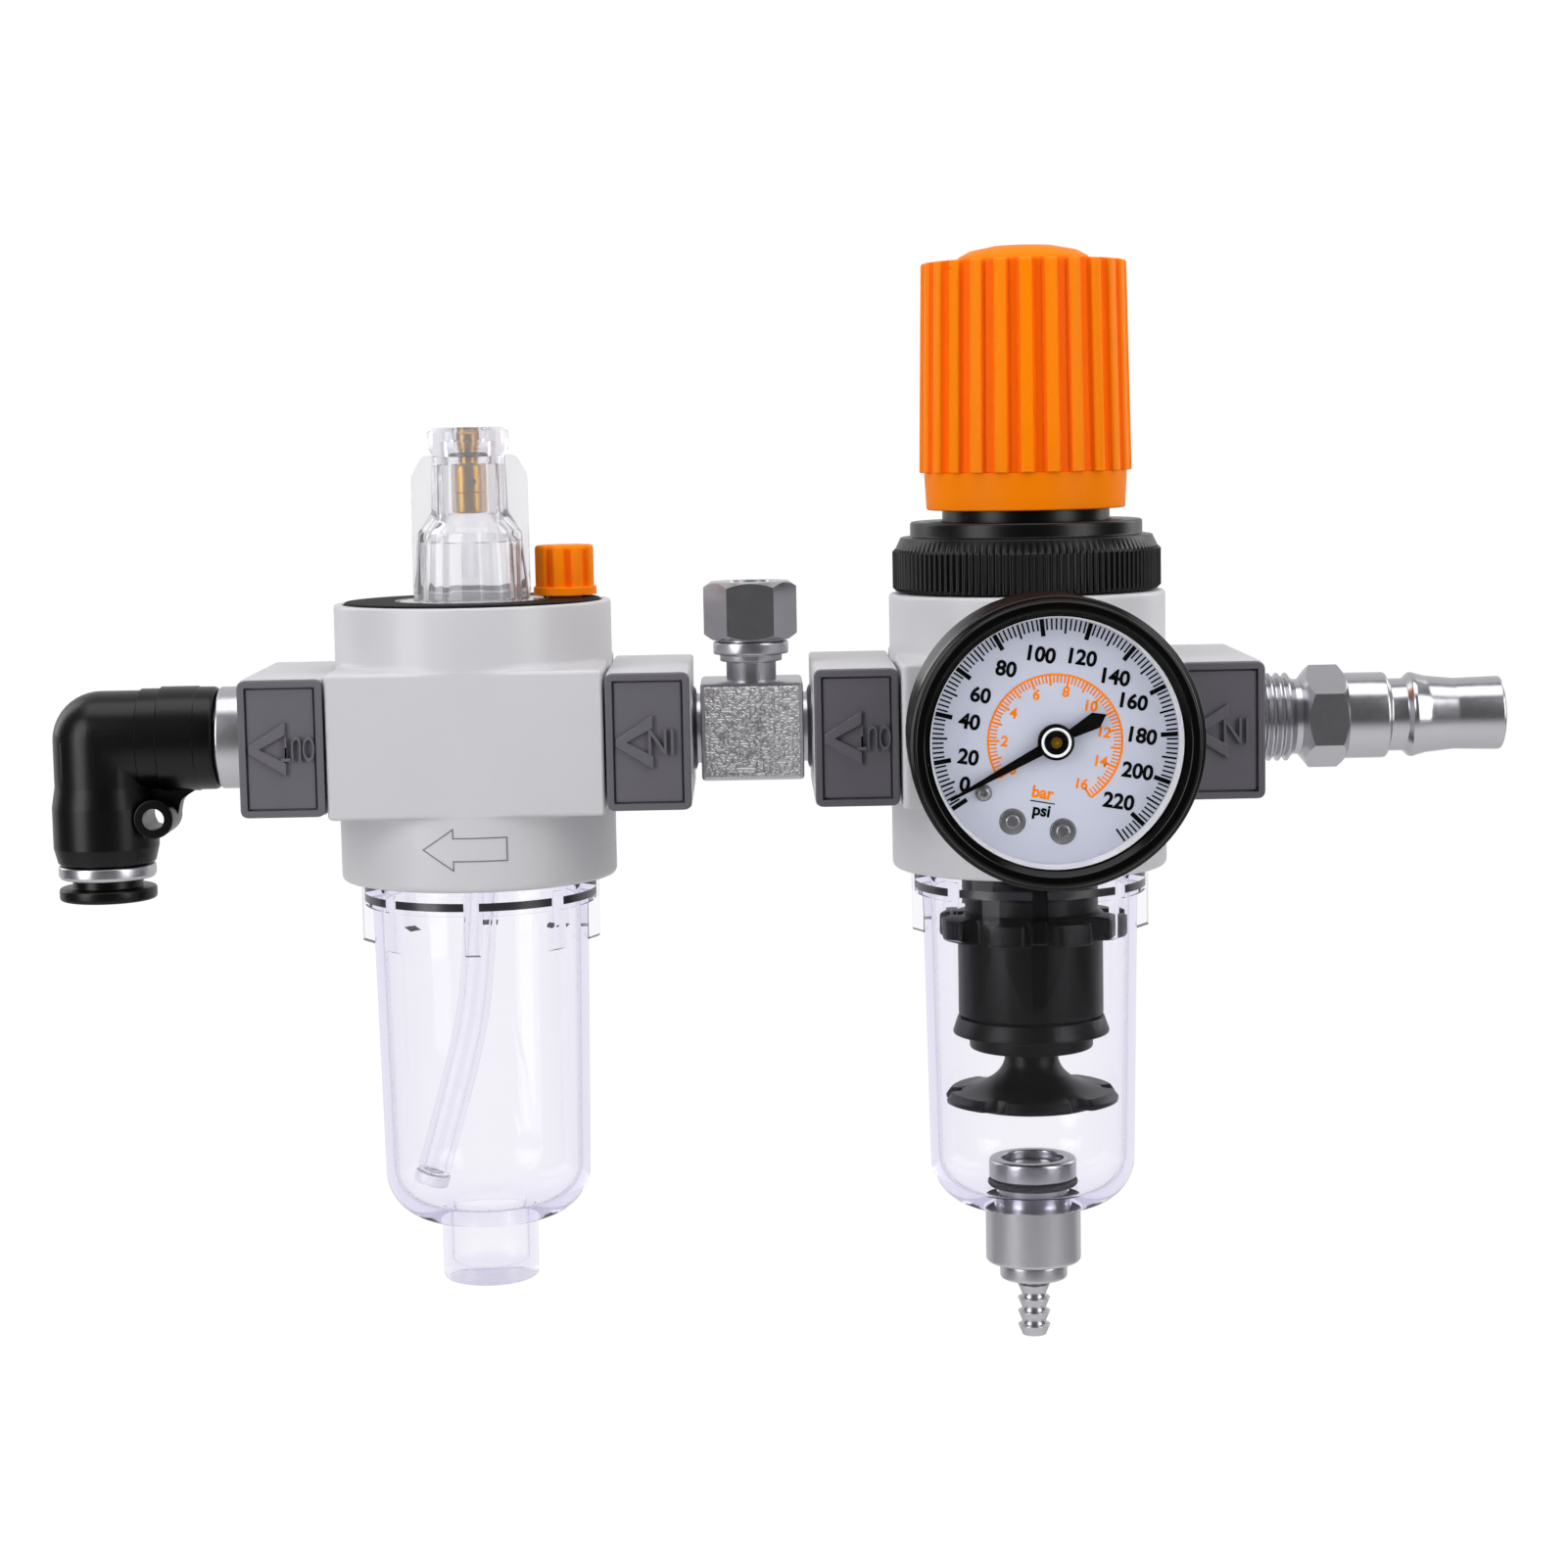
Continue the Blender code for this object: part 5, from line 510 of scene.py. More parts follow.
def casting(name, at, top):
    upper = [(BODY_RADIUS, level) for level in waist_levels()]
    lower = [(BODY_RADIUS, -level) for level in reversed(waist_levels())]
    foot = [
        (BODY_RADIUS, BODY_BOTTOM, 1.0 * MM), (SOCKET_RADIUS, BODY_BOTTOM, 0.4 * MM),
        (SOCKET_RADIUS, SOCKET_ROOF), (0, SOCKET_ROOF),
    ]
    piece = spun(name, top + upper + lower + foot, sides=2 * FINE, angle=CAST_EDGE)
    reshape(piece, waist)
    return place(piece, at)


def castings():
    top = [(0, BODY_TOP), (BODY_RADIUS, BODY_TOP, 0.7 * MM)]
    dress(casting("regulator_casting", (0, 0, 0), top), "cast_body", "frame", "regulator_body")
    floor, socket, hole = TOP_LOW.z - SEAM, DOME_LOW.z - SEAM, 8.3 * MM
    rim = TOP_RADIUS + SEAM
    top = [
        (0, socket), (hole, socket), (hole, floor), (rim, floor),
        (rim, BODY_TOP, 0.15 * MM), (BODY_RADIUS, BODY_TOP, 0.5 * MM),
    ]
    piece = casting("lubricator_casting", LUB_AT, top)
    drill = rod("fill_drill", 3.1 * MM, FILL_LOW.z - SEAM, 30 * MM)
    carve(piece, place(drill, FILL_AT), angle=CAST_EDGE)
    dress(piece, "cast_body", "frame", "lubricator_body")


def flow_arrow():
    """Thin outline of the flow arrow, laid on the round front of the lubricator."""
    middle, half_head, half_shaft = -15.05 * MM, 3.15 * MM, 1.75 * MM
    tip, neck, tail = -6.6 * MM, -2.0 * MM, 5.7 * MM
    line = 0.16 * MM
    corners = [
        (tip, middle), (neck, middle - half_head), (neck, middle - half_shaft), (tail, middle - half_shaft),
        (tail, middle + half_shaft), (neck, middle + half_shaft), (neck, middle + half_head),
    ]
    piece = chain("flow_arrow", [(x, z, 0) for x, z in corners])
    bpy.ops.mesh.edge_face_add()
    bpy.ops.mesh.inset(thickness=line)
    bpy.ops.mesh.delete(type="ONLY_FACE")
    bpy.ops.mesh.select_all(action="SELECT")
    bpy.ops.mesh.subdivide(number_cuts=6)
    bpy.ops.mesh.extrude_region_move(TRANSFORM_OT_translate={"value": (0, 0, 0.1 * MM)})
    leave_edit()
    for vert in piece.data.vertices:
        out = math.sqrt(BODY_RADIUS ** 2 - vert.co.x ** 2) + vert.co.z - 0.05 * MM
        vert.co = (vert.co.x, -out, vert.co.y)
    dress(place(piece, LUB_AT), "grey_print_and_shadow", "frame")


# Port plates and covers

WORDS_OF_PORT = {
    "regulator_inlet": "IN", "regulator_outlet": "OUT", "lubricator_inlet": "IN", "lubricator_outlet": "OUT",
}


def cover_mark(name, words, middle, front):
    """Raised arrow head and words of a port cover, which read upside down on the hung unit."""
    reach, arm, tip, half, left = 5.3 * MM, 1.9 * MM, 0.55 * MM, 3.9 * MM, -4.6 * MM
    relief = 0.55 * MM
    corners = [
        (left, tip), (left + reach, half), (left + reach, half - arm), (left + 1.5 * MM, 0),
        (left + reach, arm - half), (left + reach, -half), (left, -tip),
    ]
    head = raised(f"{name}_arrow", corners, 0, relief)
    soften(head, 0.12 * MM, 2)
    width = 1.2 * MM + 1.2 * MM * len(words)
    letters = lettering(f"{name}_letters", words, 3.6 * MM, relief, width=width)
    letters.data.transform(Matrix.Rotation(math.pi, 4, "Z"))
    letters.data.transform(Matrix.Translation((width / 2 + 0.05 * MM, 0, 0)))
    for piece in (head, letters):
        dress(place(piece, (middle, front, 0), "-Y"), "dark_cover", "frame")


def port_pieces(name, words):
    """Light plate with a bored port, and the dark framed cover on its front."""
    low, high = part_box(f"{name}_port_plate")
    piece = block(f"{name}_plate", low, high)
    soften(piece, 0.5 * MM)
    drill = rod(f"{name}_drill", 6.9 * MM, -MM, 14 * MM)
    carve(piece, place(drill, (low.x, 0, 0), "X"))
    dress(piece, "cast_body", "frame", f"{name}_port_plate")
    low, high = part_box(f"{name}_port_cover")
    bend, rim, groove, line, recess = 1.2 * MM, 1.0 * MM, 0.8 * MM, 0.3 * MM, 0.35 * MM
    corners = [(x, z, bend) for x, z in ((low.x, low.z), (high.x, low.z), (high.x, high.z), (low.x, high.z))]
    piece = raised(f"{name}_cover", corners, -high.y, -low.y)
    soften(piece, 0.2 * MM)
    place(piece, axis="-Y")

    def panel(label, inset, depth):
        near = (low.x + inset, low.y - MM, low.z + inset)
        far = (high.x - inset, low.y + depth, high.z - inset)
        return block(label, near, far)

    frame_cut = panel(f"{name}_groove", rim, groove)
    carve(frame_cut, panel(f"{name}_panel", rim + line, 2 * groove))
    carve(piece, frame_cut)
    carve(piece, panel(f"{name}_recess", rim + line / 2, recess))
    dress(piece, "dark_cover", "frame", f"{name}_port_cover")
    cover_mark(name, words, (low.x + high.x) / 2, low.y + recess)


# Regulator top

KNOB_LOW, KNOB_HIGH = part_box("pressure_knob")
NUT_LOW, NUT_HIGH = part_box("bonnet_ring_nut")
BONNET_RADIUS = 12.4 * MM


def toothed(turn, count, share, flank):
    """Height from 0 to 1 of ribs round an axis, each filling its share of the step between soft flanks."""
    along = abs((turn * count / math.tau) % 1.0 - 0.5) * 2
    return max(0.0, min(1.0, (share - along) / flank + 0.5))


def regulator_top():
    _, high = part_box("regulator_bonnet")
    hidden = NUT_HIGH.z - 4 * MM
    outline = [(0, hidden), (BONNET_RADIUS, hidden), (BONNET_RADIUS, high.z, 0.6 * MM), (0, high.z)]
    dress(spun("bonnet_neck", outline), "black_plastic", "frame", "regulator_bonnet")
    radius, teeth, tooth = (NUT_HIGH.x - NUT_LOW.x) / 2, 120, 0.5 * MM
    knurl_top, chamfer_top = 26.2 * MM, 27.8 * MM
    shoulder, step = 18.65 * MM, 17.2 * MM
    inner = BONNET_RADIUS + SEAM
    foot, top = NUT_LOW.z, NUT_HIGH.z
    outline = [
        (inner, foot), (radius - tooth, foot), (radius, foot + tooth), (radius, knurl_top - tooth),
        (radius - tooth, knurl_top), (shoulder, chamfer_top, 0.3 * MM),
        (step, chamfer_top + 0.2 * MM, 0.2 * MM),
        (step, top, 0.5 * MM), (inner, top),
    ]
    piece = spun("ring_nut", outline, sides=teeth * 6, angle=CRISP)

    def knurl(turn, reach, height):
        cut = reach > radius - 0.01 * MM
        return reach - (tooth * (1 - toothed(turn, teeth, 0.42, 0.5)) if cut else 0), height

    reshape(piece, knurl)
    dress(piece, "black_plastic", "frame", "bonnet_ring_nut")


def coil(node):
    """Copy of a plain spring."""
    deselect()
    piece = bpy.data.objects.new(f"{node}_coil", frame["nodes"][node].data.copy())
    bpy.context.collection.objects.link(piece)
    pick(piece)
    bpy.ops.object.mode_set(mode="EDIT")
    leave_edit()
    dress(piece, "steel", "frame", node)
    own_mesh(piece)


def regulator_inside():
    """Springs, and a diaphragm whose middle goes with its plate."""
    coil("adjusting_spring")
    coil("valve_spring")
    low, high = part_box("diaphragm")
    plate_low, plate_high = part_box("diaphragm_plate")
    radius, fold, hole = (high.x - low.x) / 2, (plate_high.x - plate_low.x) / 2 + SEAM, 2.2 * MM
    rim = [(fold + SEAM, low.z, SEAM), (radius, low.z), (radius, high.z), (fold + SEAM, high.z, SEAM)]
    dress(spun("diaphragm_rim", rim), "rubber", "frame", "diaphragm")
    disc = [(hole, low.z), (fold, low.z, SEAM), (fold, high.z, SEAM), (hole, high.z)]
    dress(spun("diaphragm_middle", disc), "rubber", "diaphragm_disc")


def knob():
    foot, top = KNOB_LOW.z, KNOB_HIGH.z
    skirt_foot, skirt, rib_foot, rib_top = 14.7 * MM, 15.0 * MM, 15.7 * MM, 15.1 * MM
    rib_low, rib_high, depth, ribs = foot + 5.5 * MM, top - 2.6 * MM, 0.95 * MM, 25
    dome = 9.9 * MM
    bore, bore_top = BONNET_RADIUS + SEAM, foot + 28.1 * MM
    seat, seat_top = 3.6 * MM, top - 3.6 * MM
    outline = [
        (0, top), (dome * 0.45, top - 0.25 * MM), (dome * 0.8, top - 0.95 * MM),
        (dome * 0.96, top - 1.8 * MM),
        (dome, rib_high + 0.15 * MM, 0.3 * MM), (rib_top - 1.2 * MM, rib_high + 0.1 * MM),
        (rib_top, rib_high, 0.45 * MM), (rib_foot, rib_low + 0.12 * MM), (rib_foot - 0.1 * MM, rib_low),
        (skirt, rib_low - 0.02 * MM), (skirt_foot, foot, 0.3 * MM), (bore, foot), (bore, bore_top),
        (seat, bore_top), (seat, seat_top), (0, seat_top),
    ]
    piece = spun("knob_grip", outline, sides=ribs * 16, angle=CRISP)

    def rib(turn, reach, height):
        if height < rib_low - 0.01 * MM or reach < rib_top - 0.9 * MM:
            return reach, height
        return reach - depth * (1 - toothed(turn, ribs, 0.53, 0.16)), height

    reshape(piece, rib)
    dress(piece, "orange_plastic", "knob", "pressure_knob")
    lean = (rib_top - rib_foot) / (rib_high - rib_low)

    # Faces deep in the valleys between the ribs get the deeper orange: painted shade in the grooves.
    def valley(reach, height, _):
        crest = rib_foot + lean * (height - rib_low)
        return rib_low < height < rib_high and crest - 1.3 * depth < reach < crest - 0.6 * depth

    second_finish(piece, "painted_shade_orange", valley)


# Pressure gauge: made with its face along Z, then turned to face the front

BEZEL_LOW, BEZEL_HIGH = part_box("gauge_bezel")
GAUGE_Z = (BEZEL_LOW.z + BEZEL_HIGH.z) / 2
GAUGE_AT = (0, 0, GAUGE_Z)
BEZEL_RADIUS = (BEZEL_HIGH.x - BEZEL_LOW.x) / 2
DIAL_FRONT = -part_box("gauge_dial")[0].y
ZERO_TURN = math.radians(212.5)
PSI_STEP = math.radians(1.167)
BAR_STEP = PSI_STEP * 14.5
DIAL_TILT = math.radians(-10)
PRINT = 0.04 * MM
DIAL_WEIGHT = 0.034
NUMBER_LEAN = {0: -8, 60: 4.5, 80: 4, 100: 2.3, 120: -1.4, 140: -3.4}


def on_gauge(piece, name, body, *nodes):
    return dress(place(piece, GAUGE_AT, "-Y"), name, body, *nodes)


def dial_marks(name, turns, start, end, width, colour):
    """Copies of one short bar set round the dial at the given turns."""
    first = block(name, (start, -width / 2, 0), (end, width / 2, PRINT))
    bars = [first] + [twin(first, f"{name}_{count}") for count in range(1, len(turns))]
    for bar, turn in zip(bars, turns):
        bar.data.transform(Matrix.Translation((0, 0, DIAL_FRONT)) @ Matrix.Rotation(turn, 4, "Z"))
    on_gauge(fuse(name, bars), colour, "frame")


def dial_words(name, words, height, x, z, colour):
    piece = lettering(name, words, height, PRINT, DIAL_WEIGHT)
    spot = Matrix.Translation((x, z, DIAL_FRONT)) @ Matrix.Rotation(DIAL_TILT, 4, "Z")
    piece.data.transform(spot)
    return on_gauge(piece, colour, "frame")


def gauge_case():
    front, back = -BEZEL_LOW.y, -BEZEL_HIGH.y
    low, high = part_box("gauge_case")
    radius = (high.x - low.x) / 2
    rear, collar, wall = -high.y, back - 0.3 * MM, 1.5 * MM
    opening, lens = 17.3 * MM, 18.2 * MM
    hole, seat = 4.3 * MM, lens - 0.7 * MM
    outline = [
        (hole, rear), (radius, rear, 2.0 * MM), (radius, collar, 0.2 * MM), (lens, collar),
        (lens, collar + 2 * MM), (seat, collar + 2 * MM), (seat, rear + wall), (hole, rear + wall),
    ]
    on_gauge(spun("gauge_shell", outline), "black_plastic", "frame", "gauge_case")
    outline = [
        (lens + SEAM, back), (BEZEL_RADIUS, back, 0.15 * MM), (BEZEL_RADIUS, front - 1.5 * MM, 0.35 * MM),
        (BEZEL_RADIUS - 0.55 * MM, front - 1.2 * MM, 0.12 * MM), (BEZEL_RADIUS - 0.7 * MM, front, 0.7 * MM),
        (opening + 0.8 * MM, front - 0.1 * MM, 0.5 * MM), (opening, front - 1.0 * MM),
        (lens + SEAM, front - 1.0 * MM),
    ]
    on_gauge(spun("gauge_rim", outline, 160), "gloss_black", "frame", "gauge_bezel")
    low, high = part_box("gauge_lens")
    rise = 0.35 * MM
    outline = [
        (0, -high.y), (lens, -high.y), (lens, -low.y - rise), (lens * 0.6, -low.y - rise * 0.4),
        (0, -low.y),
    ]
    on_gauge(spun("gauge_glass", outline), "thin_clear", "frame", "gauge_lens")
    # A thin white ring at the dial's edge: a painted highlight standing in for the lens edge's reflection.
    ring = [
        (opening - 0.42 * MM, DIAL_FRONT + 0.05 * MM), (opening - 0.05 * MM, DIAL_FRONT + 0.05 * MM),
        (opening - 0.05 * MM, -high.y - 0.1 * MM), (opening - 0.2 * MM, -high.y - 0.1 * MM),
    ]
    on_gauge(spun("dial_edge_highlight", ring), "white_ring_and_highlight", "frame")


def gauge_dial():
    low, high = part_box("gauge_dial")
    radius, hole = (high.x - low.x) / 2, 1.1 * MM
    on_gauge(tube("dial_disc", hole, radius, -high.y, DIAL_FRONT), "dial_paint", "frame", "gauge_dial")
    steps = range(0, 231, 2)
    minor = [ZERO_TURN - PSI_STEP * psi for psi in steps if psi % 10]
    middle = [ZERO_TURN - PSI_STEP * psi for psi in steps if psi % 10 == 0 and psi % 20]
    major = [ZERO_TURN - PSI_STEP * psi for psi in steps if psi % 20 == 0]
    outer = 16.75 * MM
    dial_marks("psi_minor", minor, 15.2 * MM, outer, 0.24 * MM, "black_print")
    dial_marks("psi_middle", middle, 14.7 * MM, outer, 0.28 * MM, "black_print")
    dial_marks("psi_major", major, 14.4 * MM, outer, 0.62 * MM, "black_print")
    for psi in range(0, 221, 20):
        turn = ZERO_TURN - PSI_STEP * psi + math.radians(NUMBER_LEAN.get(psi, 0))
        reach = 12.0 * MM if psi else 13.6 * MM
        dial_words(f"psi_{psi}", str(psi), 2.2 * MM, *on_circle(reach, turn), "black_print")
    arc, bars = 9.0 * MM, [ZERO_TURN - BAR_STEP * count / 5 for count in range(81)]
    minor = [turn for count, turn in enumerate(bars) if count % 5]
    dial_marks("bar_minor", minor, arc - 1.0 * MM, arc, 0.2 * MM, "orange_print")
    dial_marks("bar_major", bars[::5], arc - 1.4 * MM, arc, 0.3 * MM, "orange_print")
    spots = [on_circle(arc, turn) for turn in bars]
    wide = [on_circle(arc + 0.28 * MM, turn) for turn in bars]
    line = raised("bar_line", spots + wide[::-1], DIAL_FRONT, DIAL_FRONT + PRINT)
    on_gauge(line, "orange_print", "frame")
    for bar in range(0, 17, 2):
        spot = on_circle(6.9 * MM, ZERO_TURN - BAR_STEP * bar)
        dial_words(f"bar_{bar}", str(bar), 1.5 * MM, *spot, "orange_print")
    dial_words("unit_bar", "bar", 1.7 * MM, -1.7 * MM, -7.0 * MM, "orange_print")
    line = block("unit_line", (-1.7 * MM, -0.08 * MM, 0), (1.7 * MM, 0.08 * MM, PRINT))
    spot = Matrix.Translation((-1.8 * MM, -8.3 * MM, DIAL_FRONT))
    line.data.transform(spot @ Matrix.Rotation(DIAL_TILT, 4, "Z"))
    on_gauge(line, "black_print", "frame")
    dial_words("unit_psi", "psi", 2.1 * MM, -2.0 * MM, -9.7 * MM, "black_print")


def gauge_hand():
    low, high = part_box("gauge_needle")
    foot = -high.y
    turn, thick = math.radians(208), 0.35 * MM
    length, tail = 16.4 * MM, 7.8 * MM
    side = [(length, 0.16 * MM), (1.5 * MM, 0.75 * MM), (-2.2 * MM, 0.6 * MM), (-6.2 * MM, 1.15 * MM)]
    other_side = [(along, -across) for along, across in reversed(side)]
    blade = raised("needle_blade", [*side, (-tail, 0), *other_side], foot, foot + thick)
    soften(blade, 0.06 * MM, 2)
    blade.data.transform(Matrix.Rotation(turn, 4, "Z"))
    on_gauge(blade, "black_print", "needle", "gauge_needle")
    hub, top = 2.46 * MM, -low.y
    outline = [
        (0, foot - 0.3 * MM), (hub, foot - 0.3 * MM), (hub, top - 0.35 * MM, 0.2 * MM),
        (hub - 0.35 * MM, top - 0.15 * MM, 0.1 * MM), (hub - 0.6 * MM, top - 0.3 * MM), (0, top - 0.3 * MM),
    ]
    on_gauge(spun("needle_hub", outline, SMALL), "black_print", "needle")
    outline = [
        (hub - 0.42 * MM, top - 0.14 * MM), (hub - 0.58 * MM, top - 0.02 * MM),
        (hub - 0.8 * MM, top - 0.28 * MM),
    ]
    on_gauge(spun("hub_ring", outline, SMALL), "white_ring_and_highlight", "needle")
    pin, pin_foot = 0.3 * MM, top - 0.3 * MM
    outline = [(0, pin_foot), (pin, pin_foot), (pin, top, 0.15 * MM), (0, top + 0.05 * MM)]
    on_gauge(spun("needle_pin", outline, SMALL), "brass", "needle")


def button_screw(name, node, radius, button, height):
    """Button head on a thin washer, with a hexagon socket, and a thin grey ring of painted shadow round the
    washer on the dial.
    """
    low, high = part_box(node)
    at = ((low.x + high.x) / 2, 0, (low.z + high.z) / 2)
    foot = DIAL_FRONT
    outline = [
        (0, foot), (radius, foot), (radius, foot + 0.15 * MM, 0.05 * MM), (button, foot + 0.18 * MM),
        (button, foot + height, 0.3 * MM), (0, foot + height),
    ]
    piece = spun(f"{name}_head", outline, SMALL)
    carve(piece, raised(f"{name}_socket", six_corners(button * 0.5), foot + height * 0.5, foot + 2 * height))
    dress(place(piece, at, "-Y"), "steel", "frame", node)
    # Painted shadow: a thin grey ring round the washer on the dial face.
    edge = tube(f"{name}_edge", radius, radius + 0.18 * MM, foot, foot + PRINT, SMALL)
    dress(place(edge, at, "-Y"), "grey_print_and_shadow", "frame")


# Tee and plug

TEE_LOW, TEE_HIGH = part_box("tee_block")
TEE_X = (TEE_LOW.x + TEE_HIGH.x) / 2
TEE_AT = (TEE_X, 0, 0)
HEX_SPARE = 0.2 * MM


def thread(radius, start, end, pitch=1.3 * MM, depth=0.62 * MM):
    """Half section of a thread from start to end as a row of crests with narrow flats."""
    corners = []
    count = max(1, round((end - start) / pitch))
    step = (end - start) / count
    for turn in range(count):
        foot = start + turn * step
        corners += [
            (radius - depth, foot + 0.06 * step), (radius, foot + 0.42 * step),
            (radius, foot + 0.58 * step), (radius - depth, foot + 0.94 * step),
        ]
    return corners


def hexagon(name, across, low, high, chamfer, share, bore):
    """Hexagon bar, a flat to the front, cut by one turned form: corner chamfers at both ends and a bore."""
    reach = across / math.sqrt(3)
    piece = raised(name, six_corners(reach), low, high)
    wide, start = reach * 1.02, across / 2 * share
    rise, narrow = (wide - start) * chamfer, start - HEX_SPARE / chamfer
    turned = [(narrow, low - HEX_SPARE), (wide, low + rise), (wide, high - rise), (narrow, high + HEX_SPARE)]
    carve(piece, spun(f"{name}_form", turned + bore), "INTERSECT", FLAT_EDGE)
    return piece


def tee():
    half_width, half_depth, half_height = 7.55 * MM, 7.5 * MM, 7.2 * MM
    body = block("tee_cube", (-half_width, -half_depth, -half_height), (half_width, half_depth, half_height))
    soften(body, 0.5 * MM, 2)
    face_width, face_height = half_width - 0.55 * MM, half_height - 0.55 * MM
    near, far = -half_depth - 0.12 * MM, -half_depth + 0.3 * MM
    face = block("tee_face", (-face_width, near, -face_height), (face_width, far, face_height))
    soften(face, 0.1 * MM, 1)
    stem, relief, collar, male = 3.7 * MM, 4.6 * MM, 5.6 * MM, 4.6 * MM
    outline = [
        (0, half_height - MM), (stem, half_height - MM), (stem, 9.9 * MM, 0.2 * MM),
        (relief, 10 * MM, 0.2 * MM),
        (relief, 11 * MM, 0.2 * MM), (collar, 11.05 * MM, 0.35 * MM), (collar, 12.9 * MM, 0.35 * MM),
        (male, 12.95 * MM), (male, TEE_HIGH.z, 0.4 * MM), (2.5 * MM, TEE_HIGH.z), (2.5 * MM, 9 * MM),
        (0, 9 * MM),
    ]
    riser = spun("tee_riser", outline)
    arms = []
    reach = (TEE_HIGH.x - TEE_LOW.x) / 2
    for way in ("X", "-X"):
        outline = [(0, half_width - MM), (5.2 * MM, half_width - MM), (5.2 * MM, half_width + 0.6 * MM)]
        outline += thread(6.55 * MM, half_width + 0.7 * MM, reach) + [(5.4 * MM, reach), (0, reach)]
        arms.append(place(spun(f"tee_arm_{way}", outline), axis=way))
    dress(place(fuse("tee_fitting", [body, riser, *arms]), TEE_AT), "satin", "frame", "tee_block")
    dress(place(face, TEE_AT), "forged", "frame")
    low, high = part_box("tee_nut")
    hole = 3.1 * MM
    bore = [
        (hole + 0.3 * MM, high.z + HEX_SPARE), (hole, high.z - 0.4 * MM), (hole, high.z - 1.7 * MM),
        (male + SEAM, high.z - 1.9 * MM), (male + SEAM, low.z - HEX_SPARE),
    ]
    nut = hexagon("tee_hexagon", 12.0 * MM, low.z, high.z, 0.75, 0.97, bore)
    dress(place(nut, TEE_AT), "nickel", "tee_nut", "tee_nut")
    low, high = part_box("tee_ferrule")
    inner, outer = 2.35 * MM, 4.2 * MM
    outline = [(inner, low.z), (outer, low.z, 0.2 * MM), (outer, high.z, 0.3 * MM), (inner, high.z, 0.2 * MM)]
    dress(place(spun("ferrule_ring", outline, SMALL), TEE_AT), "brass", "ferrule", "tee_ferrule")


def plug():
    low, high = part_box("inlet_plug")
    relief_end, hex_start, hex_end = 39.5 * MM, 40.4 * MM, 47.7 * MM
    groove, head, crest, waist_at = 53.3 * MM, 56.0 * MM, 57.0 * MM, 63.6 * MM
    body, relief, bore = 6.4 * MM, 5.6 * MM, 3.4 * MM
    outline = [(bore, low.x), (5.8 * MM, low.x)] + thread(6.58 * MM, low.x, relief_end - 0.4 * MM)
    outline += [
        (relief, relief_end), (relief, hex_start + MM), (relief, hex_end - MM), (body, hex_end - MM),
        (body, hex_end + 2.5 * MM), (body, groove, 0.9 * MM), (5.4 * MM, groove + 0.2 * MM, 0.4 * MM),
        (5.4 * MM, head, 0.5 * MM), (body, crest, 0.8 * MM),
        (5.75 * MM, (crest + waist_at) / 2 - MM, 4 * MM),
        (5.3 * MM, waist_at, 4 * MM), (5.5 * MM, high.x, 0.5 * MM), (bore, high.x, 0.5 * MM),
    ]
    stem = place(spun("plug_stem", outline), axis="X")
    hole = [(5.0 * MM, hex_end + HEX_SPARE), (5.0 * MM, hex_start - HEX_SPARE)]
    flats = hexagon("plug_hexagon", 13.3 * MM, hex_start, hex_end, 0.8, 0.86, hole)
    dress(fuse("plug_fitting", [stem, place(flats, axis="X")]), "nickel", "frame", "inlet_plug")


# Lubricator top

def lubricator_top():
    hole = 11.2 * MM
    edge = 0.25 * MM
    outline = [
        (hole, TOP_LOW.z), (TOP_RADIUS, TOP_LOW.z), (TOP_RADIUS, TOP_HIGH.z, edge),
        (hole, TOP_HIGH.z, edge),
    ]
    plate = dress(spun("top_disc", outline), "matt_black", "frame", "lubricator_top_plate")
    second_finish(plate, "cast_body", lambda reach, height, normal: reach < hole + 0.3 * MM)
    place(plate, LUB_AT)
    carve(plate, place(rod("plate_drill", 3.4 * MM, 0, 40 * MM), FILL_AT))
    fill_plug()
    sight_dome()
    drip_screw()


def fill_plug():
    top, flange_top, flutes = FILL_HIGH.z, FILL_HIGH.z - 6.2 * MM, 9
    foot, head, flange = flange_top - 0.2 * MM, 4.4 * MM, 4.7 * MM
    skirt, skirt_foot = flange - 0.2 * MM, TOP_HIGH.z + 0.3 * MM
    outline = [
        (0, FILL_LOW.z), (2.6 * MM, FILL_LOW.z), *thread(2.8 * MM, FILL_LOW.z, foot - MM, MM, 0.4 * MM),
        (2.4 * MM, foot), (skirt, foot), (skirt, skirt_foot), (flange, skirt_foot),
        (flange, flange_top, 0.2 * MM),
        (head, flange_top + 0.05 * MM), (head, flange_top + 2 * MM), (head, top, 1.2 * MM),
        (head * 0.7, top), (0, top),
    ]
    piece = spun("fill_cap", outline, sides=flutes * 16, angle=CRISP)

    def flute(turn, reach, height):
        if height < flange_top + 0.02 * MM or reach < head * 0.8:
            return reach, height
        return reach - 0.65 * MM * (1 - toothed(turn, flutes, 0.6, 0.25)), height

    reshape(piece, flute)
    dress(piece, "orange_plastic", "fill_plug", "fill_plug")

    # Faces in the flutes get the deeper orange: painted shade in the grooves.
    def groove(reach, height, _):
        return 3 * MM < reach < head - 0.35 * MM and flange_top < height < top - MM

    second_finish(piece, "painted_shade_orange", groove)
    place(piece, FILL_AT)


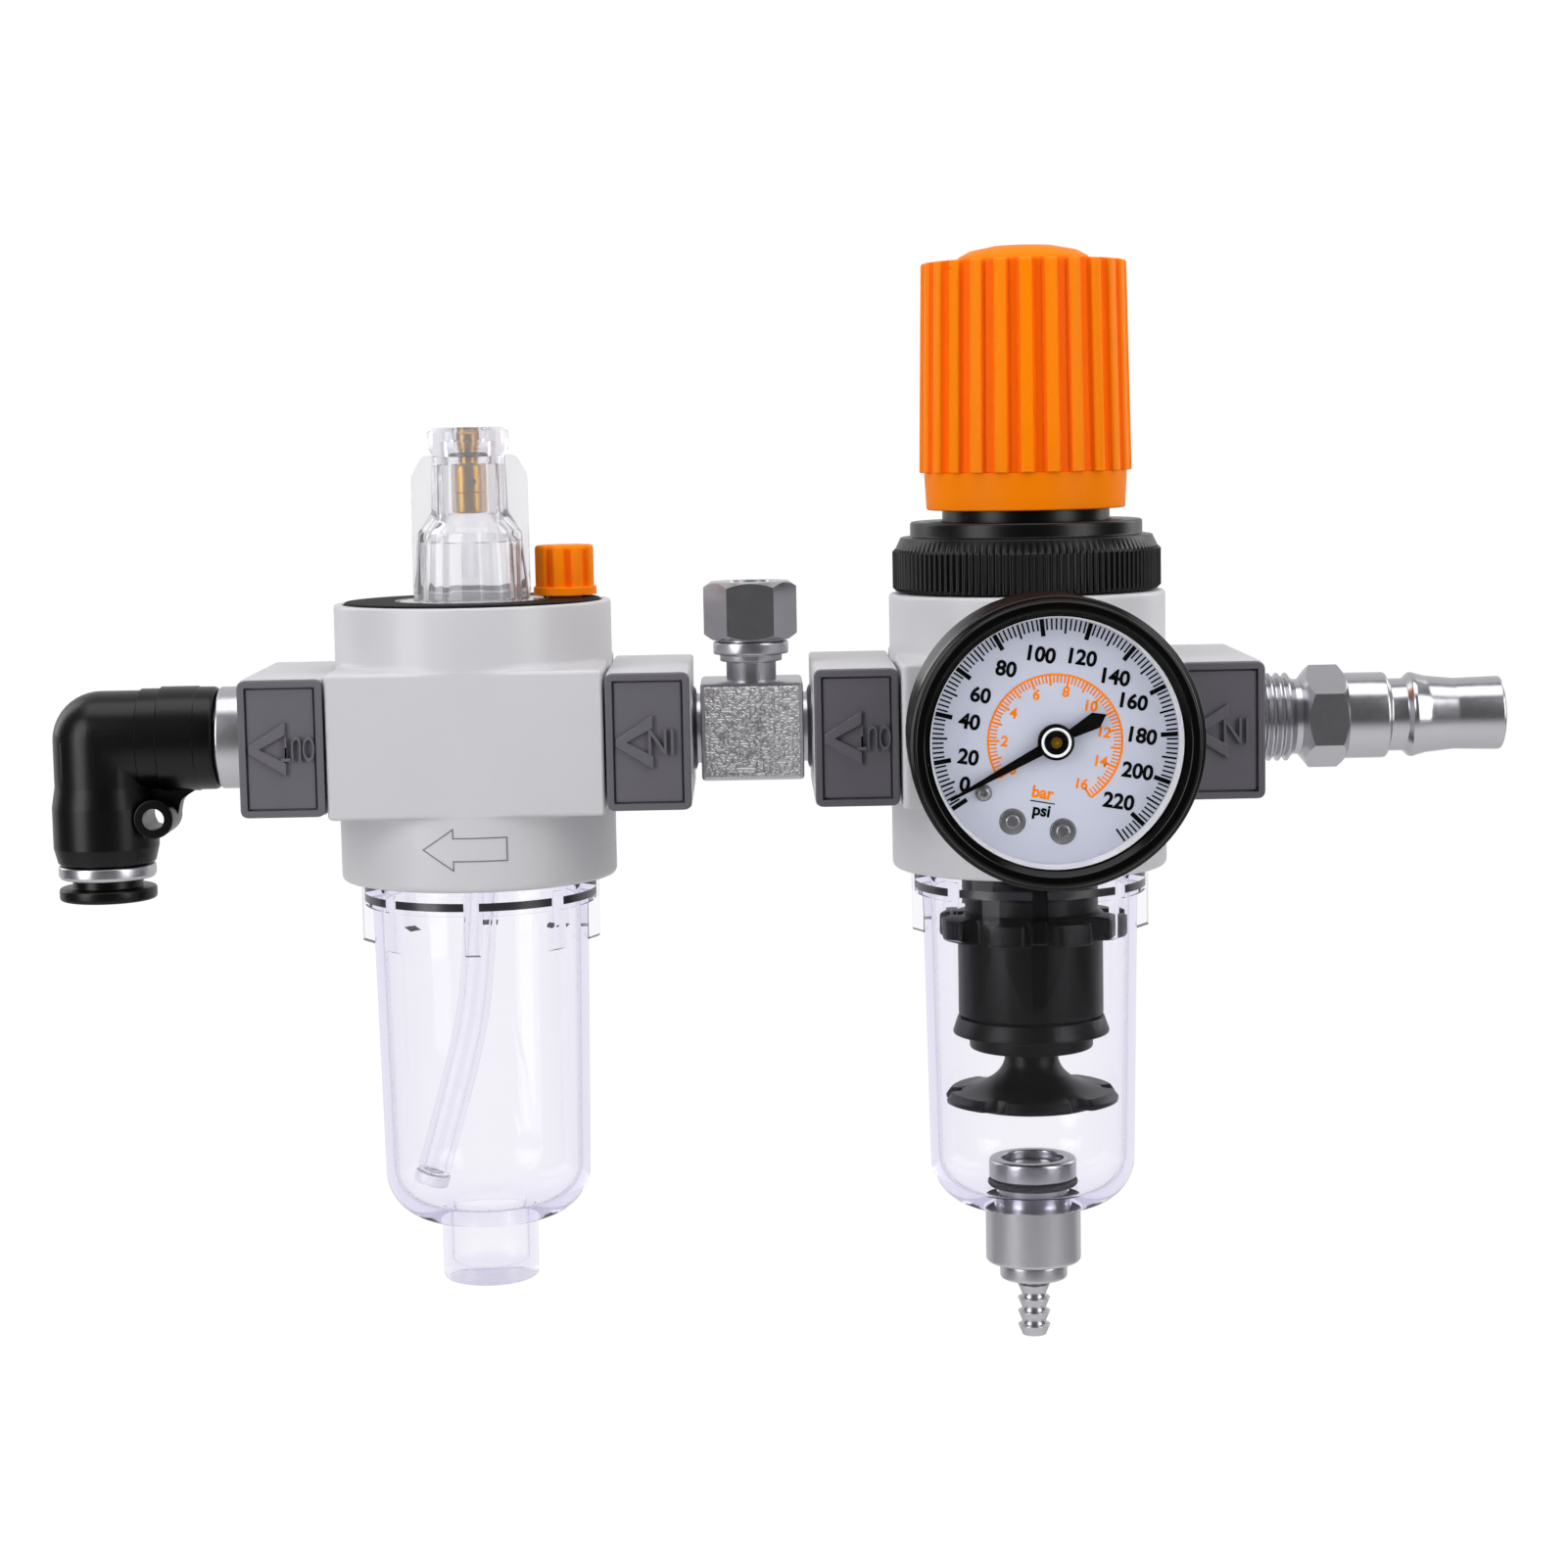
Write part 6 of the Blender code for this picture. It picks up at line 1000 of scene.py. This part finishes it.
def sight_dome():
    low, apex = DOME_LOW.z, DOME_HIGH.z
    flange_foot, flange_top = TOP_LOW.z, TOP_HIGH.z - 0.05 * MM
    base_top, neck_top = 29.8 * MM, 32.8 * MM
    cap, flange = apex - 3.0 * MM, 10.8 * MM
    outline = [
        (8.0 * MM, low), (8.0 * MM, flange_foot), (flange, flange_foot, 0.2 * MM),
        (flange, flange_top, 0.3 * MM),
        (8.8 * MM, flange_top + 0.1 * MM, 0.5 * MM), (8.0 * MM, base_top, 1.2 * MM),
        (5.7 * MM, neck_top, 1.2 * MM),
        (5.4 * MM, cap - 1.2 * MM, 0.6 * MM), (6.0 * MM, cap, 0.5 * MM),
        (6.0 * MM, apex - 0.6 * MM, 0.5 * MM),
        (5.2 * MM, apex, 0.4 * MM), (2.2 * MM, apex, 0.3 * MM), (2.2 * MM, apex - 1.9 * MM),
        (3.1 * MM, apex - 2.1 * MM), (3.1 * MM, apex - 5.3 * MM), (4.0 * MM, apex - 5.5 * MM),
        (4.0 * MM, base_top + 1.0 * MM, 0.8 * MM), (6.0 * MM, base_top - 1.5 * MM, 0.8 * MM),
        (6.0 * MM, low),
    ]
    piece = spun("sight_glass", outline, sides=120, angle=CLEAR_EDGE)

    def facet(turn, reach, height):
        dent = 0.45 * MM * (1 - toothed(turn, 10, 0.5, 0.9))
        if 5.9 * MM < reach < 6.1 * MM and height < base_top - MM:
            return reach + dent, height
        outer = 7.7 * MM < reach < 9.0 * MM and flange_top + 0.05 * MM < height < base_top + 0.5 * MM
        return reach - (dent if outer else 0), height

    reshape(piece, facet)
    wing_top, reach = 41.2 * MM, 8.6 * MM
    wings = []
    for way in (1, -1):
        corners = [
            (way * 5.2 * MM, neck_top), (way * 5.2 * MM, wing_top),
            (way * (reach - 1.6 * MM), wing_top, 2.2 * MM),
            (way * reach, wing_top - 3.0 * MM, 1.5 * MM), (way * (reach + 0.1 * MM), flange_top + MM),
            (way * 8.4 * MM, flange_top + MM), (way * 7.7 * MM, base_top),
        ]
        wing = raised(f"wing_{way}", corners, -0.8 * MM, 0.8 * MM)
        soften(wing, 0.2 * MM, 2)
        wings.append(place(wing, axis="-Y"))
    dress(place(fuse("sight_dome_glass", [piece, *wings]), LUB_AT), "dome_plastic", "frame", "sight_dome")


def drip_screw():
    low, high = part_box("drip_screw")
    barrel, neck, head = 2.6 * MM, 1.5 * MM, 1.7 * MM
    barrel_top, head_foot = 39.8 * MM, high.z - 1.8 * MM
    outline = [
        (0, low.z), (barrel - 0.3 * MM, low.z), (barrel, low.z + 0.3 * MM), (barrel, 35.6 * MM),
        (barrel - 0.12 * MM, 35.7 * MM), (barrel, 35.8 * MM), (barrel, barrel_top, 0.3 * MM),
        (neck, barrel_top + 0.1 * MM), (neck, head_foot), (head, head_foot, 0.1 * MM),
        (head, high.z, 0.2 * MM),
        (0, high.z),
    ]
    piece = spun("drip_barrel", outline, 64)
    slot = block("drip_slot", (-3 * MM, -0.35 * MM, high.z - 1.0 * MM), (3 * MM, 0.35 * MM, high.z + MM))
    carve(piece, slot)
    hole = rod("drip_hole", 0.45 * MM, 0, 4 * MM, SMALL // 2)
    carve(piece, place(hole, (0.8 * MM, 0, 37.3 * MM), "-Y"))
    dress(place(piece, LUB_AT), "brass", "drip_screw", "drip_screw")
    o_ring("drip_seal_ring", "drip_screw_o_ring", "drip_seal", LUB_AT)
    low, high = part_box("drip_tube")
    pipe = tube("drip_pipe", 0.4 * MM, 0.7 * MM, low.z, high.z, SMALL)
    dress(place(pipe, LUB_AT), "clear_plastic", "drip_screw", "drip_tube")


def o_ring(name, node, body, at):
    low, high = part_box(node)
    thick = (high.z - low.z) / 2
    deselect()
    bpy.ops.mesh.primitive_torus_add(
        major_radius=(high.x - low.x) / 2 - thick, minor_radius=thick, major_segments=96, minor_segments=20,
        location=(at[0], at[1], (low.z + high.z) / 2),
    )
    piece = bpy.context.object
    piece.name = piece.data.name = name
    apply_place(piece)
    bpy.ops.object.shade_smooth_by_angle(angle=math.pi / 2)
    dress(piece, "rubber", body, node)


# Bowls and what is in them

BOWL_RADIUS, BOWL_FOOT_RADIUS, BOWL_WALL = 16.1 * MM, 15.4 * MM, 1.8 * MM
BOWL_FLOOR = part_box("drain_o_ring")[0].z - SEAM / 2
BOWL_FOOT = BOWL_FLOOR - 2.4 * MM
COLLAR_TOP, COLLAR_FOOT, COLLAR_RADIUS = BODY_BOTTOM - SEAM, BODY_BOTTOM - 3.9 * MM, 17.3 * MM
NECK_RADIUS, NECK_BORE = 7.2 * MM, 5.6 * MM
RIB_COUNT = 8


def quarter(across, up, wide, tall):
    """Points of a quarter round about a centre, from its foot out to its side."""
    turns = [math.pi / 2 * step / (2 * CORNER_STEPS) for step in range(2 * CORNER_STEPS + 1)]
    return [(across + wide * math.sin(turn), up - tall * math.cos(turn)) for turn in turns]


def bowl(name, node, body, at, closed_neck):
    """Clear bowl with a collar and ribs below it, a band round the collar and the rib ends painted dark as
    shade; an open neck shows the silver sleeve inside it.
    """
    low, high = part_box(node)
    # The collar gets two extra rings that bound a band of painted shade.
    spigot, shade_band_foot, shade_band_top = 16.0 * MM, COLLAR_FOOT + 0.8 * MM, COLLAR_FOOT + 2.0 * MM
    inner, bend = BOWL_RADIUS - BOWL_WALL, 7.4 * MM
    centre = (BOWL_FOOT_RADIUS - bend, BOWL_FOOT + bend)
    outer_round = quarter(*centre, bend, bend)
    inner_round = quarter(*centre, bend - BOWL_WALL, centre[1] - BOWL_FLOOR)
    if closed_neck:
        floor = low.z + 2.6 * MM
        foot = [(0, low.z), (NECK_RADIUS, low.z, 1.0 * MM)]
        inside = [(NECK_BORE, BOWL_FLOOR, 0.4 * MM), (NECK_BORE, floor, 0.5 * MM), (0, floor)]
    else:
        foot = [(NECK_BORE, low.z, 0.2 * MM), (NECK_RADIUS, low.z, 0.6 * MM)]
        inside = [(NECK_BORE, BOWL_FLOOR, 0.4 * MM)]
    outline = foot + [
        (NECK_RADIUS, BOWL_FOOT, 0.4 * MM), *outer_round, (BOWL_RADIUS, COLLAR_FOOT, 0.3 * MM),
        (COLLAR_RADIUS, COLLAR_FOOT, 0.3 * MM), (COLLAR_RADIUS, shade_band_foot), (COLLAR_RADIUS, shade_band_top),
        (COLLAR_RADIUS, COLLAR_TOP, 0.2 * MM), (spigot, COLLAR_TOP), (spigot, high.z, 0.4 * MM),
        (inner, high.z, 0.2 * MM), (inner, COLLAR_FOOT), *reversed(inner_round),
    ] + inside
    piece = spun(name, outline, angle=CLEAR_EDGE)
    drop, rib_radius, rib_width, rib_top = 6.2 * MM, 17.7 * MM, 2.2 * MM, COLLAR_TOP - 0.6 * MM
    root, rib_foot = BOWL_RADIUS - 0.6 * MM, COLLAR_FOOT - drop
    corners = [(root, rib_top), (rib_radius, rib_top), (rib_radius, rib_foot + 0.7 * MM), (root, rib_foot)]
    first = raised(f"{name}_rib", corners, -rib_width / 2, rib_width / 2)
    place(first, axis="-Y")
    ribs = [first] + [twin(first, f"{name}_rib_{count}") for count in range(1, RIB_COUNT)]
    for count, rib in enumerate(ribs):
        rib.data.transform(Matrix.Rotation(math.tau * count / RIB_COUNT, 4, "Z"))
    carve(piece, fuse(f"{name}_ribs", ribs), "UNION", CLEAR_EDGE)
    dress(piece, "clear_plastic", body, node)

    # Painted shade: a band round the collar and the lower end faces of the ribs get the dark clear finish.
    def edge(reach, height, normal):
        shaded_rib_end = normal.z < -0.5 and reach > BOWL_RADIUS - 0.3 * MM and height < rib_foot + MM
        band = BOWL_RADIUS < reach < COLLAR_RADIUS + 0.02 * MM and shade_band_foot < height < shade_band_top
        return band or (shaded_rib_end and height > rib_foot - drop)

    def neck(reach, height, _):
        return reach > NECK_BORE + 0.5 * MM and height < BOWL_FOOT - 0.3 * MM

    second_finish(piece, "painted_shade_clear", edge)
    if not closed_neck:
        second_finish(piece, "satin", neck)
    place(piece, at)


ELEMENT_SIDES = 192


def filter_inside():
    """Holder with slanting vanes, and the lobed baffle that hangs below it on a trumpet stem."""
    low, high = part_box("filter_holder")
    radius, flange, lower, bore = 10.2 * MM, 13.7 * MM, 10.9 * MM, 8.9 * MM
    flange_top, flange_foot, roof = -28.6 * MM, -32.2 * MM, -18 * MM
    outline = [
        (0, roof), (bore, roof), (bore, low.z), (lower, low.z, 0.3 * MM), (lower, flange_foot - 0.2 * MM),
        (flange - 0.3 * MM, flange_foot, 0.2 * MM), (flange, flange_foot + 0.4 * MM),
        (flange, flange_top - 0.3 * MM, 0.3 * MM), (radius + 0.6 * MM, flange_top, 0.4 * MM),
        (radius, flange_top + 0.5 * MM), (radius, high.z), (0, high.z),
    ]
    piece = spun("element_holder", outline, ELEMENT_SIDES, MOULD_EDGE)

    def notch(turn, reach, height):
        lean = turn + (height - flange_top) / (4 * flange)
        cut = reach > lower + 0.2 * MM and flange_foot - 0.1 * MM < height < flange_top + 0.1 * MM
        return (lower + (reach - lower) * toothed(lean, 8, 0.62, 0.12) if cut else reach), height

    reshape(piece, notch)
    dress(piece, "inner_black", "frame", "filter_holder")
    low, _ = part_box("filter_baffle")
    flare, step, stem, disc, web = 11.9 * MM, 9.3 * MM, 4.0 * MM, 13.1 * MM, 10.1 * MM
    top, flare_foot, step_foot, disc_top = -44.3 * MM, -46.9 * MM, -49.2 * MM, low.z + 2.4 * MM
    rise, lip = 5.2 * MM, disc - 0.8 * MM
    curve = reversed(quarter(lip, disc_top + rise, lip - stem, rise))
    trumpet = [(2 * lip - across, up) for across, up in curve]
    outline = [
        (0, top), (flare - 0.9 * MM, top, 0.3 * MM), (flare, flare_foot, 0.4 * MM),
        (step, flare_foot - 0.05 * MM, 0.3 * MM), (step, step_foot, 0.5 * MM),
        (stem, step_foot, 0.5 * MM), *trumpet,
        (disc, disc_top - 1.0 * MM, 0.4 * MM), (disc - 0.1 * MM, disc_top - 1.6 * MM),
        (10 * MM, disc_top - 1.7 * MM),
        (9.9 * MM, low.z, 0.3 * MM), (0, low.z),
    ]
    piece = spun("element_baffle", outline, ELEMENT_SIDES, MOULD_EDGE)

    def lobe(turn, reach, height):
        cut = reach > web and height < disc_top + 0.3 * MM
        gap = toothed(turn + math.pi / 6, 6, 0.22, 0.08)
        return (web + (reach - web) * (1 - 0.8 * gap) if cut else reach), height

    reshape(piece, lobe)
    dress(piece, "inner_black", "frame", "filter_baffle")


def drain():
    """Seat in the neck of the filter bowl, and the barbed stem that presses up in it."""
    low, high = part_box("drain_body")
    flange, sleeve, stem = 6.6 * MM, NECK_BORE - 0.08 * MM, 2.4 * MM
    flange_foot = high.z - 3.0 * MM
    recess = 4.7 * MM
    outline = [
        (stem + SEAM, low.z), (sleeve, low.z, 0.3 * MM), (sleeve, low.z + 1.2 * MM),
        (sleeve - 0.25 * MM, low.z + 1.4 * MM), (sleeve, low.z + 1.6 * MM), (sleeve, flange_foot),
        (flange, flange_foot, 0.2 * MM), (flange, high.z, 0.6 * MM), (recess, high.z, 0.3 * MM),
        (recess, high.z - 2.6 * MM), (stem + SEAM, high.z - 2.7 * MM),
    ]
    dress(spun("drain_seat", outline), "satin", "filter_bowl", "drain_body")
    o_ring("drain_ring", "drain_o_ring", "filter_bowl", (0, 0))
    low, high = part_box("drain_stem")
    head, shoulder, barb, root, bore = 4.2 * MM, 5.1 * MM, 2.45 * MM, 1.9 * MM, 1.1 * MM
    pitch, length = 2.1 * MM, 1.7 * MM
    shoulder_foot, head_top = low.z + 8.9 * MM, high.z - 3.2 * MM
    outline = [(bore, low.z, 0.15 * MM)]
    for count in range(4):
        foot = low.z + count * pitch
        top = foot + length
        outline += [(root - 0.1 * MM, foot), (barb, top - 0.15 * MM, 0.1 * MM), (root, top)]
    outline += [
        (root, shoulder_foot, 0.2 * MM), (shoulder, shoulder_foot, 0.5 * MM),
        (shoulder, shoulder_foot + 2.4 * MM, 0.4 * MM), (stem, shoulder_foot + 2.5 * MM),
        (stem, head_top - 0.9 * MM), (head, head_top - 0.9 * MM, 0.2 * MM),
        (head, head_top, 0.3 * MM), (bore + 0.6 * MM, head_top - 0.1 * MM, 0.3 * MM),
        (bore, head_top - 0.6 * MM),
    ]
    dress(spun("drain_nipple", outline, 96), "satin", "drain_stem", "drain_stem")


OIL_ROUTE = ((0, 0.15), (0.012, 0.267), (0.157, 0.502), (0.349, 0.652), (0.651, 0.819), (1, 1))
OIL_REACH, OIL_END = -8.3 * MM, -66.4 * MM
OIL_RADIUS, OIL_BORE, OIL_STEPS = 2.45 * MM, 1.55 * MM, 5


def swept(name, points, radius):
    """A round bar along a chain of points."""
    piece = chain(name, points)
    bpy.ops.object.mode_set(mode="OBJECT")
    bpy.ops.object.convert(target="CURVE")
    curve = bpy.context.object.data
    curve.bevel_depth = radius
    curve.bevel_resolution = 10
    curve.use_fill_caps = True
    bpy.ops.object.convert(target="MESH")
    piece = bpy.context.object
    bpy.ops.object.mode_set(mode="EDIT")
    leave_edit(CLEAR_EDGE)
    return piece


def oil_pipe():
    """Clear tube that swings out through smooth bends to a ring at its foot."""
    _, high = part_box("oil_tube")
    bends, fall = [Vector((0, 0, high.z))], OIL_END - SOCKET_ROOF
    bends += [Vector((out * OIL_REACH, 0, SOCKET_ROOF + down * fall)) for out, down in OIL_ROUTE]
    guide = [bends[0] * 2 - bends[1], *bends, bends[-1] * 2 - bends[-2]]
    points = []
    for before, start, stop, after in zip(guide, guide[1:], guide[2:], guide[3:]):
        for step in range(OIL_STEPS):
            t = step / OIL_STEPS
            bend = 2 * before - 5 * start + 4 * stop - after
            twist = 3 * start - before - 3 * stop + after
            points.append((2 * start + (stop - before) * t + bend * t ** 2 + twist * t ** 3) / 2)
    points.append(bends[-1])
    along = (points[-1] - points[-2]).normalized()
    pipe = swept("oil_pipe", points, OIL_RADIUS)
    core = [points[0] + Vector((0, 0, MM)), *points[1:-1], points[-1] + along * MM]
    carve(pipe, swept("oil_pipe_bore", core, OIL_BORE), angle=CLEAR_EDGE)
    dress(place(pipe, LUB_AT), "clear_plastic", "frame", "oil_tube")
    inner, outer, tall = 1.5 * MM, 2.7 * MM, 1.8 * MM
    outline = [(inner, 0), (outer, 0, 0.3 * MM), (outer, tall, 0.5 * MM), (inner, tall, 0.2 * MM)]
    piece = spun("oil_strainer_ring", outline, SMALL)
    piece.rotation_euler.y = math.atan2(along.x, along.z)
    piece.location = Vector(LUB_AT) + points[-1] + along * SEAM
    dress(apply_place(piece), "cast_body", "frame", "oil_strainer")


# Elbow

LEG_GROWTH = 0.9 * MM


def elbow():
    low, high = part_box("elbow_body")
    stud_low, stud_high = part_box("elbow_stud")
    core, cuff = 7.3 * MM, 7.8 * MM
    at = (low.x + core, 0, 0)
    leg, drop = high.x - at[0] + LEG_GROWTH, -low.z
    cone, length, taper = 3.0 * MM, 8.5 * MM, 1.8 * MM
    ball_turns = [math.pi / 2 * step / 12 for step in range(13)]
    ball = [(core * math.sin(turn), -core * math.cos(turn)) for turn in ball_turns]
    throat, mouth, band = 5.3 * MM, 6.1 * MM, cuff - 0.25 * MM
    level = ball + [
        (core, leg - length - cone), (band, leg - length - cone + 0.15 * MM), (band, leg - length),
        (cuff, leg - length + 0.15 * MM), (cuff, leg - 3.0 * MM), (cuff - 0.12 * MM, leg - 2.9 * MM),
        (cuff - 0.15 * MM, leg, 0.8 * MM), (throat, leg, 0.3 * MM), (throat, leg - 6 * MM),
        (0, leg - 6 * MM),
    ]
    upright = ball + [
        (core, drop - length - cone, 1.0 * MM), (cuff, drop - length, 0.8 * MM),
        (cuff, drop - taper - 0.6 * MM, 0.3 * MM), (core - 0.1 * MM, drop, 0.3 * MM), (mouth, drop),
        (mouth, drop - 9 * MM), (0, drop - 9 * MM),
    ]
    piece = place(spun("elbow_shell", level), axis="X")
    leg_down = spun("elbow_drop", upright)
    leg_down.data.transform(Matrix.Rotation(math.pi, 4, "X"))
    carve(piece, leg_down, "UNION")
    lug_x, lug_z, lug_radius = 8.2 * MM, -11.4 * MM, 2.9 * MM
    lug_at, root = (lug_x, 0, lug_z), 5.5 * MM
    corners = [
        (root, -root), (15.0 * MM, -root), (14.2 * MM, -7.4 * MM, 1.0 * MM),
        (11.6 * MM, -9.0 * MM, 2.0 * MM),
        (lug_x + lug_radius, lug_z, 1.4 * MM), (lug_x, lug_z - lug_radius, 1.6 * MM),
        (root, lug_z - lug_radius),
    ]
    web = place(raised("elbow_web", corners, -1.6 * MM, 1.6 * MM), axis="-Y")
    carve(piece, web, "UNION")
    near, far = -2.5 * MM, 6.3 * MM
    eye = [(0, near), (lug_radius, near, 0.4 * MM), (lug_radius, far, 0.25 * MM), (0, far)]
    carve(piece, place(spun("elbow_eye", eye, SMALL), lug_at, "-Y"), "UNION")
    carve(piece, place(rod("elbow_eye_drill", 1.6 * MM, -8 * MM, 8 * MM), lug_at, "-Y"))
    dress(place(piece, at), "black_plastic", "elbow", "elbow_body")
    low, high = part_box("elbow_end_ring")
    ring, bore = (high.x - low.x) / 2, 5.5 * MM
    outline = [
        (bore, low.z), (ring - 0.3 * MM, low.z, 0.2 * MM), (ring, low.z + 0.5 * MM, 0.3 * MM),
        (ring, high.z, 0.4 * MM), (bore, high.z),
    ]
    dress(place(spun("elbow_ring", outline), at), "satin", "elbow", "elbow_end_ring")
    low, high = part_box("release_collar")
    lip, sleeve, inner = (high.x - low.x) / 2, 5.2 * MM, 4.1 * MM
    lip_top = low.z + 1.9 * MM
    outline = [
        (inner + 0.4 * MM, low.z, 0.3 * MM), (lip, low.z, 0.6 * MM), (lip, lip_top, 0.5 * MM),
        (sleeve, lip_top, 0.2 * MM), (sleeve, high.z), (inner, high.z), (inner, low.z + 0.6 * MM),
    ]
    dress(place(spun("collar_ring", outline), at), "black_plastic", "release_collar", "release_collar")
    stud, face = 7.6 * MM, LUB_X - PLATE_HIGH.x - SEAM
    flange, bore = face - 6.2 * MM + LEG_GROWTH, 3.4 * MM
    outline = [
        (bore, stud_low.x), (5.0 * MM, stud_low.x), (5.0 * MM, flange), (stud, flange, 0.4 * MM),
        (stud, face, 0.4 * MM), (6.4 * MM, face), (6.4 * MM, stud_high.x), (bore, stud_high.x),
    ]
    dress(place(spun("elbow_neck", outline), axis="X"), "satin", "frame", "elbow_stud")


# Assembly

castings()
flow_arrow()
for label, words in WORDS_OF_PORT.items():
    port_pieces(label, words)
regulator_top()
regulator_inside()
knob()
gauge_case()
gauge_dial()
gauge_hand()
button_screw("left_screw", "dial_screw_left", 1.65 * MM, 0.95 * MM, 0.6 * MM)
button_screw("right_screw", "dial_screw_right", 1.65 * MM, 0.95 * MM, 0.6 * MM)
button_screw("stop_pin", "needle_stop_pin", 1.0 * MM, 0.8 * MM, 0.9 * MM)
tee()
plug()
lubricator_top()
bowl("filter_cup", "filter_bowl", "filter_bowl", (0, 0, 0), False)
bowl("oil_cup", "lubricator_bowl", "lubricator_bowl", LUB_AT, True)
filter_inside()
drain()
oil_pipe()
elbow()


# Stage, light and camera

FLOOR_LEVEL = CAD_BOX[0].z - 300 * MM
BACKDROP = 0.6
SHEET_SIZE = 3
SKY = 0.12
LAMP_AIM = (-0.04, 0, 0)
LAMPS = {
    "top_box": ((-0.05, -0.1, 0.75), (1.0, 0.5), 4.3),
    "left_box": ((-0.65, -0.5, 0.2), (0.35, 0.8), 4.4),
    "right_box": ((0.6, -0.5, 0.25), (0.35, 0.8), 4),
    "back_left_box": ((-0.7, 0.4, 0.35), (0.3, 0.7), 1.2),
    "back_right_box": ((0.65, 0.4, 0.35), (0.3, 0.7), 1.6),
}
EYE = Vector((-41.16, -483.75, 44.34)) * MM
YAW, PITCH, ROLL = math.radians(0.536), math.radians(-6.251), math.radians(-1.08)
LENS_PIXELS, PHOTO_PIXELS, SENSOR = 3320.1, 1601, 36


def seen_white(tree, strength, unseen, seen, mirrored):
    """Sets a light to seen for the camera and through clear walls, to a share in metal, else to unseen."""
    nodes, links = tree.nodes, tree.links
    path = nodes.new("ShaderNodeLightPath")

    def reckon(operation, first, second):
        sum_node = nodes.new("ShaderNodeMath")
        sum_node.operation = operation
        for socket, value in zip(sum_node.inputs, (first, second)):
            if isinstance(value, float):
                socket.default_value = value
            else:
                links.new(value, socket)
        return sum_node.outputs["Value"]

    direct = reckon("LESS_THAN", path.outputs["Glossy Depth"], 0.5)
    through = reckon("MULTIPLY", path.outputs["Is Transmission Ray"], direct)
    mirror = reckon("MULTIPLY", path.outputs["Is Glossy Ray"], mirrored)
    looks = reckon("MAXIMUM", reckon("MAXIMUM", path.outputs["Is Camera Ray"], through), mirror)
    level = nodes.new("ShaderNodeMapRange")
    level.inputs["To Min"].default_value = unseen
    level.inputs["To Max"].default_value = seen
    links.new(looks, level.inputs["Value"])
    links.new(level.outputs["Result"], strength)


def white_sheet(name, at, turn, shade, glow, mirrored):
    """White sheet of the studio: its glow is only seen, and lights nothing."""
    deselect()
    bpy.ops.mesh.primitive_plane_add(size=SHEET_SIZE, location=at, rotation=turn)
    sheet = bpy.context.object
    sheet.name = sheet.data.name = name
    material = finish(name, (shade, shade, shade), 0.8, 0.01, 40, 0.01)
    shader = material.node_tree.nodes["Principled BSDF"]
    shader.inputs["Specular IOR Level"].default_value = 0
    shader.inputs["Emission Color"].default_value = (1, 1, 1, 1)
    seen_white(material.node_tree, shader.inputs["Emission Strength"], 0, glow, mirrored)
    sheet.data.materials.append(material)


def stage():
    white_sheet("floor", (0, 0, FLOOR_LEVEL), (0, 0, 0), 0.8, 0.6, 0.3)
    white_sheet("backdrop", (0, BACKDROP, 0), (math.pi / 2, 0, 0), 0.02, 1.0, 0.8)
    world = bpy.data.worlds.new("studio")
    world.use_nodes = True
    bpy.context.scene.world = world
    sky = world.node_tree.nodes["Background"]
    sky.inputs["Color"].default_value = (1, 1, 1, 1)
    seen_white(world.node_tree, sky.inputs["Strength"], SKY, 1.0, 0.0)


def lamp(name, at, size, power):
    deselect()
    bpy.ops.object.light_add(type="AREA", location=at)
    light = bpy.context.object
    light.name = name
    light.data.shape = "RECTANGLE"
    light.data.size, light.data.size_y = size
    light.data.energy = power
    light.rotation_euler = (Vector(LAMP_AIM) - Vector(at)).to_track_quat("-Z", "Y").to_euler()


def camera():
    ahead = Vector((math.sin(YAW) * math.cos(PITCH), math.cos(YAW) * math.cos(PITCH), math.sin(PITCH)))
    right = Vector((math.cos(YAW), -math.sin(YAW), 0))
    up = right.cross(ahead)
    side = math.cos(ROLL) * right + math.sin(ROLL) * up
    top = math.cos(ROLL) * up - math.sin(ROLL) * right
    deselect()
    bpy.ops.object.camera_add()
    view = bpy.context.object
    view.name = "photo_camera"
    turn = Matrix((side, top, -ahead)).transposed().to_4x4()
    view.matrix_world = Matrix.Translation(EYE) @ turn
    view.data.sensor_width = SENSOR
    view.data.lens = SENSOR * LENS_PIXELS / PHOTO_PIXELS
    bpy.context.scene.camera = view


stage()
for label, (at, size, power) in LAMPS.items():
    lamp(label, at, size, power)
camera()
bpy.context.scene.view_settings.view_transform = "Standard"
